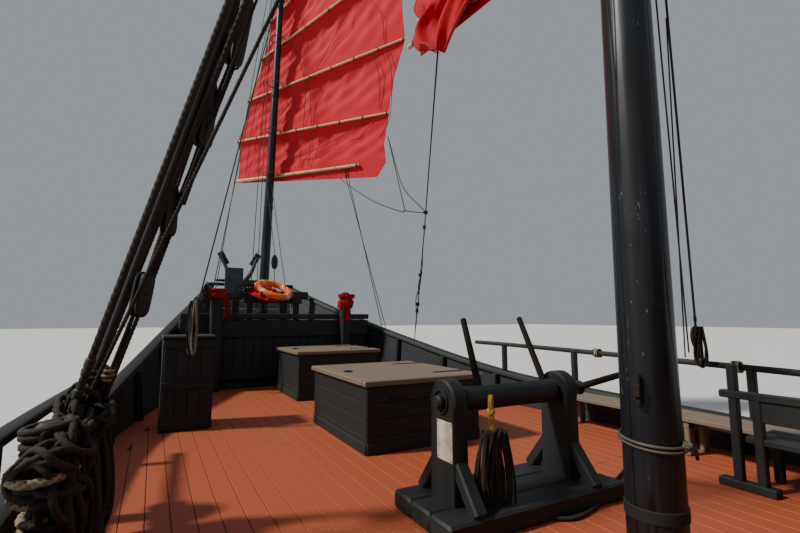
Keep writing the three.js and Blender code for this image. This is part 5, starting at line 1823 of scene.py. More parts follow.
def make_life_ring():
    """A ring with four bands round it and a grab line that stands off between them."""
    across, upward, outward = ring_axes()
    middle = np.array(RING["middle"])
    angle = circle_angles(64)
    form = Form()
    turn = circle_angles(20)[:, None]

    def rings(angles, thick):
        """Circles round the ring's tube at angles about its middle."""
        ways = np.cos(angles)[:, None] * across + np.sin(angles)[:, None] * upward
        reach = RING["radius"] + thick * np.cos(turn)
        return middle + ways[:, None] * reach + outward * (thick * np.sin(turn))

    lofts(form, rings(angle, RING["thick"]), (), 0.5, 0, ends=False)
    for place in range(4):
        start = (place + 0.5) * math.pi / 2
        lofts(form, rings(np.linspace(start - 0.11, start + 0.11, 9), RING["thick"] + 0.002), (), 0.5, 1)
    form.build("ring_body", "ring_orange pale_board", replaced=("life_ring",))
    line = Form()
    steps = circle_angles(96)
    slack = 0.012 + 0.02 * np.abs(np.sin(2 * (steps - math.pi / 4)))
    reach = RING["radius"] + RING["thick"] + slack
    path = middle + reach[:, None] * (np.cos(steps)[:, None] * across + np.sin(steps)[:, None] * upward)
    tube(line, path, 0.005, 8, closed=True)
    line.build("ring_grab_line", "rope_pale")


# Masts

MASTS = {
    "mainmast": {"foot": (0.0, -0.3, DECK), "lean": 0.0, "length": 13.5, "low": 0.135, "top": 0.070},
    "foremast": {"foot": (-0.095, 8.33, FOREDECK), "lean": 1.4, "length": 9.3, "low": 0.108, "top": 0.060},
    "mizzenmast": {"foot": (-1.45, -8.7, POOP), "lean": 0.0, "length": 6.7, "low": 0.085, "top": 0.045},
}


def mast_up(mast):
    """The direction of a mast's axis."""
    lean = math.radians(MASTS[mast]["lean"])
    return np.array([math.sin(lean), 0, math.cos(lean)])


def mast_at(mast, above):
    """The mast's axis and its radius a distance above its foot."""
    data = MASTS[mast]
    place = np.array(data["foot"]) + mast_up(mast) * np.asarray(above)[..., None]
    return place, data["low"] + (data["top"] - data["low"]) * np.asarray(above) / data["length"]


def around_mast(mast, above, reach):
    """A level circle round a mast, a reach out from its surface."""
    middle, radius = mast_at(mast, above)
    angle = circle_angles(40)
    offset = np.stack([np.cos(angle), np.sin(angle), 0 * angle], -1) * (radius + reach)
    return middle + offset


# Iron bands: heights above the mast's foot
MAST_BANDS = {
    "mainmast": (0.35, 3.2, 6.4, 9.6, 12.7), "foremast": (0.3, 2.6, 5.2, 8.8), "mizzenmast": (0.3, 3.2, 6.3),
}
# Profiles of bands round a pole: places along it and heights above its surface
IRON_BAND = ((-0.03, 0), (-0.026, 0.006), (0.026, 0.006), (0.03, 0))
COLLAR = ((-0.045, 0.03), (-0.04, 0.035), (0.02, 0.035), (0.045, 0.012))
SPAR_BAND = ((-0.02, 0), (-0.017, 0.004), (0.017, 0.004), (0.02, 0))


def make_masts():
    """Round tapering masts with iron bands, a drawn-in head and a wooden collar at the deck."""
    for name, data in MASTS.items():
        form = Form()
        foot = 0.012 if data["lean"] else 0.002
        above = np.concatenate([np.linspace(foot, data["length"] - 0.04, 70), [data["length"] - 0.01]])
        path, radius = mast_at(name, above)
        radius[-1] *= 0.7
        tube(form, path, radius, 40, 0.5, round_ends=False)
        for z in MAST_BANDS[name]:
            middle, radius = mast_at(name, z)
            band(form, middle, mast_up(name), radius, IRON_BAND)
        middle, radius = mast_at(name, foot + 0.05)
        band(form, middle, mast_up(name), radius, COLLAR, tint=0.3, material=0)
        form.build(f"{name}_pole", "mast_paint iron", replaced=(name,))


TIE = {"z": 1.665, "reach": 0.142, "radius": 0.0075}
CLEAT = {"way": (-0.96, -0.28), "low": 1.84, "high": 1.99}
CABLE = [(1.30, 0.80), (1.048, 0.685), (0.556, 0.457), (0.254, 0.376), (0.12, 0.42), (0.04, 0.50)]


def make_mast_gear():
    """A pale rope tied round the mainmast, a wooden cleat on it, and a cable that lies on the deck."""
    form = Form()
    middle = (*MASTS["mainmast"]["foot"][:2], TIE["z"])
    coil(form, middle, WAY_X, (0, 1, 0.10), TIE["reach"], TIE["reach"], 2, 0.018, TIE["radius"], 411)
    knot = np.array(middle) + (0.03, -TIE["reach"] - 0.006, 0)
    for seed, way in enumerate(((1, 0, 0.4), (1, 0, -0.5))):
        coil(form, knot, way, (0, 1, 0.4), 0.019, 0.014, 2, 0.013, 0.007, 412 + seed)
    tube(form, curved([knot, knot + (0.05, -0.01, -0.02), knot + (0.075, 0.0, -0.07)], 12), 0.008, 8)
    form.build("mast_tie", "rope_grey")
    form = Form()
    out = unit(np.array([*CLEAT["way"], 0.0]))
    stem = np.array([*MASTS["mainmast"]["foot"][:2], 0.0]) + out * 0.155
    middle = (CLEAT["low"] + CLEAT["high"]) / 2
    timbers(form, [(stem + (0, 0, CLEAT["low"]), stem + (0, 0, CLEAT["high"]), 0.026, 0.024)], 0.006,
            tuple(out), seed=414)
    timbers(form, [(stem + (0, 0, middle - 0.03), stem + (0, 0, middle + 0.03), 0.03, 0.05)], 0.004,
            tuple(out), seed=415)
    form.build("mast_cleat", "spike_wood")
    form = Form()
    cable = np.array([(x, y, DECK + 0.016) for x, y in CABLE])
    rope(form, curved(cable, 60), 0.013, 10)
    form.build("deck_cable", "rope_dark")


# Sails

# chord is the angle of the chord off the middle line, in degrees; clear the cloth's distance from the
# mast's axis; mesh the columns and each panel's rows; boom and yard the radius at the luff and at the
# leech and how far the pole passes the leech. A row is a batten: luff, luff height, leech and leech
# height, in metres along the chord and up the mast.
SAILS = {
    "mainsail": {
        "mast": "mainmast", "chord": 13.0, "clear": 0.25, "batten": 0.032, "belly": 0.15, "boom_row": 1,
        "mesh": (110, 16), "clew": 0.10,
        "boom": (0.022, 0.048, -0.3), "yard": (0.06, 0.048, 0.08),
        "rows": [
            (-1.83, 3.59, 5.20, 4.59), (-1.85, 3.69, 5.20, 4.69), (-1.77, 3.90, 5.30, 4.96),
            (-1.75, 5.05, 5.45, 6.50), (-1.60, 6.25, 5.40, 8.10), (-1.40, 7.45, 5.00, 9.75),
            (-1.15, 8.60, 4.20, 11.3), (-0.95, 9.70, 2.90, 12.7),
        ],
    },
    "foresail": {
        "mast": "foremast", "chord": 38.6, "clear": 0.20, "batten": 0.027, "belly": 0.12, "boom_row": 1,
        "mesh": (140, 22), "clew": 0.27,
        "boom": (0.038, 0.030, -0.59), "yard": (0.042, 0.034, 0.08),
        "rows": [
            (-1.09, 4.44, 2.62, 4.19), (-1.10, 4.466, 2.76, 4.476), (-1.20, 5.47, 2.80, 5.532),
            (-0.96, 6.45, 3.13, 7.118), (-0.61, 7.45, 3.08, 9.115), (-0.42, 8.35, 2.50, 10.60),
            (-0.28, 9.10, 1.50, 11.35),
        ],
    },
    "mizzensail": {
        "mast": "mizzenmast", "chord": 13.0, "clear": 0.16, "batten": 0.022, "belly": 0.07, "boom_row": 0,
        "mesh": (70, 14), "clew": 0.10,
        "boom": (0.032, 0.026, -0.3), "yard": (0.034, 0.027, 0.08),
        "rows": [
            (-0.70, 1.50, 2.55, 1.70), (-0.72, 2.25, 2.70, 2.70), (-0.65, 2.95, 2.65, 3.75),
            (-0.52, 3.60, 2.35, 4.80), (-0.40, 4.20, 1.50, 5.70),
        ],
    },
}
SAIL_BASES = {"mainsail": DECK, "foresail": DECK, "mizzensail": POOP}
CLOTH = 0.014


def sail_axes(sail):
    """A sail's directions: along its chord to the leech, up its mast and away from it, and its zero."""
    data = SAILS[sail]
    angle = math.radians(data["chord"])
    rise = mast_up(data["mast"])
    along = np.array([math.sin(angle), -math.cos(angle), 0.0])
    along = unit(along - rise * (along @ rise))
    away = unit(np.cross(along, rise))
    away = away if away[0] > 0 else -away
    foot = np.array(MASTS[data["mast"]]["foot"])
    foot = foot + rise * (SAIL_BASES[sail] - foot[2]) / rise[2]
    return along, rise, away, foot


def sail_point(sail, u, v, out):
    """Points at places along a sail's chord and up its mast, a distance out from the mast's axis."""
    along, rise, away, foot = sail_axes(sail)
    u, v, out = np.broadcast_arrays(np.asarray(u, float), v, out)
    return foot + u[..., None] * along + v[..., None] * rise + out[..., None] * away


def cloth_place(sail, chordwise, panelwise):
    """Where the sail's even surface lies: chord place, height and belly at shares of both ways."""
    data = SAILS[sail]
    rows = np.array(data["rows"])
    panels = len(rows) - 1
    panel = np.minimum(panels - 1, np.floor(panelwise * panels)).astype(int)
    part = panelwise * panels - panel
    low, high = rows[panel], rows[panel + 1]
    luff, luff_up, leech, leech_up = np.moveaxis(low + (high - low) * part[..., None], -1, 0)
    hollow = np.sin(math.pi * part) * np.minimum(1, (high[..., 1] - low[..., 1]) / 0.9)
    forward = luff + 0.04 * hollow
    after = leech - 0.07 * hollow
    u = forward + (after - forward) * chordwise
    v = luff_up + (leech_up - luff_up) * chordwise
    return u, v, hollow, panel, part


def cloth_grid(sail, columns, rows_each, seed):
    """The sail's cloth as a grid: the bellied surface plus wrinkles, with a rounded clew.

    The belly is deepest at seven tenths of each panel, sin(pi part ^ 2), and hangs in scallops
    below the batten. The wrinkles are three families of sines: pulls that fan out from the
    battens' ends, slack folds along each batten, and small crumples, all fading to nothing at the
    battens themselves.
    """
    data = SAILS[sail]
    panels = len(data["rows"]) - 1
    generator = np.random.default_rng(seed)
    c = np.linspace(0, 1, columns)[None]
    p = np.linspace(0, 1, panels * rows_each + 1)[:, None]
    c, p = np.broadcast_arrays(c, p)
    u, v, hollow, panel, part = cloth_place(sail, c, p)
    tall = np.minimum(1, hollow / np.maximum(0.001, np.sin(math.pi * part)))
    ties = c * (data["rows"][0][2] + 2) / 0.52
    lobes = 0.82 + 0.18 * np.abs(np.sin(math.pi * ties))
    belly = data["belly"] * tall * np.sin(math.pi * part ** 2) * (0.35 + 0.65 * np.sin(math.pi * c)) * lobes
    phase = generator.uniform(0, 6.28, (panels, 6))[panel]
    free = np.sin(math.pi * part) ** 0.7 * np.minimum(1, hollow * 1.5)
    pulls = 0.017 * np.sin(11 * (c * 3.1 + 0.9 * part) + phase[..., 0]) * np.sin(math.pi * part) ** 2
    pulls += 0.012 * np.sin(17 * (c * 2.3 - 1.2 * part) + phase[..., 1])
    folds = 0.010 * np.sin(9 * part * 2 + 5 * c + phase[..., 2]) * (1 - part) ** 0.8
    crumple = 0.004 * np.sin(53 * c + 9 * part + phase[..., 3]) * np.sin(14 * part + phase[..., 4])
    scallop = 0.010 * np.exp(-((part - 0.04) / 0.10) ** 2) * np.cos(2 * math.pi * ties)
    ease = 1 - np.exp(-c * 30) * 0.5
    out = data["clear"] + belly + free * (pulls + folds + crumple) * ease
    out = out + hollow.clip(0, 1) * scallop * np.sign(part)
    return sail_point(sail, *rounded_clew(data, u, v), out)


def rounded_clew(data, u, v):
    """Rounds the cloth's lower after corner: the square in it is drawn in to a quarter circle.

    With x and y the shares of the square's side, its point goes to x sqrt(1 - y^2 / 2) and
    y sqrt(1 - x^2 / 2).
    """
    reach = data["clew"]
    low, high = data["rows"][0][3], data["rows"][1][3]
    side, foot = data["rows"][1][2] - reach, min(low, high) + reach
    x = ((u - side) / reach).clip(0, 1)
    y = ((foot - v) / reach).clip(0, 1)
    within = (x > 0) & (y > 0)
    round_u = side + reach * x * np.sqrt(1 - y ** 2 / 2)
    round_v = foot - reach * y * np.sqrt(1 - x ** 2 / 2)
    return np.where(within, round_u, u), np.where(within, round_v, v)


LASH_STEP = {"mainsail": 0.58, "foresail": 0.55, "mizzensail": 0.5}


def make_sails():
    """Each sail's cloth, its battens with their lashings, the boltrope, boom, yard and mast hoops."""
    for index, (sail, data) in enumerate(SAILS.items()):
        panels = len(data["rows"]) - 1
        form = Form()
        grid = cloth_grid(sail, *data["mesh"], 301 + index)
        plate(form, grid, 0.006)
        cloth = form.build(f"{sail}_canvas", "sail_red", sail, (f"{sail}_cloth",), angle=80)
        declare_sheet(cloth, grid, "stretched")
        make_battens(sail, data, panels)
        make_spars(sail, data, panels)
        make_parrels(sail, data, panels)
        make_edges(sail, grid)
    make_sail_lines()
    make_flap()


# Thin lines before the foresail: places along its chord and up its mast
SAIL_LINES = [
    [(1.723, 8.056), (0.977, 6.867), (0.464, 6.368), (-0.015, 5.844)],
    [(2.403, 8.111), (2.615, 7.703), (2.668, 7.151), (2.84, 6.549), (2.874, 5.951), (2.833, 5.378),
     (2.633, 5.013)],
    [(2.401, 6.91), (2.551, 6.498), (2.604, 6.002), (2.576, 5.676)],
    [(0.415, 7.984), (0.631, 7.432), (0.85, 6.775), (0.859, 6.174), (0.909, 5.693), (0.90, 4.62)],
    [(2.369, 5.491), (1.577, 5.13), (0.776, 4.898), (0.194, 4.815)],
    [(0.30, 7.9), (0.52, 7.2), (0.70, 6.5), (0.71, 5.6), (0.66, 4.62)],
    [(-0.45, 8.0), (-0.62, 6.7), (-0.78, 5.6), (-0.86, 4.60)],
    [(-0.30, 8.0), (-0.42, 6.7), (-0.50, 5.6), (-0.52, 4.60)],
]
# The bunched cloth's two edges, from its head down, in the mainsail's own places
FLAP_FORE = [
    (-1.70, 4.30), (-1.76, 4.15), (-1.79, 4.07), (-1.83, 3.985), (-1.78, 3.88), (-1.69, 3.80), (-1.82, 3.735),
    (-1.835, 3.66), (-1.77, 3.56), (-1.66, 3.52), (-1.55, 3.44),
]
FLAP_AFT = [(-0.60, 4.24), (-0.78, 4.08), (-1.108, 3.69), (-1.401, 3.357)]


def make_sail_lines():
    """Lines that hang before the foresail on the mast's side."""
    form = Form()
    for line in SAIL_LINES:
        u, v = np.array(line).T
        tube(form, curved(sail_point("foresail", u, v, 0.165), 40), 0.006, 7, 0.5)
    form.build("foresail_lines", "rope_dark", "foresail")


def make_flap():
    """The bunched red cloth at the mainsail's forward corner: folds that run along it, as sines."""
    across = np.linspace(0, 1, 90)[None, :, None]
    fore = curved(np.array(FLAP_FORE), 60)[:, None]
    aft = curved(np.array(FLAP_AFT), 60)[:, None]
    u, v = np.moveaxis(between(fore, aft, across), -1, 0)
    a = across[..., 0]
    down = np.linspace(0, 1, 60)[:, None]
    folds = 0.030 * np.sin(15 * a + 2.5 * down) + 0.014 * np.sin(31 * a - 3 * down + 1.3)
    folds += 0.012 * np.sin(9 * down + 4 * a)
    out = 0.105 + folds * np.minimum(1, 8 * a * (1.1 - a)) + 0.05 * np.exp(-(a / 0.06) ** 2)
    grid = sail_point("mainsail", u, v, out)
    form = Form()
    plate(form, grid, 0.005)
    # Its finish is the sails' own cloth made darker, as painted shade on this bunched cloth
    declare_sheet(form.build("mainsail_flap", "bundle_red", "mainsail", angle=80), grid, "gathered")


def make_battens(sail, data, panels):
    """Round battens across the cloth, each tied to it by short turns of dark cord."""
    form = Form()
    ties = Form()
    generator = np.random.default_rng(331)
    radius = data["batten"]
    out = data["clear"] - radius
    for i, (luff, luff_up, leech, leech_up) in enumerate(data["rows"]):
        if i in (0, panels, data["boom_row"]):
            continue
        ends = [sail_point(sail, luff - 0.06, luff_up, out), sail_point(sail, leech + 0.04, leech_up, out)]
        t = np.linspace(0, 1, 40)
        thick = (radius - 0.001) * (0.93 + 0.05 * np.sin(9 * t + i) - 0.12 * np.abs(2 * t - 1) ** 3)
        tube(form, between(*ends, t[:, None]), thick, 14, generator.random())
        add_ties(ties, sail, (luff, luff_up, leech, leech_up), out, radius, generator)
    form.build(f"{sail}_battens", "batten_wood", sail)
    ties.build(f"{sail}_ties", "rope_dark", sail)


def add_ties(form, sail, row, out, radius, generator):
    """Two turns of cord round a pole and through the cloth at every step along it."""
    luff, luff_up, leech, leech_up = row
    along, rise, away, _ = sail_axes(sail)
    length = leech - luff
    slope = (leech_up - luff_up) / length
    ahead = unit(along + rise * slope)
    square = unit(rise - ahead * (rise @ ahead))
    count = max(3, int(length / LASH_STEP[sail]))
    angle = np.linspace(0, 4 * math.pi, 21)
    reach = radius + 0.004
    shift = (angle / (4 * math.pi) - 0.5) * 0.022
    for k in range(count + 1):
        u = luff + 0.03 + (length - 0.06) * k / count
        middle = sail_point(sail, u, luff_up + slope * (u - luff), out)
        turns = (middle + shift[:, None] * ahead + (np.cos(angle) * reach)[:, None] * square
                 + (np.sin(angle) * (reach + 0.002))[:, None] * away)
        tube(form, turns, 0.0045, 6, generator.random())
        tail = [turns[-1], turns[-1] - away * 0.012 - rise * 0.02, turns[-1] - away * 0.014 - rise * 0.06]
        tube(form, curved(tail, 7), 0.0035, 6, 0.4)


def make_spars(sail, data, panels):
    """The boom and the yard, tapering, with a band near each end, laced to the cloth."""
    for kind, index in (("boom", data["boom_row"]), ("yard", panels)):
        fore, aft, over = data[kind]
        luff, luff_up, leech, leech_up = data["rows"][index]
        out = data["clear"] - CLOTH / 2 - max(fore, aft) - 0.0003
        ends = [sail_point(sail, luff - 0.09, luff_up, out), sail_point(sail, leech + over, leech_up, out)]
        t = np.linspace(0, 1, 48)
        thick = fore + (aft - fore) * t
        form = Form()
        tube(form, between(*ends, t[:, None]), thick * (0.985 + 0.015 * np.sin(14 * t)), 20, 0.35)
        for share in (0.012, 0.985):
            radius = fore + (aft - fore) * share
            band(form, between(*ends, share), unit(ends[1] - ends[0]), radius, SPAR_BAND, 20)
        form.build(f"{sail}_{kind}_pole", "batten_wood iron", sail, (f"{sail}_{kind}",))
        lacing = Form()
        laced = (luff, luff_up, leech + min(over, 0), leech_up)
        add_lacing(lacing, sail, laced, out, max(fore, aft), np.random.default_rng(341))
        lacing.build(f"{sail}_{kind}_lacing", "rope_pale", sail)


def add_lacing(form, sail, row, out, radius, generator):
    """A pale cord that winds along a spar through the cloth's eyelets."""
    luff, luff_up, leech, leech_up = row
    turns = max(4, int((leech - luff) / 0.34))
    t = np.linspace(0, 1, turns * 18 + 1)
    angle = 2 * math.pi * turns * t
    u = luff + 0.02 + (leech - luff - 0.04) * t
    v = luff_up + (leech_up - luff_up) * t + np.sin(angle) * (radius + 0.005)
    path = sail_point(sail, u, v, out + np.cos(angle) * (radius + 0.005))
    tube(form, path, 0.0055, 7, generator.random())


def make_edges(sail, grid):
    """A boltrope sewn along the sail's luff, leech, foot and head."""
    form = Form()
    edge = np.concatenate([grid[:, 0], grid[-1, 1:], grid[-2::-1, -1], grid[0, -2:0:-1]])
    tube(form, edge, 0.009, 8, 0.4, closed=True)
    form.build(f"{sail}_boltrope", "sail_red", sail)


def make_parrels(sail, data, panels):
    """Rope hoops at the battens, circles about the mast's axis, so that they turn with the sail."""
    form = Form()
    along, rise, away, foot = sail_axes(sail)
    radius = data["clear"] - data["batten"]
    for i, (luff, luff_up, leech, leech_up) in enumerate(data["rows"]):
        if i in (0, panels):
            continue
        slope = (leech_up - luff_up) / (leech - luff)
        height = luff_up + slope * (0 - luff)
        angle = np.linspace(-math.pi / 2 + 0.02, 1.5 * math.pi - 0.02, 60)
        level = height + 0.004 * np.sin(angle * 3)
        path = (foot + (np.cos(angle) * radius)[:, None] * along + (np.sin(angle) * radius)[:, None] * -away
                + level[:, None] * rise)
        tube(form, path, 0.0085, 8, 0.5, closed=True)
    form.build(f"{sail}_parrels", "rope_grey", sail)


# Standing and running rigging

# Shrouds: the mast, the foot, the height of the head and the radius
STAYS = {
    "main_shroud_port_fore": ("mainmast", (-2.52, 1.6, 1.612), 8.7, 0.021),
    "main_shroud_port_aft": ("mainmast", (-2.545, 1.3, 1.612), 9.4, 0.021),
    "main_shroud_starboard": ("mainmast", (2.64, 0.88, 1.83), 13.35, 0.012),
    "fore_shroud_port": ("foremast", (-1.6, 6.56, 2.0), 8.7, 0.014),
}


def stay_head(mast, foot, height, radius):
    """Where a stay meets its mast: beside it, at a height above the main deck's level."""
    above = height - MASTS[mast]["foot"][2] + DECK
    middle, reach = mast_at(mast, above)
    return middle + [math.copysign(float(reach) + radius + 0.002, foot[0]), 0, 0]


def make_stays():
    """Laid shrouds from the bulwark's gear to the masts, with a seized eye at each head."""
    for name, (mast, foot, height, radius) in STAYS.items():
        form = Form()
        head = stay_head(mast, foot, height, radius)
        rope(form, [foot, head], radius * 0.98, sides=9, rings_each=2 if radius < 0.02 else 3)
        ahead = unit(head - np.array(foot))
        for share in (0.25, 0.42):
            wrap = np.array(foot) + ahead * share
            path = wrap + ahead * np.linspace(-0.03, 0.03, 6)[:, None]
            tube(form, path, radius * 1.22, 12, 0.2, 1)
        above = height - MASTS[mast]["foot"][2] + DECK
        loop = around_mast(mast, above + 0.02, radius)
        tube(form, loop, radius * 0.9, 10, 0.4, closed=True)
        form.build(f"{name}_rope", "rope_dark served_rope", replaced=(name,))


def wooden_block(form, middle, long, wide, thick, ahead, face, square=1.0):
    """A pulley block: a wooden shell with a slot, its sheave, a pin and a rope strop.

    The shell's outline is cos and sin raised to the power square, an oval at 1 and boxy below.
    """
    ahead = unit(np.asarray(ahead, float))
    face = unit(np.asarray(face, float) - ahead * (np.asarray(face, float) @ ahead))
    across = np.cross(ahead, face)
    angle = circle_angles(28)
    bulge = np.stack([np.cos(angle), np.sin(angle)], -1)
    outline = np.sign(bulge) * np.abs(bulge) ** square * np.array([long / 2, wide / 2])
    for sign in (-1, 1):
        places = sign * thick * np.array([0.16, 0.2, 0.42, 0.5])
        scale = np.array([0.94, 1.0, 1.0, 0.84])
        rings = np.stack([middle + ahead * (outline[:, :1] * s) + across * (outline[:, 1:] * s) + face * d
                          for d, s in zip(places, scale)])
        lofts(form, rings, tuple(range(28)))
    sheave = np.stack([middle + ahead * (np.cos(angle) * wide * 0.4)[:, None]
                       + across * (np.sin(angle) * wide * 0.4)[:, None] + face * d
                       for d in (-thick * 0.13, thick * 0.13)])
    lofts(form, sheave, (), 0.5, 1)
    strop = ahead * outline[:, :1] * (1 + 0.016 / long) + across * outline[:, 1:] * (1 + 0.016 / wide)
    tube(form, middle + strop, 0.008, 8, 0.5, 2, closed=True)
    pin = face * thick * 0.56
    tube(form, [middle - pin, middle, middle + pin], 0.01, 10, material=1)


BLOCK_FINISHES = "black_paint iron rope_dark"
SERVED_STAY = {"foot": (-2.52, 1.57, 1.60), "head": (-0.10, -0.27, 10.5), "radius": 0.027}
# Single lines to port: the foot, the head, the radius and the finish
PORT_LINES = [
    ((-2.42, 1.60, 1.60), (0.0, -0.3, 11.55), 0.012, "rope_grey"),
    ((-2.52, 1.40, 1.60), (-0.08, -0.22, 8.30), 0.012, "rope_dark"),
    ((-2.18, 1.43, 2.48), (-0.07, -0.36, 10.0), 0.009, "rope_dark"),
]
# Long blocks: the head, the foot and the width
LONG_BLOCKS = [
    ((-1.745, 1.10, 4.28), (-1.80, 1.17, 3.84), 0.105),
    ((-1.93, 1.20, 3.72), (-1.94, 1.27, 3.31), 0.100),
    ((-2.10, 1.32, 3.05), (-2.10, 1.38, 2.76), 0.082),
    ((-2.20, 1.30, 2.50), (-2.23, 1.30, 2.27), 0.090),
]
# Doubled lines between the blocks: the start and the end
TACKLES = [
    ((-1.80, 1.17, 3.84), (-1.88, 1.22, 3.57)), ((-1.88, 1.22, 3.57), (-2.04, 1.34, 2.94)),
    ((-1.94, 1.27, 3.31), (-2.05, 1.34, 2.94)), ((-2.10, 1.38, 2.76), (-2.18, 1.43, 2.48)),
    ((-2.18, 1.43, 2.48), (-2.42, 1.42, 1.66)), ((-1.93, 1.20, 3.72), (-0.07, -0.20, 10.1)),
    ((-1.745, 1.10, 4.28), (-0.14, -0.22, 8.9)),
]


def make_port_rigging():
    """The lines and long dark blocks that come down to the bitts on the port side."""
    ropes = {}
    for foot, head, radius, kind in PORT_LINES:
        rope(ropes.setdefault(kind, Form()), [foot, head], radius, sides=9, rings_each=2)
    for start, end in TACKLES:
        for shift in (-0.016, 0.016):
            aside = np.array([shift, 0.0, shift / 2])
            rope(ropes["rope_dark"], [start + aside, end + aside], 0.0125, sides=9, rings_each=2)
    for kind, form in ropes.items():
        form.build(f"port_lines_{kind[5:]}", kind)
    form = Form()
    tube(form, resampled([SERVED_STAY["foot"], SERVED_STAY["head"]], 0.4), SERVED_STAY["radius"], 20, 0.5)
    form.build("served_stay", "served_rope")
    form = Form()
    for head, foot, wide in LONG_BLOCKS:
        head, foot = np.array(head), np.array(foot)
        long = float(np.linalg.norm(head - foot))
        wooden_block(form, (head + foot) / 2, long, wide, wide * 0.8, head - foot, (0.6, -0.8, 0), 0.4)
    form.build("port_blocks", BLOCK_FINISHES)
    make_bitt_turns()


# Turns of rope on the port bitts: the middle, the two directions of their plane, the half-axes,
# how many and how far apart, the rope's radius and whether it is pale
BITT_COILS = [
    ((-2.55, 1.02, 1.560), (1, 0, 0.08), WAY_Y, 0.128, 0.245, 1, 0.040, 0.0205, 1),
    ((-2.55, 1.03, 1.425), (1, 0, -0.05), WAY_Y, 0.118, 0.150, 1, 0.040, 0.0200, 1),
    ((-2.53, 1.06, 1.355), (1, 0, 0.20), WAY_Y, 0.110, 0.140, 1, 0.042, 0.0205, 1),
    ((-2.54, 1.10, 1.240), (1, 0, -0.25), WAY_Y, 0.105, 0.130, 1, 0.042, 0.0180, 1),
    ((-2.55, 1.04, 1.690), (1, 0, 0.1), WAY_Y, 0.100, 0.100, 4, 0.034, 0.0180, 0),
    ((-2.55, 1.82, 1.670), WAY_X, WAY_Y, 0.098, 0.098, 4, 0.034, 0.0180, 0),
    ((-2.55, 0.90, 1.535), WAY_X, (0, 0.25, 1), 0.112, 0.082, 3, 0.036, 0.0190, 0),
    ((-2.55, 1.20, 1.535), WAY_X, WAY_Z, 0.122, 0.090, 4, 0.038, 0.0190, 0),
    ((-2.55, 1.42, 1.535), WAY_X, WAY_Z, 0.118, 0.088, 4, 0.038, 0.0185, 0),
    ((-2.47, 1.56, 1.800), WAY_X, (0, 1, 0.2), 0.058, 0.058, 5, 0.028, 0.0150, 0),
    ((-2.43, 1.50, 1.915), WAY_X, (0, 1, 0.2), 0.060, 0.060, 4, 0.026, 0.0130, 0),
    ((-2.36, 1.44, 1.930), WAY_X, (0, 1, 0.3), 0.032, 0.032, 3, 0.024, 0.0110, 1),
]
# Tangles of rope: the middle, the half-sizes, how many loops and the rope's radius
TANGLES = [
    ((-2.49, 1.06, 1.66), (0.13, 0.20, 0.10), 13, 0.0175),
    ((-2.46, 1.32, 1.72), (0.12, 0.20, 0.13), 12, 0.0165),
    ((-2.44, 1.48, 1.84), (0.07, 0.10, 0.11), 8, 0.0135),
    ((-2.47, 0.90, 1.45), (0.10, 0.12, 0.17), 9, 0.0170),
    ((-2.42, 1.22, 1.20), (0.10, 0.22, 0.12), 8, 0.0170),
    ((-2.54, 0.86, 1.60), (0.12, 0.10, 0.08), 7, 0.0165),
]


def make_bitt_turns():
    """Rope belayed in turns on the posts and the cross rail, and heaped in tangles over them."""
    forms = {"dark": Form(), "pale": Form()}
    for seed, row in enumerate(BITT_COILS):
        coil(forms["pale" if row[-1] else "dark"], *row[:-1], 350 + seed)
    for seed, row in enumerate(TANGLES):
        tangle(forms["dark"], *row, 401 + seed)
    for name, form in forms.items():
        form.build(f"bitt_turns_{name}", f"rope_{name}")


def tangle(form, middle, sizes, count, radius, seed, laid=True):
    """Adds loops of rope in every direction, bent ellipses inside one ellipsoid."""
    generator = np.random.default_rng(seed)
    sizes = np.array(sizes)
    steps = np.linspace(0, 2 * math.pi, 41)[:, None]
    for _ in range(count):
        shift, across, upward, wave = generator.normal(size=(4, 3))
        across = unit(across)
        upward = unit(upward - across * (upward @ across))
        reach, tall = generator.uniform((0.75, 0.4), (1.05, 0.8))
        loop = across * np.cos(steps) * reach + upward * np.sin(steps) * tall
        loop = loop + 0.12 * unit(wave) * np.sin(2 * steps + shift[0])
        path = np.asarray(middle) + sizes * (loop + 0.18 * shift)
        if laid:
            rope(form, path, radius)
        else:
            tube(form, path, radius, 6, generator.random())


# Single lines at the foremast: the foot, the head and the radius
FORE_LINES = [
    ((-0.55, 7.20, 2.68), (-0.16, 8.28, 9.6), 0.007), ((-0.44, 7.20, 2.68), (-0.13, 8.26, 9.9), 0.007),
    ((-1.27, 6.74, 2.72), (-0.17, 8.30, 9.2), 0.008), ((-1.25, 6.66, 2.60), (-0.16, 8.28, 10.2), 0.007),
    ((0.14, 7.20, 2.68), (0.00, 8.20, 5.15), 0.007), ((-0.10, 7.20, 2.68), (-0.10, 7.265, 3.22), 0.007),
    ((-0.10, 7.265, 3.48), (-0.09, 8.21, 5.10), 0.007),
]
# Tangles on the pin rail and the bitts, with the columns of TANGLES
FORE_TANGLES = [
    ((-1.38, 6.52, 2.62), (0.08, 0.05, 0.20), 10, 0.0095),
    ((-1.56, 6.42, 2.36), (0.07, 0.05, 0.18), 9, 0.0095),
    ((-0.62, 7.16, 2.82), (0.15, 0.04, 0.13), 10, 0.0085),
    ((-1.00, 7.12, 2.62), (0.12, 0.04, 0.10), 6, 0.0085),
]


def make_fore_rigging():
    """The foremast's halyards, down to the pin rail, with one block before the mast."""
    form = Form()
    for start, end, radius in FORE_LINES:
        tube(form, resampled([start, end], 0.5), radius, 8, 0.5)
    form.build("fore_halyards", "rope_grey")
    form = Form()
    for seed, row in enumerate(FORE_TANGLES):
        tangle(form, *row, 421 + seed, laid=False)
    form.build("fore_tangles", "rope_dark")
    blocks_form = Form()
    wooden_block(blocks_form, np.array([-0.1, 7.265, 3.35]), 0.26, 0.1, 0.07, (0, 0, 1), (0, -1, 0))
    blocks_form.build("fore_block", BLOCK_FINISHES)


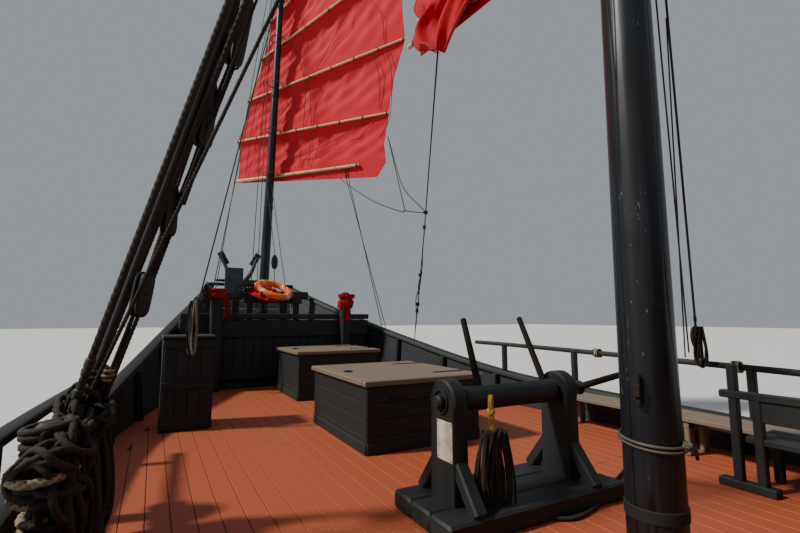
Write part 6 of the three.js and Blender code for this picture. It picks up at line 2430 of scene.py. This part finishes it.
# Single lines to starboard: the foot, the head and the radius
STARBOARD_LINES = [
    ((2.66, 0.98, 1.90), (0.06, -0.22, 13.9), 0.008), ((2.00, 0.60, 5.10), (2.52, 0.94, 1.86), 0.007),
]


def make_starboard_rigging():
    """The lines that come down beside the starboard shroud, a block, and white lashings on the rail."""
    form = Form()
    for start, end, radius in STARBOARD_LINES:
        tube(form, resampled([start, end], 0.5), radius, 8, 0.5)
    form.build("starboard_lines", "rope_dark")
    blocks_form = Form()
    wooden_block(blocks_form, np.array([2.64, 0.89, 2.06]), 0.2, 0.09, 0.07, (-0.08, 0, 1), (0, -1, 0))
    blocks_form.build("starboard_block", BLOCK_FINISHES)
    form = Form()
    for seat, y in enumerate((0.62, 2.12)):
        rail = RAILS["starboard"]
        middle = skin(y, float(rail_top("starboard", y)) - rail["tall"] / 2, rail["inset"])
        generator = np.random.default_rng(360 + seat)
        for turn in range(5):
            steps = circle_angles(24)
            reach = 0.052 + generator.uniform(0, 0.005)
            path = middle + np.stack([reach * np.cos(steps), (turn - 2) * 0.014 + 0.006 * np.sin(steps),
                                      0.9 * reach * np.sin(steps)], -1)
            tube(form, path, 0.0075, 8, generator.random(), closed=True)
    form.build("rail_lashings", "rope_pale")


def hank(form, top, drop, wide, count, radius, seed, out=(0, -1, 0), laid=False):
    """Adds a hank: long loops of rope hung side by side from one place, closed at the foot.

    Each loop runs down, round and up again, as an ellipse squeezed towards its head.
    """
    generator = np.random.default_rng(seed)
    out = unit(np.asarray(out, float))
    across = unit(np.cross(out, WAY_Z))
    steps = circle_angles(56)
    for k in range(count):
        share = (k + 0.5) / count - 0.5
        fall = drop * generator.uniform(0.86, 1.0)
        z = -fall * (1 - np.cos(steps)) / 2
        belly = wide * (0.16 + 0.34 * np.sqrt(np.clip(-z / drop, 0, 1))) * generator.uniform(0.75, 1.1)
        x = share * wide * 0.55 + belly * np.sin(steps) * 0.6
        y = generator.uniform(0.01, 0.06) + 0.012 * np.sin(2 * steps + generator.uniform(0, 6))
        path = top + across * x[:, None] + out * y[:, None] + np.multiply.outer(z, WAY_Z)
        if laid:
            rope(form, np.concatenate([path, path[:1]]), radius, 9)
        else:
            tube(form, path, radius, 8, generator.random(), closed=True)


# Hanks of rope, each row with the place it hangs from, its drop, its width, how many loops, the
# rope's radius, the seed, the way it faces and whether its rope is laid
HANKS = [
    ("bitt_hanks", "rope_dark", [
        ((-2.42, 1.26, 1.70), 0.62, 0.26, 8, 0.0150, 371, (0.6, -0.8, 0), True),
        ((-2.42, 1.52, 1.66), 0.54, 0.22, 6, 0.0150, 372, (0.6, -0.8, 0), True),
        ((-2.44, 1.00, 1.62), 0.52, 0.22, 6, 0.0150, 373, (0.6, -0.8, 0), True),
    ]),
    ("windlass_hank", "rope_dark", [((-0.25, 0.60, 1.55), 0.535, 0.27, 30, 0.0075, 374)]),
    ("locker_hank", "rope_grey", [((-1.76, 3.95, 2.44), 0.60, 0.11, 7, 0.0100, 375)]),
    ("starboard_hank", "rope_dark", [((2.63, 0.86, 2.16), 0.40, 0.13, 8, 0.0090, 376, (-0.6, -0.8, 0))]),
]


def make_hanks():
    """Hanks of rope on the port bitts, the windlass, the locker and the starboard rail."""
    for name, kind, rows in HANKS:
        form = Form()
        for row in rows:
            hank(form, *row)
        form.build(name, kind)


JUNCTION = (1.12, 3.553, 3.721)
JOINED = (1.136, 4.176, 3.88)
FALL_FOOT = (2.19, 5.70, 1.85)
# Sheets: the sail, the place along its chord, up its mast and out, where the sheet leaves it, and the places
# it passes on its way to where it is fast
SHEETS = {
    "fore_sheet_boom": ("foresail", (1.75, 4.44, 0.17), [
        (1.222, 7.451, 5.412), (1.199, 6.601, 4.919), (1.167, 5.355, 4.299), (1.14, 4.31, 3.896), JOINED,
        (1.129, 3.892, 3.798), JUNCTION]),
    "fore_sheet_leech": ("foresail", (2.80, 5.02, 0.2), [JOINED]),
    "fore_sheet_clew": ("foresail", (2.81, 5.00, 0.2), [(1.62, 5.15, 4.62), JUNCTION]),
    "fore_tack_port": ("foresail", (1.80, 4.43, 0.17), [(2.00, 6.53, 2.05)]),
    "fore_tack_starboard": ("foresail", (1.86, 4.43, 0.17), [(1.96, 6.62, 2.08)]),
    "main_sheet": ("mainsail", (-1.502, 3.45, 0.12), [JUNCTION]),
}


def make_sheets():
    """Sheets from the sails, and the fall that they share, with its knots."""
    for name, (sail, leaves, places) in SHEETS.items():
        path = curved([sail_point(sail, *leaves), *places], 70)
        form = Form()
        tube(form, resampled(path, 0.05), 0.0075, 8, 0.5)
        obj = form.build(name, "rope_dark", None)
        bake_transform(obj)
    form = Form()
    top, foot = np.array(JUNCTION), np.array(FALL_FOOT)
    generator = np.random.default_rng(377)
    for _ in range(3):
        way = np.linspace(0, 1, 9)[:, None]
        path = between(top, foot, way) + generator.normal(size=(9, 3)) * 0.012 * np.sin(math.pi * way)
        tube(form, resampled(curved(path, 60), 0.05), 0.0075, 8, 0.5)
    for share, reach in ((0.0, 0.026), (0.09, 0.018), (0.42, 0.020), (0.66, 0.028), (0.72, 0.022)):
        coil(form, between(top, foot, share), WAY_X, (0, 1, 0.3), reach, reach, 3, 0.018, 0.008, 378)
    form.build("sheet_fall", "rope_dark")


# Red cloths at the bow

# Cloth on each bow bitt: its middle, foot, head and reach, then the tail's middle, foot and width
BOW_CLOTHS = [
    ("port", (-BITT["x"] - 0.02, 2.58, 2.76, 0.135), (-1.06, 2.25, 0.08)),
    ("starboard", (BITT["x"] + 0.02, 2.46, 2.72, 0.118), (1.17, 2.17, 0.13)),
]


def make_tail(name, x, y, low, high, wide, seed):
    """A cloth's end that hangs down, with upright folds that open towards its foot."""
    generator = np.random.default_rng(seed)
    a = np.linspace(-1, 1, 40)[None]
    down = np.linspace(0, 1, 30)[:, None]
    folds = (0.008 + 0.016 * down) * np.sin(9 * a + generator.uniform(0, 6) + down)
    across = x + wide / 2 * a * (0.7 + 0.3 * down) + 0.02 * np.sin(3 * down)
    z = high + (low - high) * down + 0.02 * a * down
    grid = np.stack([across, y + folds, z + 0 * a], -1)
    form = Form()
    plate(form, grid, 0.004)
    declare_sheet(form.build(name, "bundle_red", angle=80), grid, "hung")


def make_bow_cloths():
    """Cloth round each bow bitt with a hanging end, a bundle in the life ring, and a blue board."""
    y = BREAK_Y - (BITT["aft"] + BITT["fore"]) / 2
    for name, (x, low, high, reach), (tail_x, foot, wide) in BOW_CLOTHS:
        make_wrap(f"bitt_cloth_{name}", (x, y), low, high, reach, 381)
        make_tail(f"cloth_tail_{name}", tail_x, y - reach - 0.01, foot, low + 0.05, wide, 383)
    make_ring_bundle()
    board = Form()
    timbers(board, [post(-0.85, 7.262, 2.64, 3.20, 0.33, 0.02)], 0.006, WAY_Y, seed=391)
    stand = post(-0.85, 7.275, FOREDECK + 0.001, 2.95, 0.04, 0.03)
    timbers(board, [stand], 0.004, WAY_Y, seed=392, material=1)
    board.build("blue_board", "blue_board black_paint")


def make_wrap(name, middle, low, high, reach, seed):
    """A cloth wound one and a half times round a post, pleated by sines that differ at every height."""
    generator = np.random.default_rng(seed)
    around = np.linspace(0, 3.2 * math.pi, 120)[:, None]
    up = np.linspace(0, 1, 26)[None]
    phases = generator.uniform(0, 6.28, 4)
    waist = 1 - 0.28 * np.exp(-((up - 0.62) / 0.10) ** 2) - 0.14 * (1 - up) ** 3
    pleats = 0.020 * np.sin(13 * around + phases[0] + 2 * up)
    pleats = pleats + 0.012 * np.sin(23 * around + phases[1] + 5 * up)
    sway = 0.015 * np.sin(3 * around + phases[2] + 4 * up)
    out = reach * waist + 0.012 * around / math.pi + pleats * (0.4 + np.abs(up - 0.62)) + sway
    z = low + (high - low) * up + 0.02 * np.sin(2 * around + phases[3]) * (1 - up)
    grid = np.stack([middle[0] + out * np.cos(around), middle[1] + out * np.sin(around), z + 0 * around], -1)
    form = Form()
    plate(form, grid, 0.004)
    declare_sheet(form.build(name, "bundle_red", angle=80), grid, "gathered")


def make_ring_bundle():
    """A folded cloth stuffed through the life ring: a pouch that bulges aft, creased by sines."""
    across, upward, outward = ring_axes()
    middle = np.array(RING["middle"])
    generator = np.random.default_rng(395)
    phases = generator.uniform(0, 6.28, 6)
    a = np.linspace(0, 2 * math.pi, 90)[:, None]
    r = np.linspace(0.06, 1, 40)[None]
    creases = 0.030 * np.sin(7 * a + phases[0] + 5 * r) + 0.018 * np.sin(13 * a + phases[1] - 9 * r)
    creases = (creases + 0.014 * np.sin(4 * a + 17 * r + phases[2])) * np.sin(math.pi * r) ** 0.5
    bulge = 0.11 * np.cos(r * math.pi / 2) + creases
    reach = 0.29 * r
    place = (middle + np.array([-0.17, -0.02, -0.17]) + across * (reach * np.cos(a) * 1.25)[..., None]
             + upward * (reach * np.sin(a) * 1.02)[..., None])
    toward = -outward if outward[1] > 0 else outward
    grid = place + toward * (bulge + 0.085)[..., None]
    form = Form()
    plate(form, grid, 0.004)
    declare_sheet(form.build("ring_cloth", "bundle_red", angle=80), grid, "gathered")


# Steering gear

RUDDER = {"y": -8.83, "rake": -0.38, "foot": -1.35, "head": 4.27, "stock": 0.085}
# The blade's lower and upper edges: distances abaft the stock and heights
BLADE_FOOT = [(0.04, -1.33), (1.15, -1.25), (1.33, -0.60)]
BLADE_HEAD = [(0.04, 1.10), (0.90, 0.90), (1.33, 0.35)]
TILLER = {"aft": -0.2, "fore": 2.0, "z": 4.14, "drop": 0.06, "thick": 0.055, "thin": 0.036}


def rudder_point(aft, z):
    """Points on the rudder's middle plane, a distance abaft the raked stock's axis."""
    z = np.asarray(z, float)
    return np.stack([0 * z, RUDDER["y"] + RUDDER["rake"] * z - aft, z], -1)


def make_rudder():
    """The blade of upright planks abaft a round stock, with straps across, and the tiller's bar."""
    form = Form()
    rings = []
    for edges in pairs(np.linspace(0.06, 1.32, 7), 0.003):
        low = np.interp(edges, *np.array(BLADE_FOOT).T)
        high = np.interp(edges, *np.array(BLADE_HEAD).T)
        body = []
        for x, cut in ((-0.044, 0.006), (-0.038, 0), (0.038, 0), (0.044, 0.006)):
            corners = [(edges[0] + cut, low[0] + cut), (edges[1] - cut, low[1] + cut),
                       (edges[1] - cut, high[1] - cut), (edges[0] + cut, high[0] - cut)]
            body.append([rudder_point(s, z) + [x, 0, 0] for s, z in corners])
        rings.append(body)
    lofts(form, np.array(rings), (0, 1, 2, 3), np.linspace(0.2, 0.8, 6))
    z = np.linspace(RUDDER["foot"], RUDDER["head"], 60)
    tube(form, rudder_point(0, z), RUDDER["stock"] - 0.001, 24, 0.4)
    for z in (-0.9, -0.25, 0.75):
        wide = 1.1 if z < 0.5 else 0.8
        for side in (-1, 1):
            start = rudder_point(0.09, z) + [side * 0.047, 0, 0]
            end = rudder_point(wide, z) + [side * 0.047, 0, 0]
            timbers(form, [(start, end, 0.01, 0.07)], 0.003, material=1)
            studs(form, [rudder_point(a, z) + [side * 0.052, 0, 0] for a in np.linspace(0.2, wide - 0.1, 5)],
                  (side, 0, 0), 0.012, 0.007)
    form.build("rudder_planks", "black_paint iron", "steering", ("rudder",))
    grip = rudder_point(0, TILLER["z"])[1]
    start = np.array([0, grip + TILLER["aft"], TILLER["z"]])
    end = np.array([0, grip + TILLER["fore"], TILLER["z"] - TILLER["drop"]])
    t = np.linspace(0, 1, 30)
    form = Form()
    thick = TILLER["thick"] + (TILLER["thin"] - TILLER["thick"]) * t
    tube(form, between(start, end, t[:, None]), thick * (0.995 - 0.03 * (t > 0.9)), 20)
    form.build("tiller_bar", "worn_wood", "steering", ("tiller",))


# Stage

CAMERA = {"place": (-2.15, -1.7, 2.25), "focal": 450.0, "turn": 245.0, "lift": 51.5}
SENSOR = 36.0
PICTURE = (800, 533)


def make_camera():
    """The camera stands on the deck to port and looks forward, to starboard and a little up."""
    yaw = math.atan(CAMERA["turn"] / CAMERA["focal"])
    pitch = math.atan(CAMERA["lift"] / CAMERA["focal"])
    ahead = Vector((math.sin(yaw) * math.cos(pitch), math.cos(yaw) * math.cos(pitch), math.sin(pitch)))
    right = Vector((math.cos(yaw), -math.sin(yaw), 0.0))
    above = right.cross(ahead)
    lens = bpy.data.cameras.new("camera")
    lens.sensor_width = SENSOR
    lens.lens = CAMERA["focal"] / PICTURE[0] * SENSOR
    lens.clip_start = 0.05
    lens.clip_end = 300.0
    camera = bpy.data.objects.new("camera", lens)
    place = CAMERA["place"]
    camera.matrix_world = Matrix([
        (right.x, above.x, -ahead.x, place[0]), (right.y, above.y, -ahead.y, place[1]),
        (right.z, above.z, -ahead.z, place[2]), (0, 0, 0, 1),
    ])
    bpy.context.scene.collection.objects.link(camera)
    bpy.context.scene.camera = camera


def make_surround():
    """A plain pale surround that lights the ship softly from every side."""
    world = bpy.data.worlds.new("surround")
    world.use_nodes = True
    background = world.node_tree.nodes["Background"]
    background.inputs["Color"].default_value = (0.74, 0.80, 0.86, 1)
    background.inputs["Strength"].default_value = bpy.context.scene.junk_sizes.surround
    bpy.context.scene.world = world


KEY_WAY = (0.71, -0.17, -0.68)


def make_key():
    """A broad key light from above and to port, whose shadows have soft edges."""
    light = bpy.data.lights.new("key", "SUN")
    light.energy = bpy.context.scene.junk_sizes.key_light
    light.angle = math.radians(5.0)
    light.color = (1.0, 0.95, 0.87)
    key = bpy.data.objects.new("key", light)
    key.rotation_mode = "QUATERNION"
    key.rotation_quaternion = Vector(KEY_WAY).to_track_quat("-Z", "Y")
    bpy.context.scene.collection.objects.link(key)


def make_floor():
    """A wide pale floor at the waterline."""
    mesh = bpy.data.meshes.new("floor")
    reach = 120.0
    mesh.from_pydata([(-reach, -reach, 0), (reach, -reach, 0), (reach, reach, 0), (-reach, reach, 0)], [],
                     [(0, 1, 2, 3)])
    floor = bpy.data.objects.new("floor", mesh)
    bpy.context.scene.collection.objects.link(floor)
    mesh.materials.append(studio_floor())


# The add-on

COLOUR = {"subtype": "COLOR", "size": 3, "min": 0.0, "max": 1.0}


class JunkColours(bpy.types.PropertyGroup):
    """The colours that the finishes are made from."""

    topsides: bpy.props.FloatVectorProperty(
        name="Topsides", description="Paint of the hull's sides", default=(0.010, 0.016, 0.023), **COLOUR)
    timbers: bpy.props.FloatVectorProperty(
        name="Timbers", description="Paint of rails, beams and masts",
        default=(0.0065, 0.0085, 0.0115), **COLOUR)
    deck: bpy.props.FloatVectorProperty(
        name="Deck", description="Oiled planks of the decks", default=(0.19, 0.030, 0.0095), **COLOUR)
    poles: bpy.props.FloatVectorProperty(
        name="Poles", description="Bare wood of battens, booms and yards",
        default=(0.42, 0.26, 0.14), **COLOUR)
    sails: bpy.props.FloatVectorProperty(
        name="Sails", description="Cloth of the sails", default=(0.74, 0.002, 0.014), **COLOUR)
    ring: bpy.props.FloatVectorProperty(
        name="Life ring", description="Skin of the life ring", default=(0.72, 0.17, 0.02), **COLOUR)


class JunkSizes(bpy.types.PropertyGroup):
    """Sizes that the dressing can be made with, within the solids that it covers."""

    deck_plank: bpy.props.FloatProperty(
        name="Deck plank", description="Width of the deck planks", unit="LENGTH", min=0.08, max=0.3,
        default=0.142)
    surround: bpy.props.FloatProperty(
        name="Surround", description="Strength of the soft light all round", subtype="FACTOR",
        min=0.0, max=4.0, default=0.42)
    key_light: bpy.props.FloatProperty(
        name="Key light", description="Strength of the key light", subtype="FACTOR",
        min=0.0, max=12.0, default=4.3)


KEPT_NODES = {
    "rudder_strap_upper": "iron", "rudder_strap_lower": "iron", "shaft_strut": "iron", "propeller": "bronze",
}


def finish_kept_nodes():
    """Gives the solids that stay as they are their finishes."""
    for node, material in KEPT_NODES.items():
        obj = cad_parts[node]
        obj.data.materials.clear()
        obj.data.materials.append(finish(material))


class JunkOperator:
    """An operator that calls the functions that make its pieces, in order."""

    bl_options = {"REGISTER", "UNDO"}
    makers = ()

    def execute(self, context):
        for make in self.makers:
            make()
        return {"FINISHED"}


class JUNK_OT_stage(JunkOperator, bpy.types.Operator):
    """Make the camera, the soft surround, the key light and the floor"""

    bl_idname = "junk.stage"
    bl_label = "Stage"
    makers = (make_camera, make_surround, make_key, make_floor)


class JUNK_OT_hull(JunkOperator, bpy.types.Operator):
    """Plank the hull, its sides, wales, cap rails, forecastle and transom"""

    bl_idname = "junk.hull"
    bl_label = "Hull"
    makers = (make_hull, make_quarters)


class JUNK_OT_decks(JunkOperator, bpy.types.Operator):
    """Lay the planks of the three decks"""

    bl_idname = "junk.decks"
    bl_label = "Decks"
    makers = (make_decks,)


class JUNK_OT_cabin(JunkOperator, bpy.types.Operator):
    """Make the cabin's front, its doors, the ladder and the poop's rail"""

    bl_idname = "junk.cabin"
    bl_label = "Cabin"
    makers = (make_cabin_front, make_doors, make_poop_rail, make_ladder)


class JUNK_OT_deck_gear(JunkOperator, bpy.types.Operator):
    """Make the side rails, hatches, windlass, rack, bench, bitts and locker"""

    bl_idname = "junk.deck_gear"
    bl_label = "Deck gear"
    makers = (
        make_side_rails, make_hatches, make_windlass, make_rack, make_bench, make_shroud_bitts,
        make_locker,
    )


class JUNK_OT_bow_gear(JunkOperator, bpy.types.Operator):
    """Make the bow's bitts, beam, pin rail, anchor and life ring"""

    bl_idname = "junk.bow_gear"
    bl_label = "Bow gear"
    makers = (make_bow_gear, make_anchor, make_life_ring, make_bow_cloths)


class JUNK_OT_rig(JunkOperator, bpy.types.Operator):
    """Step the masts, bend the sails and set up the rigging"""

    bl_idname = "junk.rig"
    bl_label = "Rig"
    makers = (
        make_masts, make_mast_gear, make_sails, make_stays, make_port_rigging, make_fore_rigging,
        make_starboard_rigging, make_sheets, make_hanks,
    )


class JUNK_OT_steering(JunkOperator, bpy.types.Operator):
    """Make the rudder and its tiller, and give the straps, the strut and the propeller their finishes"""

    bl_idname = "junk.steering"
    bl_label = "Steering"
    makers = (make_rudder, finish_kept_nodes)


class JUNK_PT_panel(bpy.types.Panel):
    """The junk's colours, sizes and pieces"""

    bl_label = "Junk"
    bl_idname = "JUNK_PT_panel"
    bl_space_type = "VIEW_3D"
    bl_region_type = "UI"
    bl_category = "Junk"

    def draw(self, context):
        colours = context.scene.junk_colours
        for name in ("topsides", "timbers", "deck", "poles", "sails", "ring"):
            self.layout.prop(colours, name)
        sizes = context.scene.junk_sizes
        for name in ("deck_plank", "surround", "key_light"):
            self.layout.prop(sizes, name)
        for operator in OPERATORS:
            self.layout.operator(operator.bl_idname)


OPERATORS = (
    JUNK_OT_stage, JUNK_OT_hull, JUNK_OT_decks, JUNK_OT_cabin, JUNK_OT_deck_gear, JUNK_OT_bow_gear,
    JUNK_OT_rig, JUNK_OT_steering,
)
CLASSES = (JunkColours, JunkSizes, *OPERATORS, JUNK_PT_panel)


def register():
    for made in CLASSES:
        bpy.utils.register_class(made)
    bpy.types.Scene.junk_colours = bpy.props.PointerProperty(type=JunkColours)
    bpy.types.Scene.junk_sizes = bpy.props.PointerProperty(type=JunkSizes)


def unregister():
    del bpy.types.Scene.junk_sizes
    del bpy.types.Scene.junk_colours
    for made in reversed(CLASSES):
        bpy.utils.unregister_class(made)


def main():
    """Registers the add-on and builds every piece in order."""
    register()
    bpy.ops.junk.stage()
    bpy.ops.junk.hull()
    bpy.ops.junk.decks()
    bpy.ops.junk.cabin()
    bpy.ops.junk.deck_gear()
    bpy.ops.junk.bow_gear()
    bpy.ops.junk.rig()
    bpy.ops.junk.steering()


if __name__ == "__main__":
    main()
